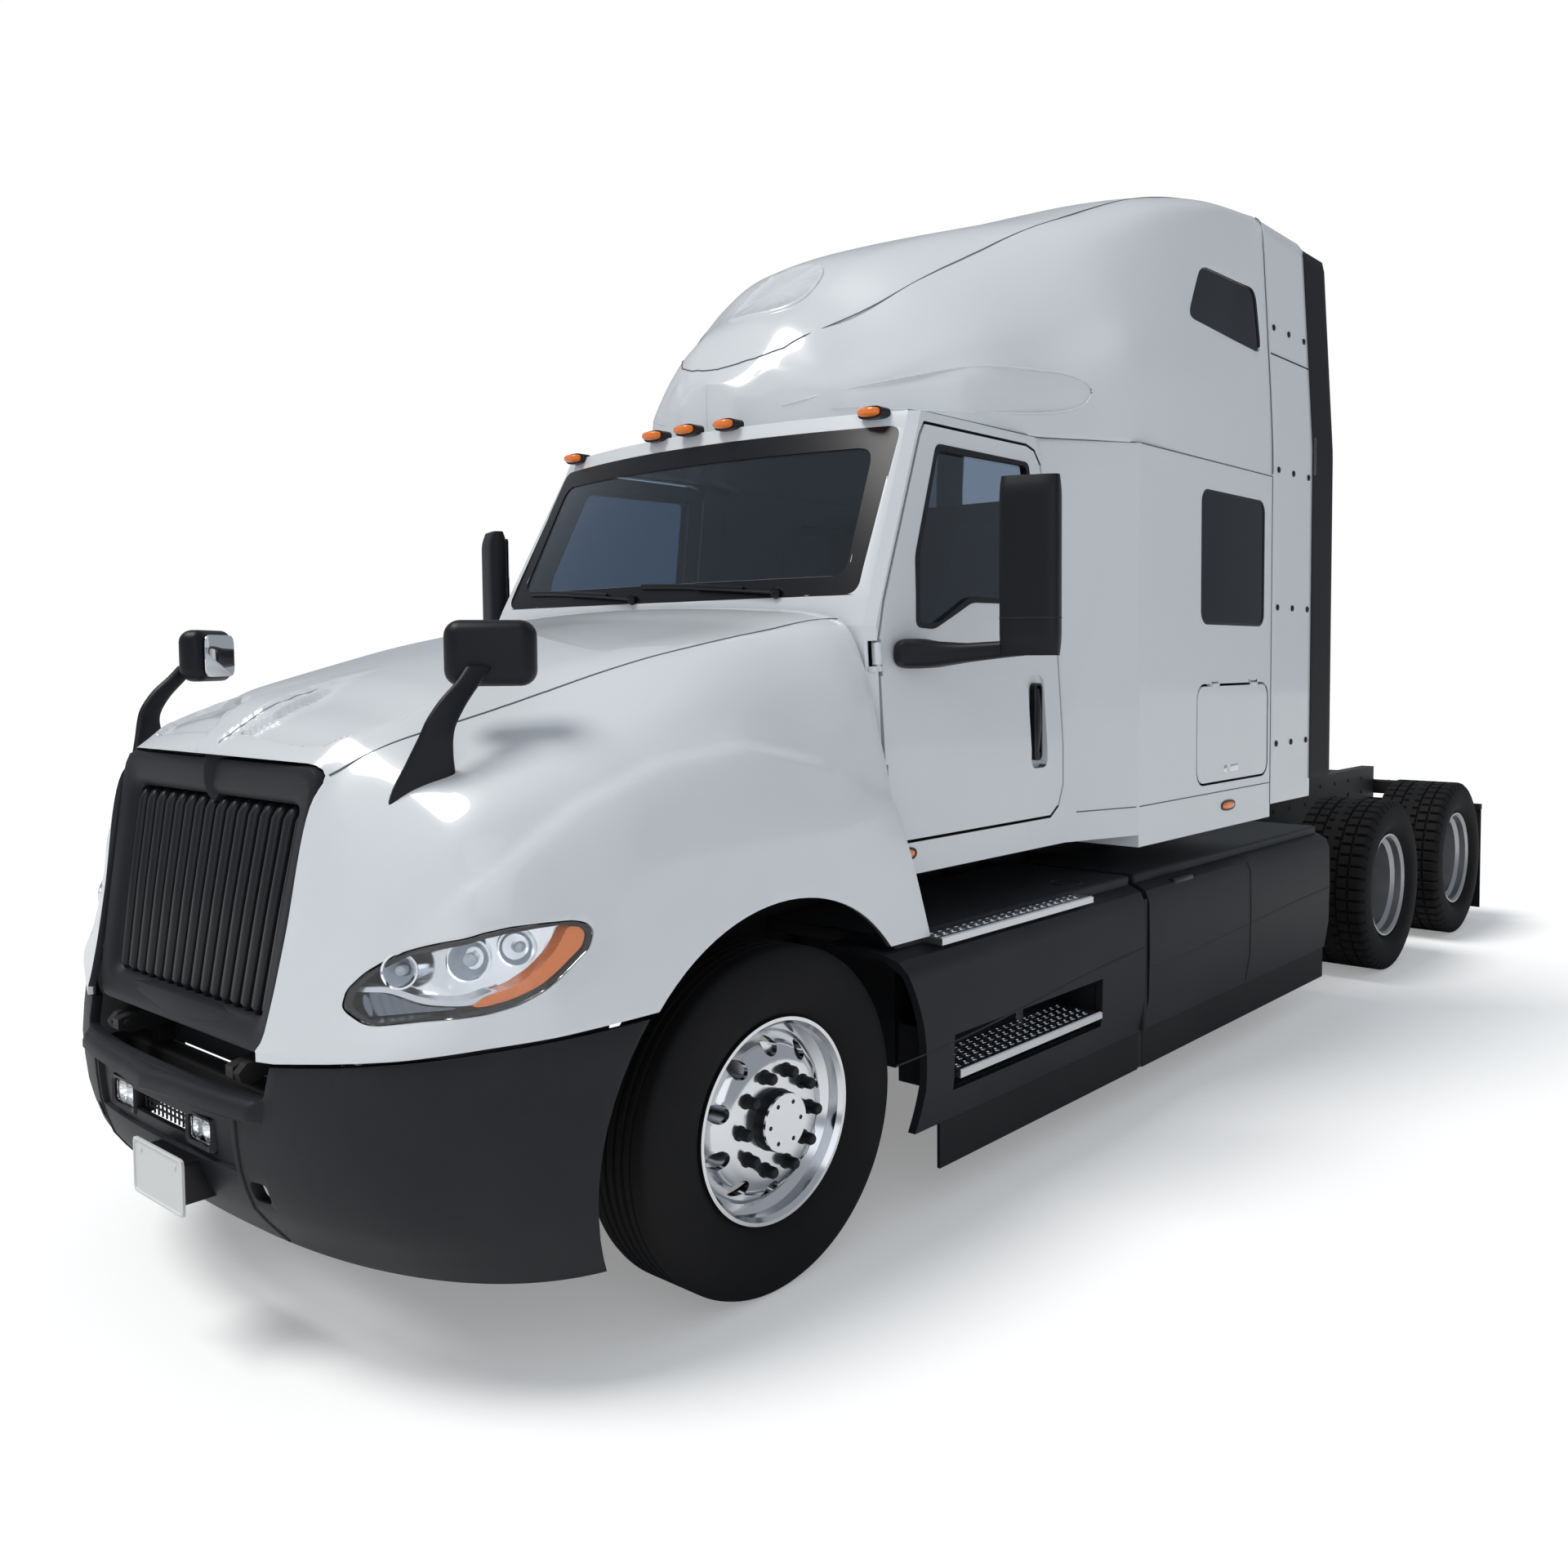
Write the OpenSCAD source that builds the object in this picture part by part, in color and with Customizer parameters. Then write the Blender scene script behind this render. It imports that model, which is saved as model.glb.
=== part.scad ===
// Highway tractor with a tall sleeper, a tilting hood and single wide tyres on two drive axles.
// Millimetres. +X is forwards, +Y is the driver's left and +Z is up. The origin is on the ground
// below the middle of the whole vehicle. Every module is drawn from the front axle's line,
// at_front_axle() then carries it to its place.

/* [Overall] */
// Front axle to the middle between the drive axles
wheelbase = 5742; // [5600:10:6400]
// Front axle to the face of the number plate, the foremost piece
front_overhang = 1270; // [1255:5:1300]
// Middle of the drive axles to the tail
rear_overhang = 1360; // [1340:10:1700]
// Between the two drive axles
axle_spacing = 1320; // [1250:5:1400]
// Ground to the highest point of the roof
overall_h = 3985; // [3880:5:4300]

/* [Wheels] */
// Outside diameter of a steered tyre
front_tyre_d = 1012; // [960:2:1030]
// Width of a steered tyre
front_tyre_w = 285; // [255:5:300]
// Outside diameter of a drive tyre
drive_tyre_d = 1000; // [960:2:1030]
// Width of a drive tyre
drive_tyre_w = 445; // [385:5:455]
// Diameter of the seat that carries the tyre's bead
rim_seat_d = 571.5; // [560:0.5:575]
// Centreline to the middle of a steered tyre
front_half_track = 1045; // [1035:1:1060]
// Centreline to the middle of a drive tyre
drive_half_track = 1015; // [1000:1:1030]
// Centreline to the kingpin
kingpin_half = 880; // [865:1:885]

/* [Chassis frame] */
// Over the outer faces of the two rails
frame_w = 864; // [840:2:880]
// Height of a rail
rail_h = 268; // [240:2:290]
// Width of a rail's flanges
rail_flange = 90; // [70:2:100]
// Thickness of a rail's metal
rail_t = 9; // [7:0.5:12]
// Ground to the top of the rails
frame_top = 1030; // [1015:1:1045]

/* [Cab and sleeper] */
// Half the width of the cab at the foot of its doors
cab_half_low = 1085; // [1070:1:1095]
// Half the width of the cab at the top of its doors
cab_half_high = 972; // [960:1:985]
// Half the width of the sleeper
sleeper_half = 1212; // [1195:1:1220]
// Length of the sleeper's box
sleeper_len = 1300; // [1250:10:1400]
// Thickness of the walls and doors
wall = 42; // [36:1:46]
// Gap round a door that opens
door_gap = 11; // [10:0.5:14]
// How far the side extenders reach behind the sleeper
extender_len = 495; // [400:5:600]
// Width of the rubber edge behind each extender
rubber_len = 290; // [200:5:320]

/* [Hood] */
// Thickness of the hood's panel
hood_wall = 20; // [14:1:26]
// Radius of the wheel arch from the front axle
arch_r = 650; // [640:1:660]

/* [Fairings] */
// Half the width over the side fairings
fairing_half = 1225; // [1215:1:1235]
// Top of the side fairings
fairing_top = 905; // [890:1:915]
// Lower edge of the side fairings' hard panel
fairing_bottom = 300; // [280:5:330]
// Lower edge of the rubber skirts
skirt_bottom = 140; // [125:5:180]

/* [Fifth wheel] */
// Top of the coupling plate
plate_top = 1205; // [1195:1:1230]
// Diameter of the trailer's kingpin in the closed jaws
kingpin_d = 50.8; // [50.8:0.1:51.2]

/* [Hidden] */

$fn = 48;

// Clearances
fit = 0.3;    // pieces that rest against each other on one body
slack = 0.5;  // glass, lamps and trim in their openings

// Fore and aft places, from the front axle
fore_x = -(wheelbase - axle_spacing / 2);
aft_x = -(wheelbase + axle_spacing / 2);
tail_x = -(wheelbase + rear_overhang);
middle_x = (front_overhang + tail_x) / 2;

// Heights and half widths
front_z = front_tyre_d / 2;
drive_z = drive_tyre_d / 2;
frame_half = frame_w / 2;
frame_bottom = frame_top - rail_h;
spring_y = frame_half - rail_flange / 2;

module at_front_axle() { translate([-middle_x, 0, 0]) children(); }

module both_sides() {
    children();
    mirror([0, 1, 0]) children();
}

// side is 1 for the left and -1 for the right
module on_side(side) {
    if (side > 0) children();
    else mirror([0, 1, 0]) children();
}

// A box between two corners
module block(a, b) { translate(a) cube([b[0] - a[0], b[1] - a[1], b[2] - a[2]]); }

// A round bar from p to q
module bar(p, q, r) {
    d = q - p;
    translate(p)
        rotate([0, acos(d[2] / norm(d)), atan2(d[1], d[0])]) cylinder(r = r, h = norm(d));
}

// An outline drawn in X and Z, extruded from y0 to y1
module across(y0, y1) {
    translate([0, y1, 0]) rotate([90, 0, 0]) linear_extrude(y1 - y0) children();
}

// An outline drawn in Y and Z, extruded from x0 to x1
module along(x0, x1) {
    translate([x0, 0, 0]) rotate([90, 0, 90]) linear_extrude(x1 - x0) children();
}

// Both halves of an outline whose points are given for +Y only, from the top to the bottom
function whole(half) =
    concat(half, [for (i = [len(half) - 1:-1:0]) if (half[i][0] > 0) [-half[i][0], half[i][1]]]);

// ---- Frame, axles and drive ----------------------------------------------------------------

crossmember_x = [958, -1950, -3050, -4050, -wheelbase + 960, -wheelbase, -wheelbase - 1000];
crossmember = [110, 90];
rail_front = 960;
rail_rear = tail_x + 50;
hood_pivot = [1160, 790];
hood_pin_r = 12;
hinge_ear_y = 360;

module rail() {
    along(rail_rear, rail_front) {
        difference() {
            translate([frame_half - rail_flange, frame_bottom]) square([rail_flange, rail_h]);
            translate([frame_half - rail_flange - 1, frame_bottom + rail_t])
                square([rail_flange - rail_t + 1, rail_h - 2 * rail_t]);
        }
    }
}

// Bracket from a rail's front end to the hood's pivot, and the rail's horn behind the bumper
module hood_bracket() {
    difference() {
        across(hinge_ear_y - 20, hinge_ear_y + 20)
            polygon([[940, 775], [1150, 760], [1185, 775], [1185, 805], [1150, 815], [1070, 825], [940, 880]]);
        translate([hood_pivot[0], hinge_ear_y - 30, hood_pivot[1]])
            rotate([-90, 0, 0]) cylinder(r = hood_pin_r + fit, h = 60);
    }
    block([rail_front - 10, frame_half - rail_flange, frame_bottom],
          [1010, frame_half, frame_bottom + 60]);
}

cab_floor = 1120;
sleeper_floor = 1070;
mounts = [[-760, cab_floor], [-1900, cab_floor], [-3150, sleeper_floor]];

module frame_rails() {
    color("#26282b") at_front_axle() {
        both_sides() {
            rail();
            hood_bracket();
            // mounts under the cab and the sleeper
            for (m = mounts)
                translate([m[0], spring_y, frame_top - 1]) cylinder(r = 38, h = m[1] - frame_top + 1);
        }
        for (x = crossmember_x)
            block([x - crossmember[0] / 2, -frame_half + rail_t, frame_top - 20 - crossmember[1]],
                  [x + crossmember[0] / 2, frame_half - rail_t, frame_top - 20]);
    }
}

kingpin_r = 22;
spindle_r = 42;
beam_top = front_z - 41;
beam_bottom = front_z - 141;

module front_axle() {
    color("#303235") at_front_axle() {
        difference() {
            union() {
                along(-45, 45)
                    polygon(whole([
                        [0, beam_top], [620, beam_top], [720, front_z + 40], [kingpin_half, front_z + 58],
                        [kingpin_half, front_z - 58], [760, front_z - 72], [640, beam_bottom],
                        [0, beam_bottom]
                    ]));
                both_sides()
                    translate([0, kingpin_half, front_z - 58]) cylinder(r = 45, h = 116);
            }
            both_sides()
                translate([0, kingpin_half, front_z - 70])
                    cylinder(r = kingpin_r + fit, h = 140);
        }
    }
}

leaf_w = 76;
leaf_t = 48;
housing = 100;

// Leaf pack over the front axle with a hanger at each end
module leaf_spring() {
    across(spring_y - leaf_w / 2, spring_y + leaf_w / 2)
        polygon([
            [-660, frame_bottom], [-740, frame_bottom], [-740, 650], [-660, 610],
            [-330, beam_top + 60], [-60, beam_top], [60, beam_top],
            [330, beam_top + 60], [660, 610], [740, 650], [740, frame_bottom], [660, frame_bottom],
            [640, 680], [330, beam_top + 60 + leaf_t], [0, beam_top + 6 + leaf_t],
            [-330, beam_top + 60 + leaf_t], [-640, 680]
        ]);
}

// Trailing arm over a drive axle, with its air spring against the rail
module trailing_arm(axle_x) {
    top = drive_z + housing / 2;
    translate([axle_x, 0, 0]) {
        across(spring_y - leaf_w / 2, spring_y + leaf_w / 2)
            polygon([
                [440, frame_bottom], [330, frame_bottom], [330, top + 90], [200, top + 48],
                [-430, top + 48], [-430, top], [60, top], [360, top + 40], [440, top + 110]
            ]);
        translate([-320, spring_y, top + 40])
            cylinder(r = 110, h = frame_bottom - top - 40);
    }
}

module suspension() {
    color("#2a2b2d") at_front_axle()
        both_sides() {
            leaf_spring();
            trailing_arm(fore_x);
            trailing_arm(aft_x);
        }
}

axle_tube_r = 50;
diff_r = 205;
diff_y = 60;
drive_brake_y = drive_half_track - 200;

module drive_axle(x) {
    translate([x, 0, 0]) {
        block([-housing / 2, -drive_brake_y + 6, drive_z - housing / 2],
              [housing / 2, drive_brake_y - 6, drive_z + housing / 2]);
        rotate([90, 0, 0])
            translate([0, drive_z, -drive_half_track])
                cylinder(r = axle_tube_r, h = 2 * drive_half_track);
        translate([0, diff_y, drive_z]) sphere(r = diff_r);
    }
}

module drive_axles() {
    color("#2b2d30") at_front_axle() {
        drive_axle(fore_x);
        drive_axle(aft_x);
    }
}

engine_rear = -530;
shaft_bearing = [-3100, 0, 720];

// The point on the way from c to p that lies just outside an axle's round housing about c
function outside(c, p) = c + (p - c) / norm(p - c) * (diff_r + fit);

module driveline() {
    fore = [fore_x, diff_y, drive_z];
    aft = [aft_x, diff_y, drive_z];
    color("#5b5e62") at_front_axle() {
        block([-1280, -200, 640], [engine_rear, 200, 990]);
        bar([-1270, 0, 820], shaft_bearing, 55);
        bar(shaft_bearing, outside(fore, shaft_bearing), 55);
        bar(outside(fore, aft), outside(aft, fore), 50);
        translate(shaft_bearing) sphere(r = 75);
    }
}

module engine() {
    color("#6d7073") at_front_axle() {
        block([engine_rear, -335, 700], [690, 335, 1600]);
        both_sides() block([-60, 320, frame_top], [80, frame_half - 20, frame_top + 35]);
    }
}

module radiator() {
    color("#1d1f21") at_front_axle() {
        block([790, -330, 800], [895, 330, frame_top + 5]);
        block([790, -480, frame_top], [895, 480, 1530]);
    }
}

tank_r = 295;
tank_y = frame_half + 60 + tank_r;
tank_x = [-2230, -3900];

module fuel_tank() {
    translate([tank_x[1], tank_y, 585])
        rotate([0, 90, 0]) cylinder(r = tank_r, h = tank_x[0] - tank_x[1]);
    for (x = [tank_x[0] - 250, (tank_x[0] + tank_x[1]) / 2, tank_x[1] + 190])
        block([x, frame_half, 775], [x + 60, tank_y - 150, 850]);
}

// Brake air reservoir inside each rail
module air_tank() {
    translate([-3200, 240, frame_bottom - 102])
        rotate([0, 90, 0]) cylinder(r = 100, h = 800);
    for (x = [-3050, -2600])
        block([x, 290, frame_bottom - 40], [x + 40, frame_half - 10, frame_bottom]);
}

module tanks() {
    color("#b9bcbf") at_front_axle() both_sides() {
        fuel_tank();
        air_tank();
    }
}

module side_boxes() {
    color("#3a3c3f") at_front_axle() {
        block([-1560, 500, 420], [-800, 950, 850]);
        block([-1500, frame_half, 780], [-860, 505, 840]);
        mirror([0, 1, 0]) {
            block([-1950, 500, 360], [-780, 950, 860]);
            block([-1850, frame_half, 780], [-860, 505, 840]);
        }
    }
}

// ---- Wheels and steering -------------------------------------------------------------------

rim_seat_r = rim_seat_d / 2;
flange_r = rim_seat_r + 12.75;
bead_w = 27;
tread_t = 24;

// Tyre section in radius and width: two beads, two sidewalls and the tread
module tyre_section(r, w, flange_z) {
    seat = rim_seat_r + fit;
    half = [
        [seat, flange_z - 15 - bead_w], [seat, flange_z - 15], [flange_r + 5, flange_z - 15],
        [seat + 0.25 * (r - seat), w / 2 - 12], [seat + 0.5 * (r - seat), w / 2],
        [seat + 0.8 * (r - seat), w / 2 - 5], [r - 14, w / 2 - 18], [r, w / 2 - 34]
    ];
    inner = [
        [r - tread_t, w / 2 - 50], [seat + 0.68 * (r - seat), w / 2 - 25],
        [seat + 0.5 * (r - seat), w / 2 - 20], [seat + 0.3 * (r - seat), w / 2 - 28],
        [seat + 0.1 * (r - seat), flange_z - 15 - bead_w + 4]
    ];
    n = len(half);
    m = len(inner);
    polygon(concat(
        half,
        [for (i = [n - 1:-1:0]) [half[i][0], -half[i][1]]],
        [for (i = [m - 1:-1:0]) [inner[i][0], -inner[i][1]]],
        inner
    ));
}

module tyre(r, w, flange_z) {
    rotate([-90, 0, 0]) rotate_extrude($fn = 96) tyre_section(r, w, flange_z);
}

// Rim barrel with its two flanges and a drop centre
module barrel_section(flange_z) {
    s = rim_seat_r;
    half = [
        [s - 23.75, flange_z - 68], [s, flange_z - 48], [s, flange_z - 14], [flange_r, flange_z - 8],
        [flange_r, flange_z]
    ];
    inner = [
        [flange_r - 10.5, flange_z], [s - 8.75, flange_z - 14], [s - 8.75, flange_z - 52],
        [s - 32.75, flange_z - 72]
    ];
    polygon(concat(
        half,
        inner,
        [for (i = [len(inner) - 1:-1:0]) [inner[i][0], -inner[i][1]]],
        [for (i = [len(half) - 1:-1:0]) [half[i][0], -half[i][1]]]
    ));
}

hub_r = 108;
stud_circle_r = 142.875;
nut_r = 17;
hand_hole_r = 27;
hand_hole_circle_r = 212;

// Ring of ten studs' nuts on a disc face at height z
module nuts(z, h) {
    for (i = [0:9])
        rotate(i * 36) translate([stud_circle_r, 0, z]) cylinder(r = nut_r, h = h, $fn = 6);
}

module hand_holes(z0, z1) {
    for (i = [0:9])
        rotate(i * 36 + 18) translate([hand_hole_circle_r, 0, z0])
            cylinder(r = hand_hole_r, h = z1 - z0);
}

front_flange_z = 118;
drive_flange_z = 190;

// Steered wheel: the disc bulges outwards almost to the outer flange
module front_rim() {
    rotate([-90, 0, 0]) difference() {
        union() {
            rotate_extrude($fn = 96) {
                barrel_section(front_flange_z);
                polygon([
                    [255, 18], [255, 34], [215, 86], [172, 106], [0, 106], [0, 92], [168, 92],
                    [206, 74], [245, 18]
                ]);
                // hub and brake drum
                polygon([
                    [0, -55], [hub_r - 14, -55], [hub_r, -20], [192, -14], [192, -92], [206, -92],
                    [206, 2], [hub_r, 10], [hub_r, 92], [84, 100], [84, 150], [0, 150]
                ]);
            }
            nuts(104, 26);
        }
        hand_holes(12, 120);
        translate([0, 0, -60]) cylinder(r = spindle_r + fit, h = 160);
    }
}

// Drive wheel: a deep dish with the axle's flange in its middle
module drive_rim() {
    rotate([-90, 0, 0]) difference() {
        union() {
            rotate_extrude($fn = 96) {
                barrel_section(drive_flange_z);
                polygon([
                    [255, -8], [255, -26], [222, -58], [176, -66], [0, -66], [0, -52], [170, -52],
                    [212, -42], [243, -8]
                ]);
                polygon([
                    [0, -190], [hub_r - 10, -190], [hub_r, -110], [200, -104], [200, -186], [214, -186],
                    [214, -84], [hub_r, -74], [hub_r, -20], [90, -6], [90, 30], [0, 30]
                ]);
            }
            nuts(-54, 26);
        }
        hand_holes(-75, 0);
        translate([0, 0, -200]) cylinder(r = axle_tube_r + fit, h = 202);
    }
}

module wheel_at(x, y, z) {
    at_front_axle() translate([x, y, z]) children();
}

arm_len = 200;
arm_z = front_z - 118;
rod_z = arm_z - 36;
stud_r = 10;

// Knuckle: a fork round the axle's end, the kingpin, the spindle and the steering arm
module knuckle() {
    ear_gap = 64;
    ear_t = 45;
    translate([0, kingpin_half, 0]) {
        translate([0, 0, front_z - ear_gap - ear_t])
            cylinder(r = kingpin_r, h = 2 * (ear_gap + ear_t));
        for (z = [front_z - ear_gap - ear_t, front_z + ear_gap]) {
            translate([0, 0, z]) cylinder(r = 44, h = ear_t);
            block([-44, 0, z], [44, 66, z + ear_t]);
        }
        block([-60, 52, front_z - ear_gap - ear_t], [60, 68, front_z + ear_gap + ear_t]);
        translate([0, 60, front_z])
            rotate([-90, 0, 0]) cylinder(r = spindle_r, h = front_half_track + 85 - kingpin_half - 60);
        block([-arm_len - 28, -22, arm_z - 16], [0, 22, arm_z + 14]);
        translate([-arm_len, 0, rod_z - 22]) cylinder(r = stud_r, h = arm_z - rod_z + 20);
    }
}

module tie_rod() {
    color("#3a3b3d") at_front_axle()
        difference() {
            union() {
                translate([-arm_len, -kingpin_half, rod_z])
                    rotate([-90, 0, 0]) cylinder(r = 15, h = 2 * kingpin_half);
                both_sides()
                    translate([-arm_len, kingpin_half, rod_z - 16]) cylinder(r = 24, h = 32);
            }
            both_sides()
                translate([-arm_len, kingpin_half, rod_z - 30]) cylinder(r = stud_r + fit, h = 60);
        }
}

// ---- Bumper --------------------------------------------------------------------------------

bumper_wall = 28;
bumper_gap = 12;
bumper_nose = front_overhang - 35;
// Height, how far forward the middle is, half the width and the plan's roundness, from the bottom up
bumper_rows = [
    [300, bumper_nose - 170, 1205, 0.8], [360, bumper_nose - 110, 1208, 0.8],
    [450, bumper_nose - 45, 1212, 0.78], [560, bumper_nose - 12, 1216, 0.78],
    [700, bumper_nose, 1220, 0.78], [945, bumper_nose - 50, 1222, 0.73]
];

// Plan of the bumper: a rounded front that sweeps back to its two ends
function bumper_plan(row, inset) =
    let (
        back = 440, a = row[1] - inset - back, b = row[2] - inset,
        half = [for (t = [90:-7.5:0]) [back + a * pow(sin(t), row[3]), b * pow(cos(t), row[3])]]
    )
    concat(half, [for (i = [len(half) - 1:-1:0]) [half[i][0], -half[i][1]]]);

module slab(points, z) { translate([0, 0, z]) linear_extrude(1) polygon(points); }

module bumper_form(inset, drop) {
    for (i = [0:len(bumper_rows) - 2])
        hull() {
            slab(bumper_plan(bumper_rows[i], inset), bumper_rows[i][0] - (i == 0 ? drop : 0));
            slab(bumper_plan(bumper_rows[i + 1], inset),
                 bumper_rows[i + 1][0] + (i == len(bumper_rows) - 2 ? drop : 0));
        }
}

// The line where the hood ends, in Y and Z
hood_hem = [[0, 845], [540, 845], [750, 868], [967, 898], [1092, 918], [1250, 942]];
fog_y = 240;
fog_z = 615;
fog_size = [150, 78];
slot_top = 745;
plate_y = [-40, 265];
plate_z = [405, 557];

module bumper() {
    color("#26282d") at_front_axle() {
        difference() {
            bumper_form(0, 0);
            bumper_form(bumper_wall, 20);
            block([-200, -1300, 200], [440, 1300, 1100]);
            along(300, 1400)
                polygon(concat(
                    [[-1300, 1100], [-1300, 930]],
                    [for (i = [5:-1:2]) [-hood_hem[i][0], hood_hem[i][1] - bumper_gap]],
                    [[-560, 845 - bumper_gap], [-560, slot_top], [560, slot_top], [560, 845 - bumper_gap]],
                    [for (i = [2:5]) [hood_hem[i][0], hood_hem[i][1] - bumper_gap]],
                    [[1300, 930], [1300, 1100]]
                ));
            translate([0, 1300, front_z]) rotate([90, 0, 0]) cylinder(r = arch_r + 18, h = 2600, $fn = 72);
            // lower intake and the two lamp pockets
            block([1000, -130, 590], [1400, 130, 660]);
            both_sides()
                block([1000, fog_y - fog_size[0] / 2, fog_z - fog_size[1] / 2],
                      [1400, fog_y + fog_size[0] / 2, fog_z + fog_size[1] / 2]);
        }
        // beam behind the skin, bolted to the rails' horns
        block([1010, -620, frame_bottom - 120], [1085, 620, frame_bottom - 60]);
        both_sides() {
            block([1010, hinge_ear_y + 26, frame_bottom - 70], [1060, frame_half, frame_bottom + 38]);
            block([1040, 560, frame_bottom - 120], [1172, 620, frame_bottom - 60]);
        }
        // plinth of the number plate
        block([bumper_nose - 75, plate_y[0] + 30, plate_z[0] + 20],
              [front_overhang - 8 - fit, plate_y[1] - 30, plate_z[1] - 20]);
    }
}

module number_plate() {
    color("#dfe1e0") at_front_axle()
        block([front_overhang - 8, plate_y[0], plate_z[0]], [front_overhang, plate_y[1], plate_z[1]]);
}

module fog_lamps() {
    color("#d9dde0") at_front_axle() both_sides()
        block([bumper_nose - 90, fog_y - fog_size[0] / 2 + slack, fog_z - fog_size[1] / 2 + slack],
              [bumper_nose - 35, fog_y + fog_size[0] / 2 - slack, fog_z + fog_size[1] / 2 - slack]);
}

// ---- Side fairings -------------------------------------------------------------------------

fairing_t = 30;
step_x = [-430, -2090];
rear_x = [-2130, -4110];
skirt_t = 12;
tread_z = [440, fairing_top];
tread_x = [[-800, -1730], [-700, -1660]];
recess_h = 150;

// Section of a side fairing: a rolled shoulder, a slightly bulged side and an inner ledge
module fairing_section() {
    h = fairing_half;
    polygon([
        [h - 320, fairing_top], [h - 75, fairing_top], [h - 22, fairing_top - 25],
        [h - 4, fairing_top - 70], [h, 640], [h - 4, 440], [h - 26, fairing_bottom],
        [h - 26 - fairing_t, fairing_bottom], [h - 4 - fairing_t, 450], [h - fairing_t, 640],
        [h - 4 - fairing_t, fairing_top - 80], [h - 88, fairing_top - fairing_t],
        [h - 320, fairing_top - fairing_t]
    ]);
}

// Arms that carry a fairing from the rail
module fairing_arms(xs) {
    for (x = xs)
        block([x - 25, frame_half, fairing_top], [x + 25, fairing_half - 90, fairing_top + 35]);
}

module side_fairings() {
    color("#25272c") at_front_axle() both_sides() {
        difference() {
            along(step_x[1], step_x[0]) fairing_section();
            translate([0, 1300, front_z])
                rotate([90, 0, 0]) cylinder(r = arch_r - 20, h = 700, $fn = 72);
            block([tread_x[0][1] - 20, 1000, tread_z[0] - 40],
                  [tread_x[0][0] + 20, 1300, tread_z[0] + recess_h]);
        }
        along(rear_x[1], rear_x[0]) fairing_section();
        fairing_arms([-1780, step_x[1] + 40, rear_x[0] - 300, rear_x[1] + 200]);
    }
}

module skirts() {
    color("#17181a") at_front_axle() both_sides() {
        y = fairing_half - 26 - fairing_t / 2;
        for (r = [[step_x[1], -740], [rear_x[1], rear_x[0]]])
            block([r[0], y - skirt_t / 2, skirt_bottom], [r[1], y + skirt_t / 2, fairing_bottom]);
    }
}

module step_treads() {
    color("#c9ccd0") at_front_axle() both_sides() {
        block([tread_x[1][1], fairing_half - 200, fairing_top],
              [tread_x[1][0], fairing_half + 8, fairing_top + 22]);
        block([tread_x[0][1], 1000, tread_z[0]], [tread_x[0][0], fairing_half + 8, tread_z[0] + 24]);
        for (x = [-900, -1500])
            block([x - 25, 950, tread_z[0]], [x + 25, 1001, tread_z[0] + 60]);
    }
}

module deck_plate() {
    color("#8f9396") at_front_axle()
        block([-4450, -600, frame_top], [-3480, 600, frame_top + 10]);
}

// ---- Fifth wheel ---------------------------------------------------------------------------

coupler_x = -(wheelbase - 40);
plate_t = 25;
pivot_z = plate_top - 95;
pivot_r = 22;
ear_y = 340;
ear_w = 40;
jaw_r = 62;
jaw_h = 48;

module fifth_wheel_base() {
    color("#2c2d2f") at_front_axle() translate([coupler_x, 0, 0]) {
        block([-420, -frame_half, frame_top], [420, frame_half, frame_top + 14]);
        both_sides() {
            across(ear_y + ear_w + 8, frame_half - 4)
                polygon([
                    [-150, frame_top + 14], [150, frame_top + 14], [60, pivot_z + 30],
                    [-60, pivot_z + 30]
                ]);
            translate([0, ear_y - 15, pivot_z])
                rotate([-90, 0, 0]) cylinder(r = pivot_r, h = frame_half - 20 - ear_y);
        }
    }
}

module fifth_wheel_plate() {
    color("#3b3d3f") at_front_axle() translate([coupler_x, 0, 0])
        difference() {
            union() {
                translate([0, 0, plate_top - plate_t])
                    linear_extrude(plate_t)
                        polygon(whole_x([
                            [420, 180], [330, 360], [150, 458], [-250, 458], [-330, 400],
                            [-430, 330], [-430, 90], [-60, 40]
                        ]));
                // ramps for the trailer's plate
                both_sides()
                    across(90, 330)
                        polygon([
                            [-429, plate_top], [-560, plate_top - 45], [-560, plate_top - 60],
                            [-429, plate_top - plate_t]
                        ]);
                translate([0, 0, plate_top - plate_t - jaw_h]) cylinder(r = jaw_r, h = jaw_h);
                both_sides()
                    across(ear_y, ear_y + ear_w)
                        polygon([
                            [-170, plate_top - plate_t], [170, plate_top - plate_t],
                            [45, pivot_z - 36], [-45, pivot_z - 36]
                        ]);
            }
            translate([0, 0, plate_top - plate_t - jaw_h - 10])
                cylinder(r = kingpin_d / 2 + fit, h = jaw_h + 10);
            translate([0, 0, plate_top - plate_t - 0.01]) cylinder(r = jaw_r, h = plate_t + 10);
            translate([0, -frame_half, pivot_z])
                rotate([-90, 0, 0]) cylinder(r = pivot_r + fit, h = frame_w);
        }
}

// As whole(), for points that run along X with the half width second
function whole_x(half) =
    concat(half, [for (i = [len(half) - 1:-1:0]) [half[i][0], -half[i][1]]]);

flap_x = aft_x - drive_tyre_d / 2 - 75;

module mudflaps() {
    color("#141516") at_front_axle() both_sides() {
        block([flap_x - 6, drive_half_track - 220, 80], [flap_x + 6, drive_half_track + 195, 770]);
        block([flap_x - 20, frame_half, 770], [flap_x + 20, drive_half_track + 195, 806]);
    }
}

module tail_lamps() {
    color("#8c1b16") at_front_axle() {
        block([tail_x, -600, 830], [rail_rear, 600, 930]);
    }
}

// ---- Cab -----------------------------------------------------------------------------------

cab_front = -555;
cab_rear = -1690;
flare_x = -2050;
seam_z = 2700;
scuttle_z = 2045;
header_z = 2640;
glass_t = 9;

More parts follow.
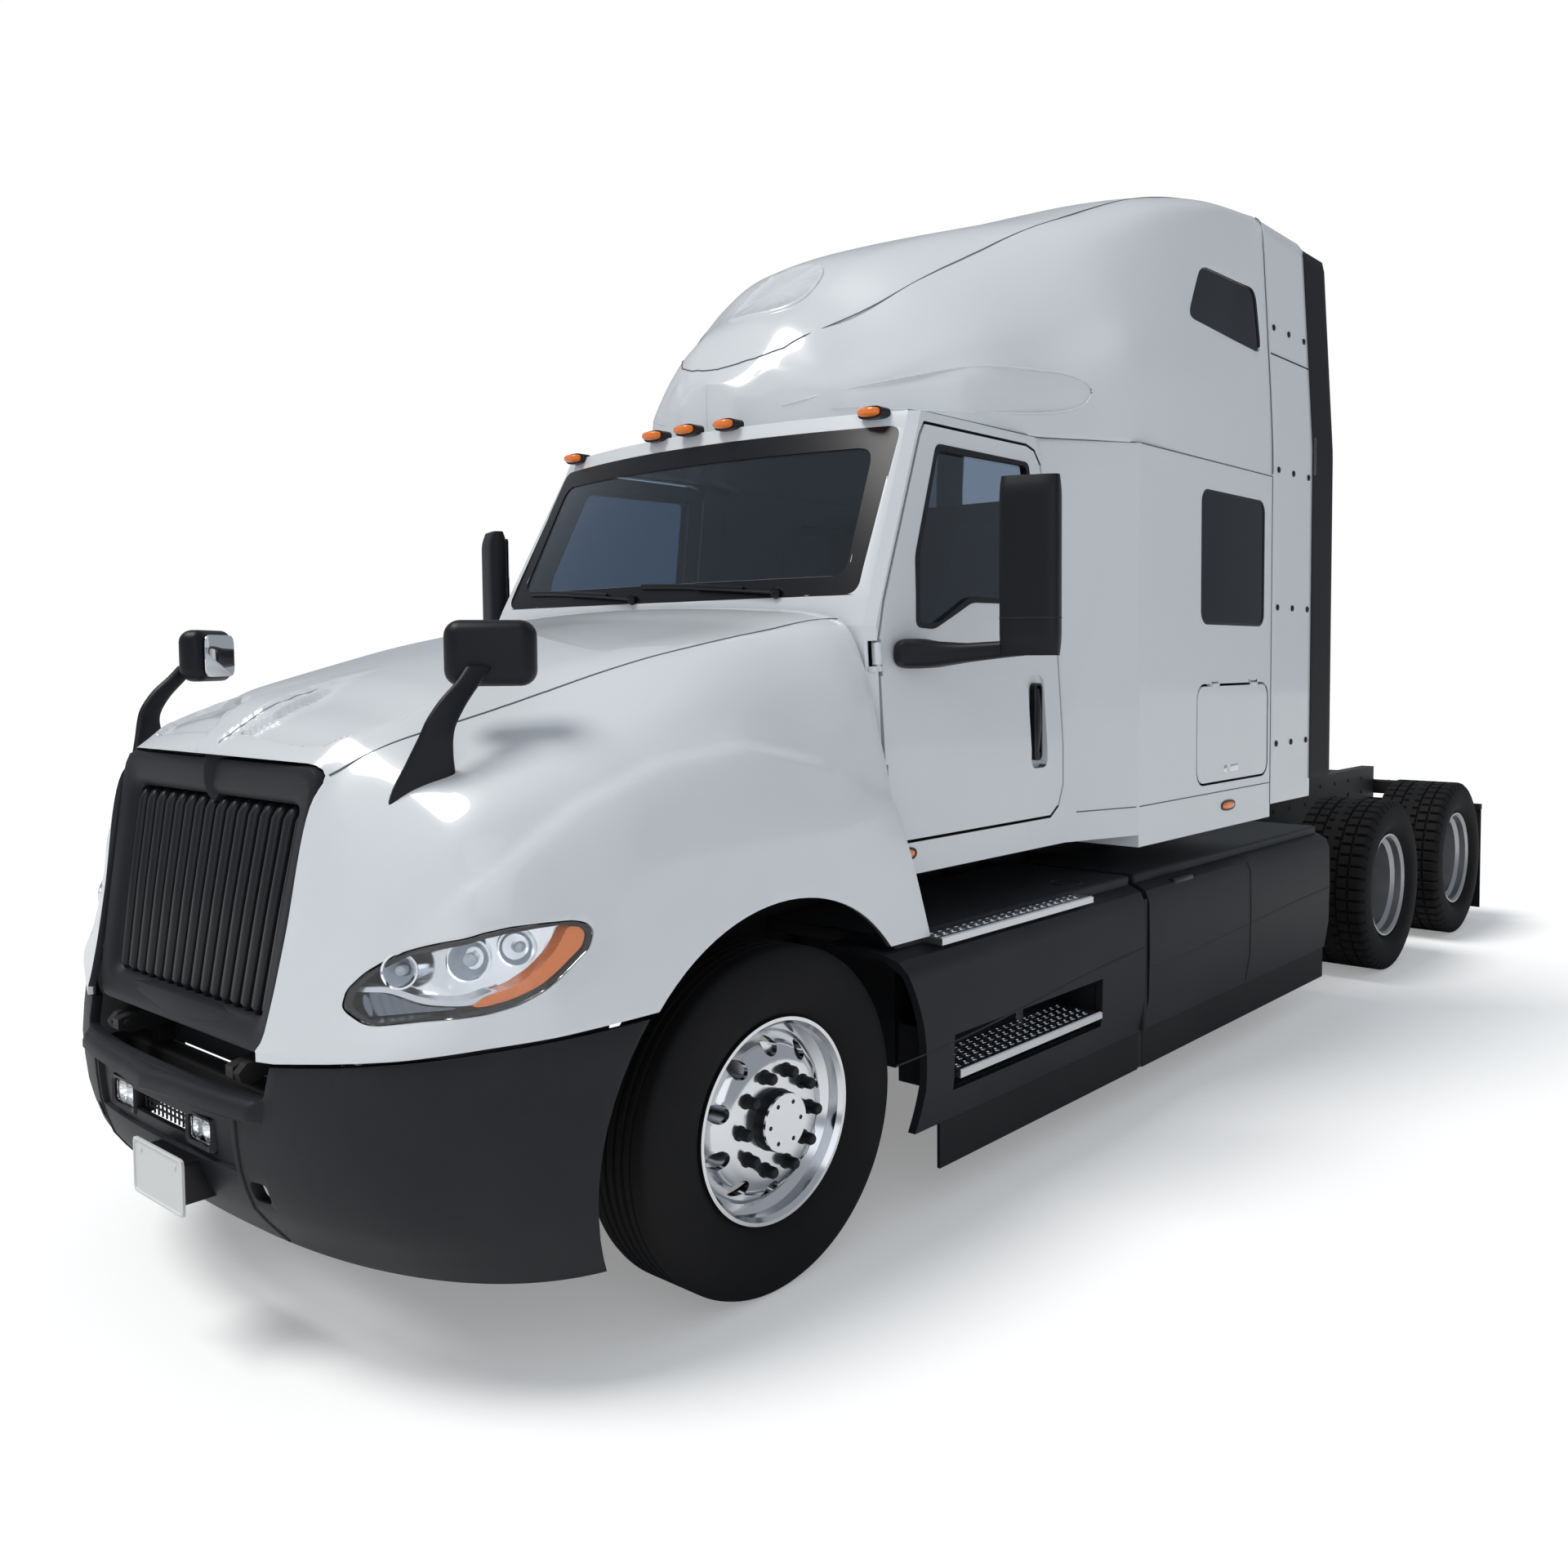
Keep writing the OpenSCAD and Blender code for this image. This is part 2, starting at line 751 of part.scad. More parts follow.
// Half the width of the cab's side at height z
function cab_half(z) =
    lookup(z, [
        [cab_floor, cab_half_low], [1500, cab_half_low], [2000, cab_half_low - 36],
        [header_z, cab_half_high], [seam_z, cab_half_high - 6]
    ]);

// Front of the cab on the centreline, and how far it falls back by its corners
function cab_nose(z) = lookup(z, [[scuttle_z, cab_front], [header_z, cab_front - 180], [seam_z, cab_front - 200]]);
function cab_sweep(z) = lookup(z, [[1950, 0], [scuttle_z, 40], [header_z, 145], [seam_z, 150]]);

// Plan of the front cab at height z
function cab_plan(z, inset) =
    let (
        corner = cab_half(z) - 30, nose = cab_nose(z), sweep = cab_sweep(z),
        front = [for (k = [0:4]) [nose - sweep * pow(k / 4, 2) - inset, k / 4 * (corner - inset * 0.6)]],
        side = [[nose - sweep - 32 - inset * 0.6, cab_half(z) - inset]]
    )
    whole_x(concat(front, side, [[cab_rear - (inset > 0 ? 20 : 0), cab_half(z) - inset]]));

cab_levels = [cab_floor, 1500, 1950, scuttle_z, header_z, seam_z];

module cab_form(inset, floor_up, lid_up) {
    for (i = [0:len(cab_levels) - 2]) {
        z0 = cab_levels[i];
        z1 = cab_levels[i + 1];
        hull() {
            slab(cab_plan(z0, inset), z0 + (i == 0 ? floor_up : 0));
            slab(cab_plan(z1, inset), z1 - 1 + (i == len(cab_levels) - 2 ? lid_up : 0));
        }
    }
}

// The flare that widens the cab to the sleeper's sides
module flare_form(inset, floor_up, lid_up) {
    past = inset > 0 ? 15 : 0;
    hull() {
        along(cab_rear - 1 + past, cab_rear + past)
            polygon(whole([
                [cab_half(seam_z) - inset, seam_z + lid_up], [cab_half(2000) - inset, 2000],
                [cab_half(1500) - inset, 1500], [cab_half_low - inset, cab_floor + floor_up]
            ]));
        along(flare_x - past, flare_x + 1 - past)
            polygon(whole([
                [sleeper_half - inset, seam_z + lid_up], [sleeper_half - inset, cab_floor + floor_up]
            ]));
    }
}

floor_t = 42;
lid_t = 28;

module cab_outer(inset = 0) {
    cab_form(inset, 0, 0);
    flare_form(inset, 0, 0);
}

module cab_inner(inset = wall) {
    cab_form(inset, floor_t, -lid_t);
    flare_form(inset, floor_t, -lid_t);
    // way up into the raised roof
    translate([0, 0, seam_z - lid_t - 20])
        linear_extrude(lid_t + 40)
            polygon(whole_x([
                [-960, 60], [-1010, 250], [-1100, 440], [-1250, 640], [-1420, 790], [-1700, 880],
                [-1900, 980], [flare_x - 20, 1080]
            ]));
}

// Outline of a side door in X and Z
module door_outline(grow) {
    offset(delta = grow)
        polygon([
            [-700, 1238], [-1585, 1238], [-1640, 1275], [-1672, 1350], [-1672, 2590],
            [-1640, 2640], [-1590, 2655], [-955, 2655], [-925, 2615], [-640, 2030], [-598, 1900],
            [-592, 1430], [-615, 1330]
        ]);
}

module door_window(grow) {
    offset(r = 25) offset(delta = grow - 25)
        polygon([[-800, 1950], [-900, 1945], [-1130, 2045], [-1590, 2045], [-1590, 2590],
                 [-1010, 2590], [-830, 2190]]);
}

screen_low = [968, scuttle_z + 12];
screen_high = [922, header_z + 2];
flange_w = 62;

// Windscreen outline in Y and Z
module screen_outline(shrink) {
    offset(r = 40) offset(delta = -shrink - 40)
        polygon([
            [-screen_low[0], screen_low[1]], [screen_low[0], screen_low[1]],
            [screen_high[0], screen_high[1]], [-screen_high[0], screen_high[1]]
        ]);
}

// The side wall's own thickness, from deep inside the wall outwards
module door_zone(deep) {
    along(-1800, -500)
        polygon(concat(
            [for (z = [cab_floor, 1500, 2000, header_z, seam_z]) [cab_half(z) - wall - deep, z]],
            [[1400, seam_z], [1400, cab_floor]]
        ));
}

hinge_x = -582;
hinge_y = 1075;
hinge_tilt = 2.3;
hinge_foot_z = 1600;
hinge_levels = [1440, 1850];
hinge_pin_r = 7;
barrel_r = 13;

// A door hinge's axis leans in with the cab's side
module at_hinge(z) {
    translate([hinge_x, hinge_y, hinge_foot_z])
        rotate([hinge_tilt, 0, 0]) translate([0, 0, z - hinge_foot_z]) children();
}

module cab_shell() {
    color("#e6e9ed") at_front_axle() {
        difference() {
            cab_outer();
            cab_inner();
            both_sides() intersection() {
                across(800, 1400) door_outline(door_gap);
                door_zone(10);
            }
            // seat for the glass, and the opening inside it
            intersection() {
                along(-1300, -300) screen_outline(-slack);
                difference() {
                    cab_form(-2, 0, 0);
                    cab_form(glass_t + slack, 0, 0);
                }
            }
            along(-1300, -300) screen_outline(flange_w);
            // room for the doors' hinge barrels
            both_sides()
                for (z = hinge_levels)
                    at_hinge(z) block([-30, -45, -33], [barrel_r + 6, 40, 51]);
        }
        both_sides()
            for (z = hinge_levels)
                at_hinge(z) {
                    translate([0, 0, -50]) cylinder(r = hinge_pin_r, h = 95);
                    block([-8, -38, -50], [22, 8, -33]);
                }
    }
}

module windscreen() {
    color("#22344f", 0.5) at_front_axle()
        intersection() {
            along(-1300, -300) screen_outline(0);
            difference() {
                cab_form(0, 0, 0);
                cab_form(glass_t, -1, 1);
            }
        }
}

module door(side) {
    color("#e6e9ed") at_front_axle() on_side(side) {
        difference() {
            intersection() {
                cab_form(0, 0, 0);
                across(800, 1400) door_outline(0);
                door_zone(0);
            }
            across(700, 1500) door_window(0);
            // pocket for the pull handle
            across(cab_half_low - 30, 1400)
                translate([-1535, 1455]) offset(r = 30) square([50, 290]);
            for (z = hinge_levels)
                at_hinge(z) block([-24, -80, -64], [40, 40, 56]);
        }
        for (z = hinge_levels)
            at_hinge(z) difference() {
                union() {
                    translate([0, 0, -27]) cylinder(r = barrel_r, h = 70);
                    block([-50, -26, -27], [0, -5, 43]);
                }
                translate([0, 0, -40]) cylinder(r = hinge_pin_r + slack, h = 100);
            }
    }
}

module door_glass(side) {
    color("#22344f", 0.5) at_front_axle() on_side(side)
        intersection() {
            across(800, 1400) door_window(-slack);
            difference() {
                cab_form(10, 0, 0);
                cab_form(10 + glass_t, -1, 1);
                block([-560, -1500, 1000], [-100, 1500, 3000]);
                block([-2000, -1500, 1000], [-1000, 700, 3000]);
            }
        }
}

mirror_centre = [-867, 1465];
mirror_z = [1850, 2425];
mirror_foot = [-850, -640, 1797, 1915];

module mirror_box(x, y, z, r) {
    hull()
        for (a = [z[0] + r, z[1] - r], b = [y[0] + r, y[1] - r])
            translate([x[0], b, a]) rotate([0, 90, 0]) cylinder(r = r, h = x[1] - x[0], $fn = 24);
}

module door_mirror(side) {
    f = mirror_foot;
    color("#17181b") at_front_axle() on_side(side)
        difference() {
            union() {
                translate([mirror_centre[0], mirror_centre[1], 0]) rotate([0, 0, 20])
                    mirror_box([-45, 45], [-100, 100], mirror_z, 35);
                hull() {
                    block([f[0], 1030, f[2]], [f[1], 1115, f[3]]);
                    block([f[0] - 20, 1130, f[2] + 4], [f[0] + 50, 1165, f[3] - 18]);
                }
                hull() {
                    block([f[0] - 20, 1130, f[2] + 4], [f[0] + 50, 1165, f[3] - 18]);
                    block([-920, 1390, 1842], [-850, 1430, 1905]);
                }
            }
            cab_form(-fit, 0, 0);
        }
}

// ---- Sleeper -------------------------------------------------------------------------------

sleeper_rear = flare_x - sleeper_len;
shelf_z = 1740;
luggage = [-2575, -3310, 1285, 1712];
luggage_r = 60;
window = [-2600, -3265, 1985, 2575];
window_r = 60;
luggage_hinges = [-2740, -3150];
luggage_pin_r = 4;
luggage_axis_z = luggage[3] + 6;

module round_panel(p, r, grow) {
    offset(r = r + grow) offset(delta = -r)
        polygon([[p[1], p[2]], [p[0], p[2]], [p[0], p[3]], [p[1], p[3]]]);
}

module sleeper_shell() {
    color("#e6e9ed") at_front_axle() {
        difference() {
            block([sleeper_rear, -sleeper_half, sleeper_floor], [flare_x - fit, sleeper_half, seam_z]);
            block([sleeper_rear + wall, -sleeper_half + wall, sleeper_floor + floor_t],
                  [flare_x + 10, sleeper_half - wall, seam_z + 10]);
            both_sides() {
                across(sleeper_half - wall - 5, sleeper_half + 5)
                    round_panel(luggage, luggage_r, door_gap);
                for (x = luggage_hinges)
                    translate([x, sleeper_half, luggage_axis_z])
                        rotate([0, 90, 0]) translate([0, 0, -36]) cylinder(r = 14, h = 72);
                across(sleeper_half - wall - 5, sleeper_half + 5)
                    round_panel(window, window_r, slack);
            }
        }
        block([sleeper_rear + wall, -sleeper_half + wall, shelf_z],
              [flare_x - 350, sleeper_half - wall, shelf_z + 30]);
        // hinge pins of the luggage doors, held at both ends
        both_sides()
            for (x = luggage_hinges)
                translate([x, sleeper_half, luggage_axis_z]) {
                    rotate([0, 90, 0]) translate([0, 0, -45]) cylinder(r = luggage_pin_r, h = 90);
                    for (e = [-45, 36])
                        block([e, -16, -luggage_pin_r], [e + 9, 3, 20]);
                }
    }
}

module luggage_door(side) {
    color("#e6e9ed") at_front_axle() on_side(side) difference() {
        union() {
            across(sleeper_half - wall, sleeper_half) round_panel(luggage, luggage_r, 0);
            for (x = luggage_hinges)
                translate([x, sleeper_half, luggage_axis_z]) {
                    rotate([0, 90, 0]) translate([0, 0, -30]) cylinder(r = 8, h = 60);
                    block([-30, -14, -20], [30, 0, 0]);
                }
        }
        for (x = luggage_hinges)
            translate([x, sleeper_half, luggage_axis_z])
                rotate([0, 90, 0]) translate([0, 0, -40]) cylinder(r = luggage_pin_r + slack, h = 80);
    }
}

module side_windows() {
    color("#10151d", 0.7) at_front_axle() both_sides() {
        across(sleeper_half - 12, sleeper_half - 3) round_panel(window, window_r, 0);
    }
}

extender_t = 26;
extender_rear = sleeper_rear - extender_len;
extender_top = overall_h - 35;

module extender_section(t) {
    y = sleeper_half;
    polygon([
        [y, 1130], [y, 2900], [y - 62, 3880], [y - 102, 3935], [y - 180, extender_top],
        [y - 184, extender_top - t], [y - 102 - t, 3935 - t], [y - 62 - t, 3870], [y - t, 2890],
        [y - t, 1130]
    ]);
}

module side_extenders() {
    color("#e6e9ed") at_front_axle() both_sides() {
        along(extender_rear, sleeper_rear - fit) extender_section(extender_t);
    }
}

module extender_edges() {
    color("#1c1d20") at_front_axle() both_sides() {
        y = sleeper_half - 6;
        along(extender_rear - rubber_len, extender_rear)
            polygon([
                [y, 1215], [y, 2900], [y - 62, 3880], [y - 70, 3900], [y - 82, 3900],
                [y - 74, 3880], [y - 12, 2900], [y - 12, 1215]
            ]);
    }
}

// ---- Roof ----------------------------------------------------------------------------------

// Fore and aft place, then the outline's points in Y and Z from the crown down to the foot
roof_rows = [
    [-835, [[0, 2900], [50, 2895], [95, 2870], [120, 2830], [120, 2780]]],
    [-862, [[0, 2928], [120, 2912], [190, 2870], [215, 2820], [215, 2780]]],
    [-920, [[0, 3000], [180, 2985], [270, 2940], [335, 2850], [345, 2780]]],
    [-1010, [[0, 3145], [200, 3125], [330, 3060], [450, 2940], [515, 2840], [520, 2780]]],
    [-1180, [[0, 3290], [230, 3262], [400, 3185], [560, 3055], [680, 2910], [700, 2820]]],
    [-1400, [[0, 3485], [300, 3455], [500, 3370], [700, 3205], [840, 3010], [890, 2850]]],
    [-1660, [[0, 3600], [400, 3578], [650, 3500], [840, 3315], [950, 3080], [990, 2850]]],
    [-2050, [[0, 3728], [500, 3715], [850, 3660], [990, 3560], [1110, 3270], [1195, 2950]]],
    [-2500, [[0, 3880], [600, 3872], [930, 3842], [1075, 3765], [1160, 3400], [1212, 2950]]],
    [-2950, [[0, 3960], [600, 3954], [980, 3935], [1112, 3876], [1165, 3500], [1212, 2900]]],
    [sleeper_rear + 0.5,
        [[0, overall_h], [600, overall_h - 3], [1000, 3972], [sleeper_half - 102, 3935],
         [sleeper_half - 62, 3880], [sleeper_half, 2900]]]
];
roof_wall = 30;

module roof_slice(row, inset, drop) {
    pts = [for (p = row[1]) [max(0, p[0] - (p[0] > 0 ? inset : 0)), p[1] - inset]];
    last = pts[len(pts) - 1];
    along(row[0] - 0.5, row[0] + 0.5)
        polygon(whole(concat(pts, [[last[0], seam_z + fit - drop]])));
}

module roof_form(inset, drop) {
    n = len(roof_rows);
    first = inset > 0 ? 1 : 0;
    for (i = [first:n - 2])
        hull() {
            translate([(i == first ? -inset : 0), 0, 0]) roof_slice(roof_rows[i], inset, drop);
            translate([(i == n - 2 ? inset : 0), 0, 0]) roof_slice(roof_rows[i + 1], inset, drop);
        }
}

module roof_window(grow) {
    offset(r = 60 + grow) offset(delta = -60)
        polygon([[-2530, 3300], [-3240, 3260], [-3215, 3560], [-2700, 3560]]);
}

module roof_cap() {
    color("#e6e9ed") at_front_axle()
        difference() {
            roof_form(0, 0);
            roof_form(roof_wall, 20);
            both_sides() across(900, 1400) roof_window(slack);
        }
}

// ---- Inside --------------------------------------------------------------------------------

wheel_centre = [-1075, 520, 1900];
wheel_lean = 42;
wheel_ring_r = 225;
rim_bar_r = 15;

module dashboard() {
    color("#3d3f42") at_front_axle() {
        across(-965, 965)
            polygon([
                [cab_front - wall, 1350], [cab_front - wall - 60, 1350], [-900, 1480], [-980, 1640],
                [-960, 1850], [-880, 1935], [cab_front - wall, 1945]
            ]);
        translate(wheel_centre) rotate([0, -wheel_lean, 0])
            translate([0, 0, -230]) cylinder(r = 34, h = 206 - slack);
    }
}

module steering_wheel() {
    color("#26272a") at_front_axle() translate(wheel_centre) rotate([0, -wheel_lean, 0]) {
        rotate_extrude($fn = 72) translate([wheel_ring_r, 0]) circle(r = rim_bar_r, $fn = 24);
        translate([0, 0, -24]) cylinder(r = 62, h = 34);
        for (a = [0, 120, 240])
            rotate(a + 90) translate([0, -16, -16]) cube([wheel_ring_r, 32, 16]);
    }
}

seat_x = -1600;
seat_y = 520;

module seats() {
    color("#55585c") at_front_axle() both_sides() translate([seat_x, seat_y, 0]) {
        block([-190, -170, cab_floor + floor_t], [210, 170, 1500]);
        block([-260, -255, 1500], [290, 255, 1640]);
        across(-245, 245)
            polygon([[-150, 1640], [-290, 1640], [-400, 2420], [-290, 2420]]);
    }
}

module bunk() {
    color("#6a6e74") at_front_axle()
        block([sleeper_rear + wall + 20, -sleeper_half + wall + 25, shelf_z + 30],
              [flare_x - 400, sleeper_half - wall - 25, shelf_z + 180]);
}

// ---- Hood ----------------------------------------------------------------------------------

hood_low = 845;
hood_rear = -530;
// Fore and aft place, then the upper outline's points in Y and Z from the middle outwards
hood_rows = [
    [1195, [[0, 935], [300, 930], [480, 905], [530, 870]]],
    [1130, [[0, 1330], [430, 1290], [560, 1150], [680, 960], [735, 880]]],
    [1060, [[0, 1600], [540, 1550], [620, 1450], [750, 1180], [850, 1000], [930, 900]]],
    [1000, [[0, 1655], [520, 1612], [630, 1530], [865, 1285], [940, 1050], [1010, 910]]],
    [920, [[0, 1712], [500, 1675], [640, 1605], [1000, 1390], [1070, 1200], [1085, 920]]],
    [750, [[0, 1765], [560, 1725], [690, 1665], [1050, 1486], [1150, 1200], [1192, 950]]],
    [490, [[0, 1835], [600, 1795], [755, 1745], [1085, 1572], [1190, 1300], [1218, 960]]],
    [95, [[0, 1915], [650, 1890], [850, 1860], [1110, 1617], [1205, 1300], [1220, 1000]]],
    [-225, [[0, 1975], [700, 1950], [890, 1925], [1115, 1577], [1200, 1300], [1212, 1000]]],
    [-530, [[0, 2030], [750, 2005], [950, 1965], [1115, 1600], [1165, 1361], [1190, 1100]]],
    [-690, [[0, 2030], [750, 2005], [950, 1965], [1115, 1600], [1165, 1361], [1190, 1100]]]
];

module hood_slice(row, inset, drop) {
    pts = [for (p = row[1]) [max(0, p[0] - (p[0] > 0 ? inset : 0)), p[1] - inset]];
    last = pts[len(pts) - 1];
    along(row[0] - 0.5, row[0] + 0.5)
        polygon(whole(concat(pts, [[last[0], hood_low - drop], [0, hood_low - drop]])));
}

module hood_form(inset, drop) {
    n = len(hood_rows);
    for (i = [0:n - 2])
        hull() {
            translate([-max(inset, 0), 0, 0]) hood_slice(hood_rows[i], inset, drop);
            translate([-max(inset, 0), 0, 0]) hood_slice(hood_rows[i + 1], inset, drop);
        }
}

grille_top = 1585;
grille_half = [532, 592];
grille_lean = 9.8;

// Front outline of the grille's surround in Y and Z
module grille_outline(grow) {
    offset(r = 70 + grow) offset(delta = -70)
        polygon([
            [-grille_half[0], hood_low + 2], [grille_half[0], hood_low + 2],
            [grille_half[1], grille_top], [-grille_half[1], grille_top]
        ]);
}

// Everything in the slope of the grille, in front of the plane x0 behind its lower edge
module grille_slab(x0, x1) {
    translate([1150, 0, hood_low]) rotate([0, -grille_lean, 0]) translate([0, 0, -hood_low])
        along(x0, x1) children();
}

module lamp_outline(grow) {
    offset(r = 15 + grow) offset(delta = -15)
        polygon([
            [1095, 1020], [1058, 953], [920, 992], [745, 1085], [610, 1170], [700, 1205], [860, 1200],
            [1000, 1130]
        ]);
}

lamp_t = 70;

module hood() {
    color("#e9ecf0") at_front_axle() {
        difference() {
            hood_form(0, 0);
            hood_form(hood_wall, 60);
            grille_slab(-70, 200) grille_outline(slack);
            translate([0, 1300, front_z])
                rotate([90, 0, 0]) cylinder(r = arch_r, h = 2600, $fn = 72);
            // lower edge, and the raked rear edge of the fenders
            along(-1000, 1400)
                polygon(whole([[0, 700], [1300, 700], [1300, 950], [1092, 918], [967, 898], [750, 868], [540, 845], [0, 845]]));
            across(-1300, 1300)
                polygon([
                    [hood_rear, 2200], [hood_rear, 1400], [-690, 940], [-690, 800], [-800, 800],
                    [-800, 2200]
                ]);
            both_sides() across(600, 1400) lamp_outline(slack);
        }
    }
}

// Plates behind the grille with an ear and a pin each, turning in the frame's brackets
module hood_hinges() {
    color("#2a2c2f") at_front_axle() both_sides() {
        ear = [hinge_ear_y + 26, hinge_ear_y + 56];
        grille_slab(-90, -60 - fit) translate([ear[0] + 5, 855]) square([125, 75]);
        across(ear[0], ear[1])
            polygon([
                [1062, 925], [1048, 925], [1046, 862], [1118, 775], [1150, 762], [1180, 770],
                [1187, 793], [1166, 815], [1100, 826], [1078, 850], [1076, 880]
            ]);
        translate([hood_pivot[0], hinge_ear_y - 30, hood_pivot[1]])
            rotate([-90, 0, 0]) cylinder(r = hood_pin_r, h = 80);
    }
}

bar_count = 16;
bar_w = 26;

module grille() {
    color("#222428") at_front_axle() {
        grille_slab(-60, 24) difference() {
            grille_outline(0);
            offset(r = 40) offset(delta = -40)
                polygon([[-450, 935], [450, 935], [500, 1480], [-500, 1480]]);
        }
        for (i = [0:bar_count - 1]) {
            y = -442 + 884 * i / (bar_count - 1);
            grille_slab(-50, 0) translate([y - bar_w / 2, 930]) square([bar_w, 555]);
        }
    }
}

module headlamps() {
    color("#dfe4e8") at_front_axle() both_sides()
        intersection() {
            across(650, 1400) lamp_outline(0);
            difference() {
                hood_form(0, 0);
                hood_form(lamp_t, 60);
            }
        }
}

// A flat strap round a row of points, turned as the hood mirrors are
module strap(points, size) {
    hull()
        for (p = points)
            translate(p) rotate([0, 0, mirror_turn]) cube([44, size, size], center = true);
}

mirror_turn = 50;

module hood_mirrors() {
    color("#17181b") at_front_axle() both_sides()
        difference() {
            union() {
                translate([695, 820, 1861]) rotate([0, 0, mirror_turn])
                    mirror_box([-52, 52], [-116, 116], [-86, 86], 35);
                strap([[905, 838, 1682], [842, 868, 1662], [800, 838, 1790], [748, 868, 1790]], 26);
                strap([
                    [965, 752, 1440], [972, 765, 1540], [905, 838, 1682], [842, 868, 1662],
                    [826, 842, 1515]
                ], 26);
            }
            hood_form(-fit, 0);
        }
}

// ---- Output --------------------------------------------------------------------------------

// A rim or tyre at its place on the side that it belongs to
module steered(side) { on_side(side) wheel_at(0, front_half_track, front_z) children(); }
module driven(side, x) { on_side(side) wheel_at(x, drive_half_track, drive_z) children(); }
module steered_rim(side) { color("#c3c7cb") steered(side) front_rim(); }
module steered_tyre(side) {
    color("#151516") steered(side) tyre(front_tyre_d / 2, front_tyre_w, front_flange_z);
}
module driven_rim(side, x) { color("#a9adb2") driven(side, x) drive_rim(); }
module driven_tyre(side, x) {
    color("#151516") driven(side, x) tyre(drive_tyre_d / 2, drive_tyre_w, drive_flange_z);
}
module one_knuckle(side) { color("#35373a") at_front_axle() on_side(side) knuckle(); }

frame_rails();
front_axle();
suspension();
drive_axles();
driveline();
engine();
radiator();
tanks();
side_boxes();
bumper();
number_plate();
fog_lamps();
side_fairings();
skirts();
step_treads();
deck_plate();
fifth_wheel_base();
fifth_wheel_plate();
mudflaps();
tail_lamps();
cab_shell();
sleeper_shell();
roof_cap();
windscreen();
side_windows();
side_extenders();
extender_edges();
dashboard();
steering_wheel();
seats();
bunk();
door(1);  // door_left
door_glass(1);  // door_glass_left
door_mirror(1);  // door_mirror_left
door(-1);  // door_right
door_glass(-1);  // door_glass_right
door_mirror(-1);  // door_mirror_right
luggage_door(1);  // luggage_door_left
luggage_door(-1);  // luggage_door_right
hood();
hood_hinges();
grille();
headlamps();
hood_mirrors();
one_knuckle(1);  // knuckle_left
one_knuckle(-1);  // knuckle_right
tie_rod();
steered_rim(1);  // front_rim_left
steered_tyre(1);  // front_tyre_left
steered_rim(-1);  // front_rim_right
steered_tyre(-1);  // front_tyre_right
driven_rim(1, fore_x);  // fore_rim_left
driven_tyre(1, fore_x);  // fore_tyre_left
driven_rim(-1, fore_x);  // fore_rim_right
driven_tyre(-1, fore_x);  // fore_tyre_right
driven_rim(1, aft_x);  // aft_rim_left
driven_tyre(1, aft_x);  // aft_tyre_left
driven_rim(-1, aft_x);  // aft_rim_right
driven_tyre(-1, aft_x);  // aft_tyre_right
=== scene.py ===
"""Highway tractor with a tall sleeper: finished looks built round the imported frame.

Sizes are millimetres from the front axle's line until a piece is placed, as the frame's own makers
measure them: +X forwards, +Y to the driver's left, +Z up from the ground.
"""

import logging
import math
from dataclasses import dataclass, field, replace
from enum import Enum

import bmesh
import bpy
import numpy as np
from mathutils import Matrix, Vector


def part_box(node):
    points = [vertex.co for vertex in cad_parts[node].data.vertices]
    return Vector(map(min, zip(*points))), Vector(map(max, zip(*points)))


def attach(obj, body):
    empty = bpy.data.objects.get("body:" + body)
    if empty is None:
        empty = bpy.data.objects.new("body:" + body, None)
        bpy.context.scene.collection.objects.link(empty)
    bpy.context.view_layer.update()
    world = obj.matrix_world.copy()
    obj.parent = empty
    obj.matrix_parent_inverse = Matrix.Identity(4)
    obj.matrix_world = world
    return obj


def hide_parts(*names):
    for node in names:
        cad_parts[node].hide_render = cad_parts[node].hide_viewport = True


Array = np.ndarray
LOG = logging.getLogger("tractor")

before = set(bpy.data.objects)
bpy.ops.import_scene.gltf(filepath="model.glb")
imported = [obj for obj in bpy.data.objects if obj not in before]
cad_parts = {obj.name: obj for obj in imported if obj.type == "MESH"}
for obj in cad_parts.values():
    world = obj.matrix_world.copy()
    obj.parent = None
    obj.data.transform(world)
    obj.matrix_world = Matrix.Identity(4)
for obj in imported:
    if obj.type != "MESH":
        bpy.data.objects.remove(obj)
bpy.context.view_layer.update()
AXLE_X = (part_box("front_axle")[0].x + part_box("front_axle")[1].x) / 2
SIDES = {"left": 1, "right": -1}


# ---- Surfaces --------------------------------------------------------------------------------

@dataclass
class Surface:
    """Points in millimetres and the faces that join them."""

    points: Array
    faces: list

    def mirrored(self) -> "Surface":
        """The same surface on the other side of the centreline."""
        return Surface(self.points * [1, -1, 1], [face[::-1] for face in self.faces])

    def pair(self) -> "Surface":
        """The surface and its mirror image as one."""
        return joined([self, self.mirrored()])

    def on(self, side: int) -> "Surface":
        """The surface as drawn for +Y, or mirrored where side is -1."""
        return self if side > 0 else self.mirrored()

    def moved(self, shift: tuple) -> "Surface":
        """The surface carried along by a shift."""
        return Surface(self.points + np.asarray(shift, float), self.faces)

    def turned(self, degrees: float, axis: str = "Z") -> "Surface":
        """The surface turned about an axis through the origin."""
        matrix = np.array(Matrix.Rotation(math.radians(degrees), 3, axis))
        return Surface(self.points @ matrix.T, self.faces)


def joined(surfaces: list) -> Surface:
    """One surface out of several.

    Args:
        surfaces: The surfaces, in order.

    Returns:
        Their points one after another, with the faces' numbers raised to match.
    """
    points, faces, start = [], [], 0
    for surface in surfaces:
        points.append(surface.points)
        faces += [tuple(start + i for i in face) for face in surface.faces]
        start += len(surface.points)
    return Surface(np.concatenate(points), faces)


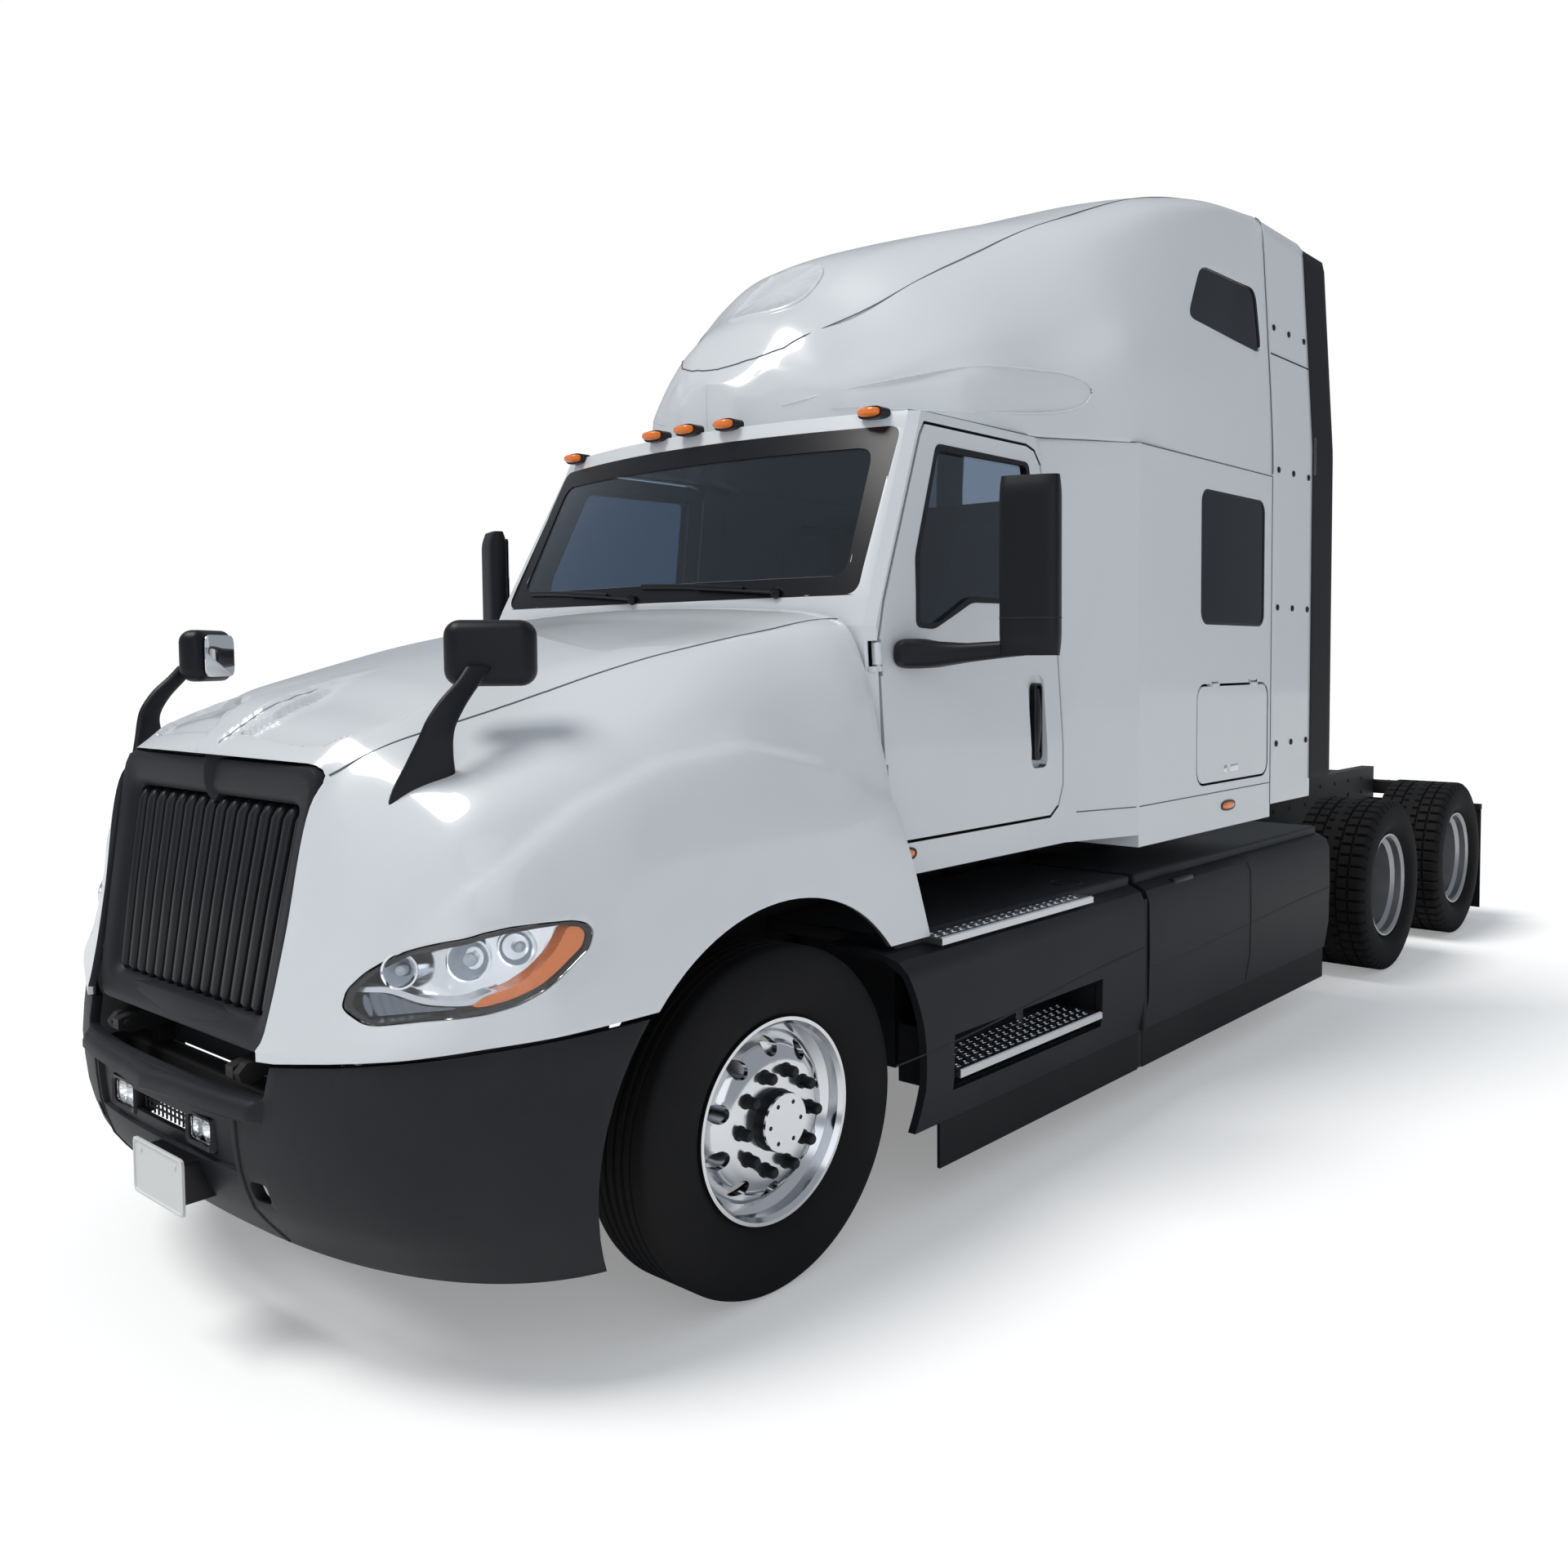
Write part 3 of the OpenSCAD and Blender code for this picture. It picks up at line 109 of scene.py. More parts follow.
def lattice(nu: int, nv: int, wrap_u: bool = False, wrap_v: bool = False) -> Array:
    """Corner numbers of a grid's quads.

    Args:
        nu: Points along u.
        nv: Points along v.
        wrap_u: True where u closes on itself.
        wrap_v: True where v closes on itself.

    Returns:
        Four corner numbers for each quad.
    """
    u = np.arange(nu if wrap_u else nu - 1)
    v = np.arange(nv if wrap_v else nv - 1)
    a, b = np.meshgrid(u, v, indexing="ij")
    a2, b2 = (a + 1) % nu, (b + 1) % nv
    return np.stack([a * nv + b, a2 * nv + b, a2 * nv + b2, a * nv + b2], -1).reshape(-1, 4)


def grid_surface(grid: Array, wrap_u: bool = False, wrap_v: bool = False, caps: bool = False) -> Surface:
    """A grid of points P(u, v) joined into quads.

    Args:
        grid: The points, u by v by 3.
        wrap_u: True where u closes on itself.
        wrap_v: True where v closes on itself.
        caps: True to close the first and the last row with a face.

    Returns:
        The surface.
    """
    nu, nv, _ = grid.shape
    faces = [tuple(q) for q in lattice(nu, nv, wrap_u, wrap_v).tolist()]
    if caps:
        faces.append(tuple(range(nv)))
        faces.append(tuple(range((nu - 1) * nv, nu * nv))[::-1])
    return Surface(grid.reshape(-1, 3), faces)


def outward(grid: Array) -> Array:
    """Unit normals n = dP/du x dP/dv of a grid, turned to point away from its middle.

    Args:
        grid: The points, u by v by 3.

    Returns:
        A normal for each point.
    """
    n = np.cross(np.gradient(grid, axis=0), np.gradient(grid, axis=1))
    n /= np.maximum(np.linalg.norm(n, axis=-1, keepdims=True), 1e-9)
    away = (n * (grid - grid.mean((0, 1)))).sum()
    return n if away > 0 else -n


def panel(grid: Array, thickness: float, raise_by: float = 0.0) -> Surface:
    """Closed sheet: outside P + raise n, inside P - (thickness - raise) n, and a strip round the edge.

    Args:
        grid: The points P, u by v by 3.
        thickness: The sheet's thickness.
        raise_by: How far its outside stands off the points.

    Returns:
        The sheet, the points of its outside first.
    """
    nu, nv, _ = grid.shape
    n = outward(grid)
    outer, inner = grid + n * raise_by, grid + n * (raise_by - thickness)
    quads = lattice(nu, nv)
    offset = nu * nv
    rim = np.concatenate([
        np.arange(nv), np.arange(1, nu) * nv + nv - 1,
        (nu - 1) * nv + np.arange(nv - 2, -1, -1), np.arange(nu - 2, 0, -1) * nv])
    after = np.roll(rim, -1)
    strip = np.stack([rim, after, after + offset, rim + offset], -1)
    faces = np.concatenate([quads, quads[:, ::-1] + offset, strip])
    return Surface(np.concatenate([outer.reshape(-1, 3), inner.reshape(-1, 3)]),
                   [tuple(f) for f in faces.tolist()])


def curtain(x: Array, line: Array) -> Array:
    """P(u, v) of a (Y, Z) line carried along X.

    Args:
        x: The stations along X.
        line: The line's points in Y and Z.

    Returns:
        The points, a row of the line at each station.
    """
    shape = (len(x), len(line))
    return np.stack([np.broadcast_to(x[:, None], shape), np.broadcast_to(line[:, 0], shape),
                     np.broadcast_to(line[:, 1], shape)], -1)


def ease(t: Array) -> Array:
    """The smooth step 3t^2 - 2t^3, held at 0 below it and at 1 above it."""
    t = np.clip(t, 0, 1)
    return t ** 2 * (3 - 2 * t)


def through(knots: Array, values: Array, at: Array) -> Array:
    """Monotone cubic through values.

    Each slope is the weighted harmonic mean of its two neighbours' slopes, or nothing at a turning point.

    Args:
        knots: Where the values stand, n of them.
        values: The values, n by m.
        at: The k places to read.

    Returns:
        The curve's values there, k by m.
    """
    h = np.diff(knots)[:, None]
    d = np.diff(values, axis=0) / h
    slope = np.zeros_like(values)
    w1, w2 = 2 * h[1:] + h[:-1], h[1:] + 2 * h[:-1]
    same = d[1:] * d[:-1] > 0
    safe = np.where(same, w1 / np.where(same, d[:-1], 1) + w2 / np.where(same, d[1:], 1), 1)
    slope[1:-1] = np.where(same, (w1 + w2) / safe, 0)
    slope[0], slope[-1] = d[0], d[-1]
    k = np.clip(np.searchsorted(knots, at, side="right") - 1, 0, len(knots) - 2)
    hk = h[k]
    s = ((at - knots[k]) / hk[:, 0])[:, None]
    return ((1 + 2 * s) * (1 - s) ** 2 * values[k] + s * (1 - s) ** 2 * hk * slope[k]
            + s * s * (3 - 2 * s) * values[k + 1] + s * s * (s - 1) * hk * slope[k + 1])


def stops(knots: Array, each: int | tuple) -> Array:
    """Every knot, with even steps between it and the next.

    Args:
        knots: The knots.
        each: Steps in every gap, or a count for each gap.

    Returns:
        The knots with the steps between them.
    """
    counts = np.broadcast_to(each, (len(knots) - 1,))
    steps = [np.linspace(a, b, n, endpoint=False) for a, b, n in zip(knots[:-1], knots[1:], counts)]
    return np.concatenate(steps + [knots[-1:]])


def loft(rows: list, across: int | tuple, lengthwise: int | tuple) -> Array:
    """Skin through cross sections that are the same on both sides of the centreline.

    Args:
        rows: (x, [(y, z), ...]) for each section, its points from the crown down the +Y side.
        across: Steps between two points of a section, one count or one for each gap from the crown down.
        lengthwise: Steps between two sections, one count or one for each gap.

    Returns:
        P(u, v) with u along the rows and v from the foot on +Y over the crown to the foot on -Y.
    """
    half = np.array([row[1] for row in rows], float)
    full = np.concatenate([half[:, ::-1], half[:, 1:] * [-1, 1]], axis=1)
    x = np.array([row[0] for row in rows], float)
    count = full.shape[1]
    gaps = np.linalg.norm(np.diff(full, axis=1), axis=-1).mean(0)
    knots = np.concatenate([[0], np.cumsum(gaps)])
    if np.ndim(across):
        across = [*across[::-1], *across]
    section = through(knots, full.transpose(1, 0, 2).reshape(count, -1), stops(knots, across))
    section = section.reshape(len(section), len(rows), 2).transpose(1, 0, 2)
    xs = np.broadcast_to(x[:, None, None], section.shape[:2] + (1,))
    solid = np.concatenate([xs, section], -1)
    steps = np.linalg.norm(np.diff(solid, axis=0), axis=-1).mean(1)
    along = np.concatenate([[0], np.cumsum(steps)])
    skin = through(along, solid.reshape(len(rows), -1), stops(along, lengthwise))
    return skin.reshape(len(skin), -1, 3)


def rounded(outline: list, radius: float, steps: int = 6) -> Array:
    """Closed outline with each corner p replaced by the curve (1-t)^2 a + 2t(1-t) p + t^2 b.

    Args:
        outline: The corners, in order.
        radius: How far from its corner each curve starts and ends.
        steps: Points on each curve.

    Returns:
        The outline's points.
    """
    p = np.asarray(outline, float)
    back, on = np.roll(p, 1, 0) - p, np.roll(p, -1, 0) - p
    lb = np.linalg.norm(back, axis=1, keepdims=True)
    lo = np.linalg.norm(on, axis=1, keepdims=True)
    a = p + back / lb * np.minimum(radius, 0.45 * lb)
    b = p + on / lo * np.minimum(radius, 0.45 * lo)
    t = np.linspace(0, 1, steps)[None, :, None]
    curve = (1 - t) ** 2 * a[:, None] + 2 * t * (1 - t) * p[:, None] + t * t * b[:, None]
    return curve.reshape(-1, 2)


def oblong(half_w: float, half_h: float, radius: float) -> Array:
    """A rectangle about the origin with rounded corners."""
    return rounded([(-half_w, -half_h), (half_w, -half_h), (half_w, half_h), (-half_w, half_h)], radius)


def grown(outline: list, by: float) -> Array:
    """An outline with every corner moved away from its middle.

    Args:
        outline: The corners.
        by: How far each moves, less than 0 towards the middle.

    Returns:
        The new corners.
    """
    points = np.asarray(outline, float)
    reach = points - points.mean(0)
    return points + reach / np.linalg.norm(reach, axis=1, keepdims=True) * by


def spaced(path: Array, count: int, closed: bool = True) -> Array:
    """The same line with its points at even distances along it.

    Args:
        path: The line's points.
        count: How many points it gets.
        closed: True where the last point joins the first.

    Returns:
        The new points.
    """
    line = np.concatenate([path, path[:1]]) if closed else path
    far = np.concatenate([[0], np.cumsum(np.linalg.norm(np.diff(line, axis=0), axis=1))])
    at = np.linspace(0, far[-1], count, endpoint=not closed)
    return np.stack([np.interp(at, far, line[:, i]) for i in range(line.shape[1])], -1)


def laid_on(grid: Array, path: Array, count: int, spread: int) -> Array:
    """A line on a skin: each point is the mean of the skin's four nearest, weighted by 1 / (distance + 1).

    Args:
        grid: The skin's points.
        path: Points roughly on the skin.
        count: How many points the line gets.
        spread: How many neighbours each point is averaged over, an odd number.

    Returns:
        The line's points.
    """
    flat = grid.reshape(-1, 3)
    found = []
    for point in spaced(np.asarray(path, float), count, closed=False):
        near = flat[np.argsort(((flat - point) ** 2).sum(1))[:4]]
        weight = 1 / (np.linalg.norm(near - point, axis=1) + 1)
        found.append((near * weight[:, None]).sum(0) / weight.sum())
    line = np.array(found)
    end = spread // 2
    for i in range(3):
        line[end:-end, i] = np.convolve(line[:, i], np.ones(spread) / spread, "valid")
    return line


def prism(outline: Array, axis: str, start: float, end: float) -> Surface:
    """An outline carried along an axis.

    Args:
        outline: Its corners: (Y, Z) along X, (X, Z) along Y or (X, Y) along Z.
        axis: X, Y or Z.
        start: Where it starts on the axis.
        end: Where it ends.

    Returns:
        The closed solid.
    """
    place_of = "XYZ".index(axis)
    flat = np.asarray(outline, float)
    grid = np.stack([np.insert(flat, place_of, w, axis=1) for w in (start, end)])
    return grid_surface(grid, wrap_v=True, caps=True)


def lathe(profile: list, centre: tuple, steps: int = 48, closed: bool = False) -> Surface:
    """A profile turned about the Y line through a centre: (r cos a, w, r sin a).

    Args:
        profile: (radius r, distance w along Y) of its points.
        centre: The centre.
        steps: Steps round the circle.
        closed: True where the profile's last point joins the first.

    Returns:
        The turned surface.
    """
    p = np.asarray(profile, float)
    a = np.linspace(0, 2 * math.pi, steps, endpoint=False)[:, None]
    grid = np.stack([p[:, 0] * np.cos(a), np.broadcast_to(p[:, 1], (steps, len(p))),
                     p[:, 0] * np.sin(a)], -1) + np.asarray(centre, float)
    return grid_surface(grid, wrap_u=True, wrap_v=closed)


def tube(path: Array, radius: float | Array, sides: int = 10, flat: float = 1.0, up: tuple = (0, 0, 1),
         closed: bool = False) -> Surface:
    """A ring carried along a path: P + r (cos a s + flat sin a q), with s across and q square to both.

    Args:
        path: The path's points.
        radius: The ring's radius, one or one for each point.
        sides: Points round the ring.
        flat: How much the ring is flattened, 1 for round.
        up: What s is square to.
        closed: True where the path's last point joins the first.

    Returns:
        The tube.
    """
    p = np.asarray(path, float)
    ahead = np.roll(p, -1, 0) - np.roll(p, 1, 0) if closed else np.gradient(p, axis=0)
    ahead /= np.maximum(np.linalg.norm(ahead, axis=1, keepdims=True), 1e-9)
    side = np.cross(ahead, np.asarray(up, float))
    side /= np.maximum(np.linalg.norm(side, axis=1, keepdims=True), 1e-9)
    rise = np.cross(side, ahead)
    r = np.broadcast_to(np.asarray(radius, float), (len(p),))[:, None, None]
    a = np.linspace(0, 2 * math.pi, sides, endpoint=False)[None, :, None]
    grid = p[:, None] + r * (np.cos(a) * side[:, None] + flat * np.sin(a) * rise[:, None])
    return grid_surface(grid, wrap_u=closed, wrap_v=True, caps=not closed)


def limb(stations: list, sides: int = 20, squareness: float = 0.55) -> Surface:
    """Superellipse sections c + a s(cos t) p + b s(sin t) q joined in a row, s(x) = sign(x) |x|^k.

    Args:
        stations: (centre, half vector p, half vector q) of each section.
        sides: Points round a section.
        squareness: k, from 1 for an ellipse down to 0 for a box.

    Returns:
        The closed limb.
    """
    a = np.linspace(0, 2 * math.pi, sides, endpoint=False)[:, None]
    c = np.sign(np.cos(a)) * np.abs(np.cos(a)) ** squareness
    s = np.sign(np.sin(a)) * np.abs(np.sin(a)) ** squareness
    rings = [np.asarray(m, float) + c * np.asarray(p, float) + s * np.asarray(q, float)
             for m, p, q in stations]
    return grid_surface(np.stack(rings), wrap_v=True, caps=True)


def rounded_box(low: tuple, high: tuple, radius: float, steps: int = 4) -> Surface:
    """Box with rounded edges: c + sign(d) (half - r) + r d for every direction d of a sphere.

    Args:
        low: Its low corner.
        high: Its high corner.
        radius: The edges' radius r.
        steps: Steps in a quarter turn.

    Returns:
        The closed box.
    """
    low, high = np.asarray(low, float), np.asarray(high, float)
    centre, half = (low + high) / 2, np.abs(high - low) / 2
    r = np.minimum(radius, half.min())
    quarter = np.linspace(0, math.pi / 2, steps + 1)
    round_z = np.concatenate([quarter + k * math.pi / 2 for k in range(4)])
    rising = np.concatenate([quarter - math.pi / 2, quarter])
    sx, sy = np.repeat([[1, -1, -1, 1], [1, 1, -1, -1]], steps + 1, axis=1)
    sz = np.repeat([-1, 1], steps + 1)
    e, a = np.meshgrid(rising, round_z, indexing="ij")
    ball = np.stack([np.cos(e) * np.cos(a), np.cos(e) * np.sin(a), np.sin(e)], -1)
    sign = np.stack(np.broadcast_arrays(sx[None, :], sy[None, :], sz[:, None]), -1)
    grid = centre + sign * (half - r) + r * ball
    return grid_surface(grid, wrap_v=True, caps=True)


def bolt(centre: tuple, normal: tuple, radius: float, height: float, sides: int = 6) -> Surface:
    """Bolt head with a chamfered crown.

    Args:
        centre: The middle of its foot.
        normal: The way it stands.
        radius: Its radius over the corners.
        height: How far it stands out.
        sides: Its number of flats.

    Returns:
        The head.
    """
    profile = np.array([[1, 0], [1, 0.7], [0.8, 1], [0, 1]]) * [radius, height]
    surface = lathe([[0, 0], *profile.tolist()], (0, 0, 0), sides)
    turn = np.array(Vector((0, 1, 0)).rotation_difference(Vector(normal)).to_matrix())
    return Surface(surface.points @ turn.T + np.asarray(centre, float), surface.faces)


# ---- Placing ---------------------------------------------------------------------------------

def to_mesh(name: str, surface: Surface, merge: float = 0.02) -> bpy.types.Object:
    """A surface in millimetres as an object in the row frame, doubles merged and normals outwards.

    Args:
        name: The piece's name.
        surface: What it is made of.
        merge: Points closer than this many millimetres become one.

    Returns:
        The linked object.
    """
    points = surface.points * 0.001 + [AXLE_X, 0, 0]
    mesh = bpy.data.meshes.new(name)
    mesh.from_pydata(points.tolist(), [], surface.faces)
    work = bmesh.new()
    work.from_mesh(mesh)
    bmesh.ops.remove_doubles(work, verts=work.verts, dist=merge * 0.001)
    bmesh.ops.dissolve_degenerate(work, edges=work.edges, dist=1e-6)
    bmesh.ops.recalc_face_normals(work, faces=work.faces)
    work.to_mesh(mesh)
    work.free()
    obj = bpy.data.objects.new(name, mesh)
    bpy.context.scene.collection.objects.link(obj)
    return obj


def settle(obj: bpy.types.Object) -> None:
    """Turns an object's modifiers into its mesh.

    Args:
        obj: The object.
    """
    graph = bpy.context.evaluated_depsgraph_get()
    mesh = bpy.data.meshes.new_from_object(obj.evaluated_get(graph))
    obj.modifiers.clear()
    obj.data = mesh


def carve(obj: bpy.types.Object, cutters: list, keep_inside: bool = False) -> None:
    """Cuts solids out of an object, or keeps only what lies inside them.

    Args:
        obj: The object to cut.
        cutters: Closed surfaces, used one after another.
        keep_inside: True to keep what lies inside each cutter.
    """
    for cutter in cutters:
        tool = to_mesh("cutter", cutter)
        cut = obj.modifiers.new("cut", "BOOLEAN")
        cut.object = tool
        cut.operation = "INTERSECT" if keep_inside else "DIFFERENCE"
        cut.solver = "EXACT"
        settle(obj)
        bpy.data.objects.remove(tool)


def smooth(obj: bpy.types.Object, degrees: float) -> None:
    """Shades an object smooth and keeps its sharp edges.

    Args:
        obj: The object.
        degrees: Edges over this angle stay sharp.
    """
    obj.data.polygons.foreach_set("use_smooth", np.ones(len(obj.data.polygons), bool))
    obj.data.set_sharp_from_angle(angle=math.radians(degrees))


def place(name: str, made: Surface | bpy.types.Object, finish: "Finish", body: str,
          replaces: tuple = (), angle: float = 32, bevel: float = 0) -> bpy.types.Object:
    """Dresses a piece and joins it to its body.

    Args:
        name: The piece's name.
        made: A surface, or an object that is already built.
        finish: What it is finished in.
        body: The body it rides on.
        replaces: The frame's nodes that it stands for.
        angle: Edges sharper than this many degrees stay sharp.
        bevel: Width of the bevel on its sharp edges, in millimetres.

    Returns:
        The placed object.
    """
    obj = to_mesh(name, made) if isinstance(made, Surface) else made
    obj.name = name
    if bevel:
        edge = obj.modifiers.new("edge", "BEVEL")
        edge.width, edge.segments = bevel * 0.001, 2
        edge.limit_method, edge.angle_limit = "ANGLE", math.radians(38)
        settle(obj)
    smooth(obj, angle)
    obj.data.materials.clear()
    obj.data.materials.append(finish.material())
    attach(obj, body)
    if replaces:
        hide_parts(*replaces)
    LOG.info("%s: %d faces on %s", name, len(obj.data.polygons), body)
    return obj


def dress(nodes: tuple, finish: "Finish", angle: float = 30) -> None:
    """Finishes carried-over nodes, shading shallow edges smooth.

    Args:
        nodes: The nodes' names.
        finish: What they are finished in.
        angle: Edges sharper than this many degrees stay sharp.
    """
    for name in nodes:
        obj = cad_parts[name]
        obj.data.polygons.foreach_set("use_smooth", np.ones(len(obj.data.polygons), bool))
        weld = obj.modifiers.new("weld", "WELD")
        weld.merge_threshold = 0.00005
        split = obj.modifiers.new("split", "EDGE_SPLIT")
        split.split_angle = math.radians(angle)
        obj.data.materials.clear()
        obj.data.materials.append(finish.material())
        LOG.info("%s dressed in %s", name, finish.name)


# ---- Finishes --------------------------------------------------------------------------------

def group_of(name: str, inputs: dict, outputs: dict) -> tuple:
    """A new shader group with its named sockets.

    Args:
        name: The group's name.
        inputs: Socket name to (type, default).
        outputs: Socket name to type.

    Returns:
        (the group, its input node, its output node).
    """
    group = bpy.data.node_groups.new(name, "ShaderNodeTree")
    for label, (kind, default) in inputs.items():
        socket = group.interface.new_socket(label, in_out="INPUT", socket_type=kind)
        socket.default_value = default
    for label, kind in outputs.items():
        group.interface.new_socket(label, in_out="OUTPUT", socket_type=kind)
    return group, group.nodes.new("NodeGroupInput"), group.nodes.new("NodeGroupOutput")


def node(tree: bpy.types.NodeTree, kind: str, values: dict | None = None,
         **settings: object) -> bpy.types.Node:
    """Adds a node to a shader tree.

    Args:
        tree: The tree.
        kind: The node's type, without the ShaderNode in front.
        values: Socket name or number to its value.
        settings: The node's own properties.

    Returns:
        The node.
    """
    made = tree.nodes.new(f"ShaderNode{kind}")
    for name, value in settings.items():
        setattr(made, name, value)
    for socket, value in (values or {}).items():
        made.inputs[socket].default_value = value
    return made


def wire(tree: bpy.types.NodeTree, *lines: tuple) -> None:
    """Links sockets of a shader tree.

    Args:
        tree: The tree.
        lines: (node, output, node, input) of each link.
    """
    for source, output, target, entry in lines:
        tree.links.new(source.outputs[output], target.inputs[entry])


def weathering_group() -> bpy.types.ShaderNodeTree:
    """Colour and roughness of a surface under road dust: thicker in blotches and near the ground.

    Dust = Amount b h, with b from 0.25 to 1 by the noise and h from 1.25 on the ground to 0.15 at 3.4 m.

    Returns:
        The group, made once.
    """
    name = "road_film"
    if name in bpy.data.node_groups:
        return bpy.data.node_groups[name]
    group, start, end = group_of(
        name,
        {"Base": ("NodeSocketColor", (1, 1, 1, 1)), "Dust": ("NodeSocketColor", (0.3, 0.28, 0.25, 1)),
         "Amount": ("NodeSocketFloat", 0.1), "Rough": ("NodeSocketFloat", 0.5)},
        {"Colour": "NodeSocketColor", "Roughness": "NodeSocketFloat"})
    at = node(group, "TexCoord")
    blotch = node(group, "TexNoise", {"Scale": 1.7, "Detail": 7, "Roughness": 0.62})
    split = node(group, "SeparateXYZ")
    height = node(group, "MapRange", {"From Max": 3.4, "To Min": 1.25, "To Max": 0.15})
    lift = node(group, "MapRange", {"From Min": 0.35, "From Max": 0.7, "To Min": 0.25})
    both = node(group, "Math", operation="MULTIPLY")
    dust = node(group, "Math", operation="MULTIPLY", use_clamp=True)
    mix = node(group, "Mix", data_type="RGBA")
    rough = node(group, "Math", {1: 0.35}, operation="MULTIPLY_ADD", use_clamp=True)
    wire(group, (at, "Object", blotch, "Vector"), (at, "Object", split, 0), (split, "Z", height, "Value"),
         (blotch, "Fac", lift, "Value"), (height, "Result", both, 0), (lift, "Result", both, 1),
         (both, 0, dust, 0), (start, "Amount", dust, 1), (dust, 0, mix, 0), (start, "Base", mix, 6),
         (start, "Dust", mix, 7), (dust, 0, rough, 0), (start, "Rough", rough, 2),
         (mix, 2, end, "Colour"), (rough, 0, end, "Roughness"))
    return group


def lining_group() -> bpy.types.ShaderNodeTree:
    """Colour of a shell that is painted outside and lined dark inside.

    A face is lined where its normal looks back at the room's heart: N . (P - heart) / |P - heart| < -0.2.

    Returns:
        The group, made once.
    """
    name = "room_lining"
    if name in bpy.data.node_groups:
        return bpy.data.node_groups[name]
    group, start, end = group_of(
        name,
        {"Outside": ("NodeSocketColor", (1, 1, 1, 1)),
         "Lining": ("NodeSocketColor", (0.045, 0.047, 0.052, 1)),
         "Heart": ("NodeSocketVector", (0, 0, 0)), "Gloss": ("NodeSocketFloat", 0.5)},
        {"Colour": "NodeSocketColor", "Coat": "NodeSocketFloat"})
    at = node(group, "TexCoord")
    away = node(group, "VectorMath", operation="SUBTRACT")
    unit = node(group, "VectorMath", operation="NORMALIZE")
    facing = node(group, "VectorMath", operation="DOT_PRODUCT")
    lined = node(group, "Math", {1: -0.2}, operation="LESS_THAN")
    bare = node(group, "Math", {0: 1}, operation="SUBTRACT")
    coat = node(group, "Math", operation="MULTIPLY")
    mix = node(group, "Mix", data_type="RGBA")
    wire(group, (at, "Object", away, 0), (start, "Heart", away, 1), (away, 0, unit, 0), (unit, 0, facing, 0),
         (at, "Normal", facing, 1), (facing, "Value", lined, 0), (lined, 0, mix, 0),
         (start, "Outside", mix, 6), (start, "Lining", mix, 7), (lined, 0, bare, 1), (bare, 0, coat, 0),
         (start, "Gloss", coat, 1), (mix, 2, end, "Colour"), (coat, 0, end, "Coat"))
    return group


class Relief(Enum):
    """What the height of a finish's small relief follows."""

    GRAIN = "grain"
    BRUSHED = "brushed"
    WEAVE = "weave"
    DIAMOND = "diamond"
    FLUTES = "flutes"
    SMEARS = "smears"


def relief_group(kind: Relief) -> bpy.types.ShaderNodeTree:
    """Height of a small relief.

    Grain is fine noise, brushed is noise stretched along X, weave is two crossed waves, diamond is a
    turned checker, flutes are upright waves and smears are broad noise.

    Args:
        kind: Which relief.

    Returns:
        The group, made once for each kind.
    """
    name = f"relief_{kind.value}"
    if name in bpy.data.node_groups:
        return bpy.data.node_groups[name]
    group, start, end = group_of(name, {"Scale": ("NodeSocketFloat", 100.0)}, {"Height": "NodeSocketFloat"})
    at, turn = node(group, "TexCoord"), node(group, "Mapping")
    wire(group, (at, "Object", turn, "Vector"))
    if kind is Relief.WEAVE:
        both = node(group, "Math", operation="MULTIPLY")
        for i, axis in enumerate("XZ"):
            wave = node(group, "TexWave", {"Distortion": 0.6}, bands_direction=axis)
            wire(group, (turn, 0, wave, "Vector"), (start, "Scale", wave, "Scale"), (wave, "Fac", both, i))
        wire(group, (both, 0, end, "Height"))
        return group
    if kind is Relief.FLUTES:
        texture = node(group, "TexWave", bands_direction="X")
    elif kind is Relief.DIAMOND:
        texture = node(group, "TexChecker")
        turn.inputs["Rotation"].default_value = (0, 0, math.radians(45))
    else:
        texture = node(group, "TexNoise", {"Detail": 4})
        if kind is Relief.BRUSHED:
            turn.inputs["Scale"].default_value = (0.03, 1, 1)
    wire(group, (turn, 0, texture, "Vector"), (start, "Scale", texture, "Scale"),
         (texture, "Fac", end, "Height"))
    return group


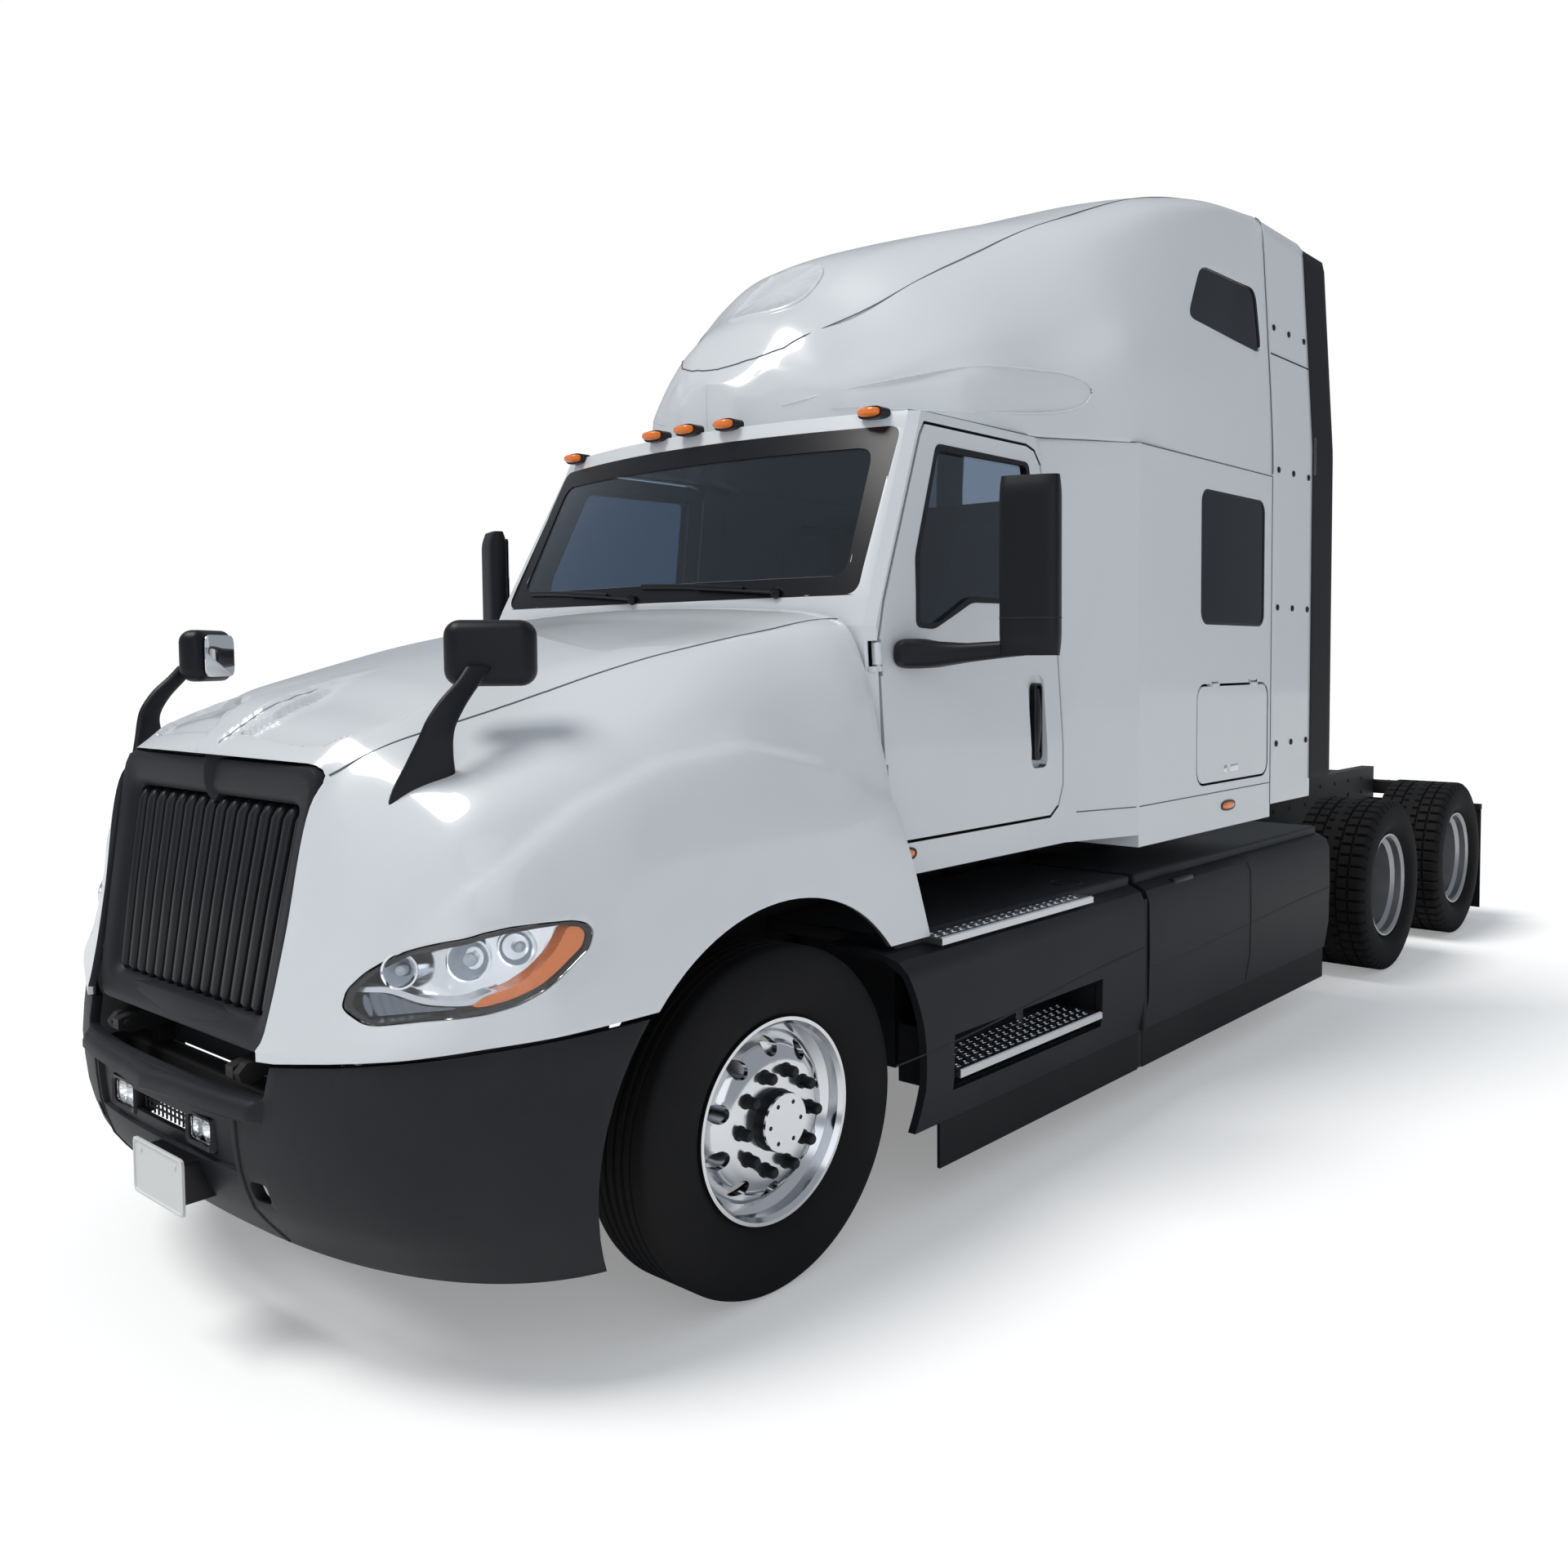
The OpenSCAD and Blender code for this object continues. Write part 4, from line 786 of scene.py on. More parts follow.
@dataclass(frozen=True)
class Finish:
    """One finish: its colour, gloss, relief and how much road film lies on it."""

    name: str
    slot: str
    colour: tuple
    rough: float = 0.5
    metal: float = 0.0
    coat: float = 0.0
    clear: float = 0.0
    film: float = 0.1
    film_colour: tuple = (0.32, 0.3, 0.27)
    relief: Relief = Relief.GRAIN
    scale: float = 300.0
    depth: float = 0.05
    glow: float = 0.0
    sheen: float = 0.0
    heart: tuple | None = None
    specular: float = 0.5

    def material(self) -> bpy.types.Material:
        """The finish as a material, made once.

        Returns:
            The material.
        """
        if self.name in bpy.data.materials:
            return bpy.data.materials[self.name]
        made = bpy.data.materials.new(self.name)
        made.use_nodes = True
        made.diffuse_color = (*self.colour, 1)
        tree = made.node_tree
        shader = tree.nodes["Principled BSDF"]
        plain = {"Metallic": self.metal, "Coat Weight": self.coat, "Coat Roughness": 0.05,
                 "Transmission Weight": self.clear, "Sheen Weight": self.sheen, "IOR": 1.48,
                 "Specular IOR Level": self.specular}
        if self.glow:
            plain |= {"Emission Color": (*self.colour, 1), "Emission Strength": self.glow}
        for socket, value in plain.items():
            shader.inputs[socket].default_value = value
        film = node(tree, "Group", {"Base": (*self.colour, 1), "Dust": (*self.film_colour, 1),
                                    "Amount": self.film, "Rough": self.rough}, node_tree=weathering_group())
        wire(tree, (film, "Colour", shader, "Base Color"), (film, "Roughness", shader, "Roughness"))
        if self.heart:
            lining = node(tree, "Group", {"Heart": self.heart, "Gloss": self.coat}, node_tree=lining_group())
            wire(tree, (film, "Colour", lining, "Outside"), (lining, "Colour", shader, "Base Color"),
                 (lining, "Coat", shader, "Coat Weight"))
        if self.depth:
            relief = node(tree, "Group", {"Scale": self.scale}, node_tree=relief_group(self.relief))
            bump = node(tree, "Bump", {"Strength": self.depth, "Distance": 0.002})
            wire(tree, (relief, "Height", bump, "Height"), (bump, "Normal", shader, "Normal"))
        return made


PAINT = Finish("white_enamel", "white_paint", (0.74, 0.765, 0.79), 0.28, coat=0.7, film=0.07,
               relief=Relief.SMEARS, scale=14, depth=0.03)
CAB_PAINT = replace(PAINT, name="white_enamel_cab", heart=(1.2, 0, 2.0))
BUNK_PAINT = replace(PAINT, name="white_enamel_sleeper", heart=(0.25, 0, 1.95))
ROOF_PAINT = replace(PAINT, name="white_enamel_roof", heart=(0.5, 0, 2.5))
HOOD_PAINT = replace(PAINT, name="white_enamel_hood", heart=(3.0, 0, 0.9))
CHARCOAL = Finish("charcoal_moulding", "charcoal_plastic", (0.0085, 0.0095, 0.0135), 0.5, film=0.03,
                  specular=0.28, scale=900, depth=0.12)
LOUVRE = Finish("louvre_moulding", "charcoal_plastic", (0.008, 0.0085, 0.011), 0.34, film=0.015,
                specular=0.4, scale=900, depth=0.1)
GLOSS_BLACK = Finish("black_moulding", "black_plastic", (0.005, 0.005, 0.0075), 0.3, film=0.012,
                     specular=0.35, scale=700, depth=0.06)
SATIN_BLACK = Finish("mirror_moulding", "black_plastic", (0.0055, 0.006, 0.009), 0.42, film=0.012,
                     specular=0.28, scale=1100, depth=0.1)
GAP = Finish("panel_gap", "white_paint", (0.13, 0.14, 0.16), 0.6, film=0.05)
# Painted shade: a grey for lines that stand for the shade along creases and edges of the white paint.
PAINTED_CREASE_SHADE = Finish("painted_crease_shade", "white_paint", (0.36, 0.385, 0.43), 0.5, film=0.05)
SEAM = Finish("seam_shadow", "black_rubber", (0.012, 0.012, 0.014), 0.8, film=0.05)
CHASSIS = Finish("chassis_enamel", "chassis_paint", (0.009, 0.009, 0.011), 0.5, film=0.1, specular=0.3,
                 scale=160, depth=0.1)
ENGINE = Finish("engine_enamel", "engine_paint", (0.1, 0.105, 0.11), 0.5, film=0.2, scale=120, depth=0.12)
TANK = Finish("brushed_tank", "aluminium", (0.62, 0.63, 0.65), 0.3, metal=1, film=0.12,
              relief=Relief.BRUSHED, scale=400, depth=0.08)
TREAD_PLATE = Finish("tread_plate", "aluminium", (0.7, 0.71, 0.73), 0.28, metal=1, film=0.1,
                     relief=Relief.BRUSHED, scale=500, depth=0.08)
DECK = Finish("diamond_deck", "aluminium", (0.2, 0.2, 0.21), 0.5, metal=1, film=0.3,
              relief=Relief.DIAMOND, scale=34, depth=0.35)
POLISHED = Finish("polished_wheel", "polished_aluminium", (0.78, 0.79, 0.81), 0.14, metal=1, film=0.05,
                  relief=Relief.SMEARS, scale=30, depth=0.03)
DULL_WHEEL = Finish("machined_wheel", "wheel_aluminium", (0.5, 0.51, 0.53), 0.34, metal=1, film=0.25,
                    scale=200, depth=0.05)
STEEL = Finish("greased_steel", "cast_steel", (0.075, 0.07, 0.066), 0.4, metal=0.7, film=0.3, scale=60,
               depth=0.25)
TYRE = Finish("tyre_compound", "tyre_rubber", (0.0045, 0.0045, 0.0055), 0.75, film=0.018, specular=0.22,
              scale=260, depth=0.16)
RUBBER = Finish("black_rubber_sheet", "black_rubber", (0.006, 0.0065, 0.009), 0.6, film=0.025,
                specular=0.25, scale=220, depth=0.12)
SCREEN = Finish("screen_glass", "tinted_glass", (0.2, 0.27, 0.36), 0.02, clear=1, film=0.0, depth=0.0)
TINT = Finish("door_glass", "tinted_glass", (0.13, 0.18, 0.25), 0.02, clear=1, film=0.0, depth=0.0)
PRIVACY = Finish("sleeper_glass", "tinted_glass", (0.0025, 0.0035, 0.008), 0.06, film=0.0, depth=0.0,
                 specular=0.3)
LENS = Finish("clear_lens", "lamp_lens", (0.93, 0.95, 0.97), 0.03, clear=1, film=0.0, depth=0.0)
LAMP_EYE = Finish("lamp_eye", "lamp_lens", (0.55, 0.62, 0.7), 0.04, coat=1, film=0.0, depth=0.0)
LAMP_RIB = Finish("lamp_ribs", "lamp_lens", (0.16, 0.18, 0.21), 0.2, metal=1, film=0.0,
                  relief=Relief.FLUTES, scale=26, depth=0.8)
LAMP_TRIM = Finish("lamp_trim", "lamp_lens", (0.75, 0.78, 0.82), 0.25, metal=0.6, film=0.0)
MIRROR = Finish("mirror_glass", "lamp_lens", (0.82, 0.84, 0.86), 0.02, metal=1, film=0.02, depth=0.0)
CHROME = Finish("lamp_chrome", "lamp_lens", (0.86, 0.88, 0.91), 0.12, metal=1, film=0.0,
                relief=Relief.FLUTES, scale=9, depth=0.3)
AMBER = Finish("amber_lens", "lamp_lens", (0.85, 0.2, 0.015), 0.15, coat=0.6, film=0.02,
               relief=Relief.FLUTES, scale=60, depth=0.25, glow=0.12)
RED = Finish("red_lens", "red_lens", (0.5, 0.012, 0.01), 0.15, coat=0.6, film=0.05,
             relief=Relief.FLUTES, scale=60, depth=0.25, glow=0.1)
TRIM = Finish("cab_moulding", "cab_plastic", (0.075, 0.077, 0.083), 0.6, film=0.03, scale=700, depth=0.15)
CLOTH = Finish("seat_cloth", "upholstery", (0.085, 0.09, 0.1), 0.9, film=0.02, relief=Relief.WEAVE,
               scale=230, depth=0.5, sheen=0.3)
SHEETING = Finish("bunk_cloth", "upholstery", (0.2, 0.21, 0.235), 0.9, film=0.02, relief=Relief.WEAVE,
                  scale=180, depth=0.4, sheen=0.3)
PLATE = Finish("blank_plate", "aluminium", (0.72, 0.73, 0.72), 0.4, film=0.12, scale=90, depth=0.05)


# ---- Front ------------------------------------------------------------------------------------

@dataclass
class Hood:
    """The tilting hood: its skin, grille, headlamps and two mirrors."""

    wall: float = 20.0
    low: float = 850.0
    arch_radius: float = 650.0
    arch_height: float = 506.0
    lean: float = 9.8
    lean_x: float = 1150.0
    lean_z: float = 845.0
    louvre_count: int = 16
    mirror_turn: float = 50.0
    rows: list = field(default_factory=lambda: [
        (1195, [(0, 935), (300, 930), (430, 916), (480, 905), (508, 890), (530, 870)]),
        (1130, [(0, 1330), (430, 1290), (560, 1150), (620, 1056), (680, 960), (735, 880)]),
        (1060, [(0, 1600), (540, 1550), (620, 1450), (750, 1180), (850, 1000), (930, 900)]),
        (1000, [(0, 1655), (520, 1612), (630, 1530), (865, 1285), (940, 1050), (1010, 910)]),
        (920, [(0, 1712), (500, 1675), (640, 1605), (1000, 1390), (1070, 1200), (1085, 920)]),
        (750, [(0, 1765), (560, 1725), (690, 1665), (1050, 1486), (1150, 1200), (1192, 950)]),
        (490, [(0, 1835), (600, 1795), (755, 1745), (1085, 1572), (1190, 1300), (1218, 960)]),
        (95, [(0, 1915), (650, 1890), (850, 1860), (1110, 1617), (1205, 1300), (1220, 1000)]),
        (-225, [(0, 1975), (700, 1950), (890, 1925), (1115, 1577), (1200, 1300), (1212, 1000)]),
        (-530, [(0, 2030), (750, 2005), (950, 1965), (1115, 1600), (1165, 1361), (1190, 1100)]),
        (-690, [(0, 2030), (750, 2005), (950, 1965), (1115, 1600), (1165, 1361), (1190, 1100)])])
    hem: tuple = ((0, 700), (1300, 700), (1300, 950), (1092, 918), (967, 898), (750, 868), (540, 845),
                  (0, 845))
    lamp: tuple = ((1091, 1000), (1078, 1046), (1052, 1090), (1012, 1136), (962, 1172), (915, 1194),
                   (860, 1204), (790, 1206), (715, 1204), (678, 1194), (662, 1170), (678, 1132), (740, 1086),
                   (795, 1049), (850, 1021), (905, 1004), (966, 994), (1020, 980), (1072, 966))

    def build(self) -> None:
        """Builds and places every piece of the hood."""
        self.skin_grid = self.relief(self.form((50, 12, 14, 18, 8, 5), (7, 10, 14, 14, 20, 14, 12, 9, 9, 5)))
        self.skin()
        self.seams()
        self.grille()
        for name, side in SIDES.items():
            self.headlamp(name, side)
            self.mirror(name, side)
        dress(("hood_hinges",), CHASSIS)

    def form(self, across: tuple, lengthwise: tuple) -> Array:
        """P(u, v) of the hood's outside, with a foot added below each side."""
        rows = [(x, points + [(points[-1][0], self.low)]) for x, points in self.rows]
        return loft(rows, across, lengthwise)

    @staticmethod
    def relief(grid: Array) -> Array:
        """The same skin with its raised spine, the dish on each side of it and the fenders' edge.

        With s the smooth step: z = z + 15 s(spine) - 24 s(dish), and below the fenders' edge
        y = y + sign(y) (15 s(depth / 30) (1 - s((depth - 70) / 330)) - 7 hollow).

        Args:
            grid: The plain skin.

        Returns:
            The skin with its relief.
        """
        x, y, z = grid[..., 0].copy(), grid[..., 1].copy(), grid[..., 2].copy()
        side = np.abs(y)
        top = ease((z - 1480) / 60)
        spine = np.interp(x, [500, 750, 940, 1063], [26, 66, 84, 50])
        raised = ease((spine - side) / 13 + 0.5) * ease((x - 520) / 260)
        outer = np.interp(x, [640, 798, 916, 985, 1003, 1017], [640, 591, 555, 512, 454, 300])
        inner = spine + np.interp(x, [760, 940, 1000], [22, 60, 30])
        dish = ease((side - inner) / 13) * ease((outer - side) / 14) * ease((x - 640) / 190)
        dish = dish * ease((1016 - x) / 15)
        z += top * (15 * raised - 24 * dish)
        edge = np.interp(x, [-690, -423, -221, 103, 384, 640, 929, 1062],
                         [1330, 1452, 1552, 1617, 1587, 1499, 1313, 1075])
        depth = edge - z
        swell = 15 * ease(depth / 30) * (1 - ease((depth - 70) / 330)) * (side > 760)
        swell = swell * ease((1055 - x) / 120) * ease((x + 640) / 160)
        y += np.sign(y) * swell
        crease = np.interp(x, [-690, -341, 147, 596, 839, 985, 1068],
                           [1830, 1783, 1720, 1565, 1442, 1308, 1147])
        hollow = np.exp(-((z - (crease + edge) / 2) / 60) ** 2) * (side > 760) * ease((x + 640) / 160)
        y -= np.sign(y) * 7 * hollow * ease((1040 - x) / 200)
        return np.stack([x, y, z], -1)

    def leaned(self, outline: Array, x0: float, x1: float) -> Surface:
        """A (Y, Z) outline between two depths in the slope of the grille."""
        return self.lay(prism(outline, "X", x0, x1))

    def lay(self, surface: Surface) -> Surface:
        """Carries a surface into the slope of the grille.

        Args:
            surface: The surface, drawn about X = 0.

        Returns:
            The surface turned about the grille's foot.
        """
        a = math.radians(self.lean)
        p = surface.points
        rise = p[:, 2] - self.lean_z
        x = self.lean_x + p[:, 0] * math.cos(a) - rise * math.sin(a)
        z = self.lean_z + p[:, 0] * math.sin(a) + rise * math.cos(a)
        return Surface(np.stack([x, p[:, 1], z], -1), surface.faces)

    def surround_outline(self, grow: float, radius: float) -> Array:
        """Outline of the grille's surround in Y and Z."""
        return rounded([(-532 - grow, 847 - grow), (532 + grow, 847 - grow), (592 + grow, 1585 + grow),
                        (-592 - grow, 1585 + grow)], radius)

    def skin(self) -> None:
        """The painted skin with its openings cut."""
        skin = to_mesh("hood_skin", panel(self.skin_grid, self.wall), 0.3)
        ring = np.linspace(0, 2 * math.pi, 96, endpoint=False)
        arch = np.stack([self.arch_radius * np.cos(ring), self.arch_height
                         + self.arch_radius * np.sin(ring)], -1)
        rake = [(-530, 2200), (-530, 1400), (-690, 940), (-690, 800), (-800, 800), (-800, 2200)]
        hem = [(y, z) for y, z in self.hem] + [(-y, z) for y, z in self.hem[::-1]][1:-1]
        carve(skin, [self.leaned(self.surround_outline(5, 74), -70, 200), prism(arch, "Y", -1300, 1300),
                     prism(hem, "X", -1000, 1400), prism(rake, "Y", -1300, 1300),
                     prism(rounded(grown(self.lamp, 4), 15), "Y", 600, 1400),
                     prism(rounded(grown(self.lamp, 4), 15), "Y", -1400, -600)])
        place("hood_skin", skin, HOOD_PAINT, "hood", ("hood",), 26, 3)

    def on_skin(self, path: list, lift: float = 0.0, count: int = 60) -> Array:
        """A line through points laid on the hood's outside and raised by lift."""
        return laid_on(self.skin_grid, path, count, 5) + [0, 0, lift]

    def seams(self) -> None:
        """Dark lines where the hood's top joins its two fenders."""
        path = [(1030, 600, 1565), (930, 628, 1610), (834, 655, 1645), (635, 720, 1713), (285, 790, 1822),
                (27, 850, 1884), (-372, 905, 1962), (-528, 935, 1972)]
        line = self.on_skin(path)
        both = [tube(line * [1, side, 1], 3, 8) for side in (1, -1)]
        place("hood_seams", joined(both), GAP, "hood")
        self.dish_shade_lines()
        self.shade_strips()

    def dish_shade_lines(self) -> None:
        """Painted shade: light grey lines round the dishes of the hood and along its spine's flank, standing
        for the shade on their edges.
        """
        dish = [(1008, 150, 1612), (1012, 300, 1600), (1000, 454, 1600), (985, 512, 1602), (916, 560, 1632),
                (798, 596, 1680), (690, 612, 1722)]
        flank = [(1052, 54, 1620), (1000, 72, 1665), (940, 84, 1704), (850, 76, 1738), (750, 66, 1765)]
        radius = np.interp(np.linspace(0, 1, 80), [0, 0.8, 1], [2.6, 2.6, 0.6])
        soft = []
        for path, lift in ((dish, -1.0), (flank, -1.5)):
            edge = self.on_skin(path, lift, 80)
            soft += [tube(edge * [1, side, 1], radius, 8) for side in (1, -1)]
        place("hood_dish_lines", joined(soft), PAINTED_CREASE_SHADE, "hood", angle=60)

    def shade_strips(self) -> None:
        """Painted shade: dark strips inside the hood's lower edge and a dark plate behind the foot of the
        grille, put where these gaps lie in shade.
        """
        x = np.linspace(610, 975, 24)
        z = np.linspace(-34, 46, 4)
        grid = []
        for station in x:
            y = self.reach_at(station, 930) - 40
            hem = np.interp(y + 36, [750, 967, 1092, 1250], [868, 898, 918, 942])
            grid.append([(station, y, hem + rise) for rise in z])
        strip = panel(np.array(grid), 4)
        plate = rounded_box((1082, -560, 806), (1088, 560, 884), 2)
        place("hood_seals", joined([strip.pair(), plate]), SEAM, "hood", angle=50)

    @staticmethod
    def opening_outline(grow: float) -> Array:
        """Outline of the opening in the grille's surround in Y and Z."""
        return rounded([(-450 - grow, 935 - grow), (450 + grow, 935 - grow), (500 + grow, 1480 + grow),
                        (-500 - grow, 1480 + grow)], 44)

    def grille(self) -> None:
        """The moulded surround, its louvres, a dark sheet of painted shade behind them, the bare boss and the
        chin.
        """
        count = 120
        start = spaced(self.surround_outline(0, 70), count)
        loops = []
        for outline, depth in ((self.surround_outline(0, 70), -58), (self.surround_outline(0, 70), 8),
                               (self.surround_outline(-5, 68), 19), (self.surround_outline(-16, 64), 24),
                               (self.surround_outline(-32, 60), 22), (self.opening_outline(26), 19),
                               (self.opening_outline(12), 10), (self.opening_outline(2), -4),
                               (self.opening_outline(0), -58)):
            line = spaced(outline, count)
            line = np.roll(line, -np.argmin(((line - start[0]) ** 2).sum(1)), 0)
            loops.append(np.insert(line, 0, depth, axis=1))
        ring = grid_surface(np.stack(loops), wrap_u=True, wrap_v=True)
        place("grille_surround", self.lay(ring), CHARCOAL, "hood", ("grille",), 34)
        self.louvres()
        # Painted shade: a near-black sheet behind the louvres, standing for the shade between them.
        screen = self.leaned(rounded([(-462, 925), (462, 925), (510, 1490), (-510, 1490)], 44), -60, -52)
        place("grille_screen", screen, SEAM, "hood")
        prow = [self.course(z, d - (d + 8) * np.abs(np.linspace(-1, 1, 25)) ** 1.25 + 8, w, -30)
                for z, w, d in ((1462, 5, -6), (1480, 22, 12), (1510, 40, 26), (1550, 52, 33), (1582, 60, 34),
                                (1598, 62, 26), (1606, 58, 8))]
        place("grille_prow", self.lay(grid_surface(np.stack(prow), wrap_v=True, caps=True)), CHARCOAL,
              "hood", angle=30)
        across = np.abs(np.linspace(-1, 1, 41))
        chin = [self.course(z, d - 14 * across ** 1.5, 430, -20, 16 * (1 - across) * (0.4 if z > 880 else 0))
                for z, d in ((850, 4), (862, 22), (900, 27), (918, 22), (928, 4))]
        place("grille_chin", self.lay(grid_surface(np.stack(chin), wrap_v=True, caps=True)), CHARCOAL,
              "hood", angle=40)

    @staticmethod
    def course(z: float, crown: Array, half: float, back: float, rise: Array | float = 0.0) -> Array:
        """One closed level of a moulding: a crowned front and a flat back.

        Args:
            z: Its height.
            crown: Depth of each point of its front.
            half: Half its width.
            back: Depth of its back.
            rise: How far each point of its front is raised.

        Returns:
            The points of its front, then those of its back.
        """
        y = np.linspace(-1, 1, len(crown)) * half
        level = np.full(len(crown), float(z))
        return np.concatenate([np.stack([crown, y, level + rise], -1),
                               np.stack([np.full(len(crown), float(back)), y[::-1], level], -1)])

    def louvres(self) -> None:
        """Upright rounded bars x = m + e s(cos t), y = c + w s(sin t), with s(v) = sign(v) |v|^0.7."""
        levels = ((928, 13, -18), (940, 15, -8), (952, 17, 2), (1200, 18.5, 4), (1440, 18.5, 3),
                  (1466, 17, -6), (1478, 13, -20), (1484, 6, -40))
        t = np.linspace(0, 2 * math.pi, 16, endpoint=False)
        c = np.sign(np.cos(t)) * np.abs(np.cos(t)) ** 0.7
        w = np.sign(np.sin(t)) * np.abs(np.sin(t)) ** 0.7
        bars = []
        for y in np.linspace(-442, 442, self.louvre_count):
            slant = y / 442 * 46
            rings = [np.stack([(depth - 52) / 2 + (depth + 52) / 2 * c,
                               y + slant * (height - 935) / 545 + half * w, np.full(16, float(height))], -1)
                     for height, half, depth in levels]
            bars.append(grid_surface(np.stack(rings), wrap_v=True, caps=True))
        place("grille_louvres", self.lay(joined(bars)), LOUVRE, "hood", angle=40)

    def slab_of(self, cover: float, behind: float) -> Surface:
        """The solid between two depths under the hood's skin."""
        return panel(self.skin_grid[:-20], behind - cover, -cover)

    def headlamp(self, name: str, side: int) -> None:
        """A clear almond-shaped cover over chrome bowls, an amber wedge, a ribbed foot and a black bezel.

        Args:
            name: left or right.
            side: 1 for +Y and -1 for -Y.
        """
        def layer(label: str, cover: float, behind: float, outline: list, finish: Finish,
                  replaced: tuple = (), hole: list | None = None) -> None:
            """Places one layer of the lamp.

            Args:
                label: Its name.
                cover: Depth of its front under the skin.
                behind: Depth of its back.
                outline: Its outline in X and Z.
                finish: What it is finished in.
                replaced: The frame's nodes that it stands for.
                hole: Outline of the hole in it, if it has one.
            """
            piece = to_mesh(label, self.slab_of(cover, behind), 0.3)
            carve(piece, [prism(rounded(outline, 12), "Y", 600, 1450).on(side)], keep_inside=True)
            if hole is not None:
                carve(piece, [prism(rounded(hole, 12), "Y", 590, 1460).on(side)])
            place(f"headlamp_{label}_{name}", piece, finish, "hood", replaced, 30)

        inner, whole = grown(self.lamp, -13), grown(self.lamp, -1)
        layer("cover", 0, 4, whole, LENS, ("headlamps",) if side > 0 else ())
        layer("rim", 4.5, 62, whole, GLOSS_BLACK, hole=inner)
        layer("back", 50, 62, inner, CHROME)
        wedge = [(690, 1186), (676, 1170), (688, 1138), (748, 1094), (800, 1058), (856, 1032), (905, 1018),
                 (930, 1018), (905, 1042), (852, 1062), (800, 1098), (752, 1142), (718, 1190)]
        layer("amber", 12, 48, wedge, AMBER)
        layer("foot", 24, 49, [(1074, 976), (1080, 1004), (1066, 1034), (1030, 1040), (985, 1012),
                               (940, 1014), (966, 1004), (1020, 990)], LAMP_RIB)
        layer("strip", 16, 49, [(1070, 1036), (1062, 1048), (1022, 1056), (980, 1030), (930, 1034),
                                (884, 1058), (880, 1048), (930, 1021), (986, 1018), (1026, 1042)], LAMP_TRIM)
        bowls, bulbs = [], []
        ahead = Vector((0.74, 0.66, 0.1)).normalized()
        turn = np.array(Vector((0, 1, 0)).rotation_difference(ahead).to_matrix())
        for x, z, r in ((1004, 1094, 40), (920, 1128, 48), (826, 1150, 42)):
            y = self.reach_at(x, z) - 40
            profile = [[0, -28], [r * 0.5, -24], [r * 0.8, -10], [r, 10], [r + 5, 12], [r + 5, 6],
                       [r * 0.84, -16], [r * 0.5, -31], [0, -36]]
            bowl = lathe(profile, (0, 0, 0), 40)
            bowls.append(Surface(bowl.points @ turn.T + [x, y, z], bowl.faces))
            bulb = lathe([[0, -24], [r * 0.34, -22], [r * 0.36, -6], [r * 0.3, 3], [r * 0.15, 7], [0, 8]],
                         (0, 0, 0), 24)
            bulbs.append(Surface(bulb.points @ turn.T + [x, y, z], bulb.faces))
        place(f"headlamp_bowls_{name}", joined(bowls).on(side), CHROME, "hood", angle=40)
        place(f"headlamp_bulbs_{name}", joined(bulbs).on(side), LAMP_EYE, "hood", angle=40)

    def reach_at(self, x: float, z: float) -> float:
        """How far out the skin is on +Y.

        Args:
            x: The station.
            z: The height.

        Returns:
            The mean distance of the four nearest points from the centreline.
        """
        flat = self.skin_grid[self.skin_grid[..., 1] > 500]
        near = np.argsort((flat[:, 0] - x) ** 2 + (flat[:, 2] - z) ** 2)[:4]
        return float(flat[near, 1].mean())

    def mirror(self, name: str, side: int) -> None:
        """A mirror's rounded head on a curved arm from its foot on the fender.

        Args:
            name: left or right.
            side: 1 for +Y and -1 for -Y.
        """
        turn = self.mirror_turn
        head = rounded_box((-52, -116, -86), (52, 116, 86), 42, 6)
        head.points[:, 0] *= np.where(head.points[:, 0] > 0, 1.0, 0.75)
        head = head.turned(turn).moved((695, 820, 1861))
        stations = np.array([
            (897, 796, 1470, -70, 45, 36), (893, 812, 1530, -66, 40, 22), (884, 834, 1600, -48, 27, 5),
            (872, 852, 1668, -34, 16, -7), (838, 854, 1728, -30, 14, -6), (784, 850, 1786, -28, 12, -2),
            (752, 846, 1822, -30, 13, 0)], float)
        at = np.arange(len(stations), dtype=float)
        fine = through(at, stations, stops(at, 5))
        along = np.gradient(fine[:, :3], axis=0)
        q = np.cross(fine[:, 3:], along)
        q *= 15 / np.linalg.norm(q, axis=1, keepdims=True)
        arm = limb([(f[:3], f[3:], n) for f, n in zip(fine, q)], 20, 0.6)
        replaced = ("hood_mirrors",) if side > 0 else ()
        place(f"hood_mirror_{name}", joined([head, arm]).on(side), SATIN_BLACK, "hood", replaced, 40)
        glass = prism(oblong(98, 70, 34), "X", -42, -39.6).turned(turn).moved((695, 820, 1861))
        place(f"hood_mirror_glass_{name}", glass.on(side), MIRROR, "hood")


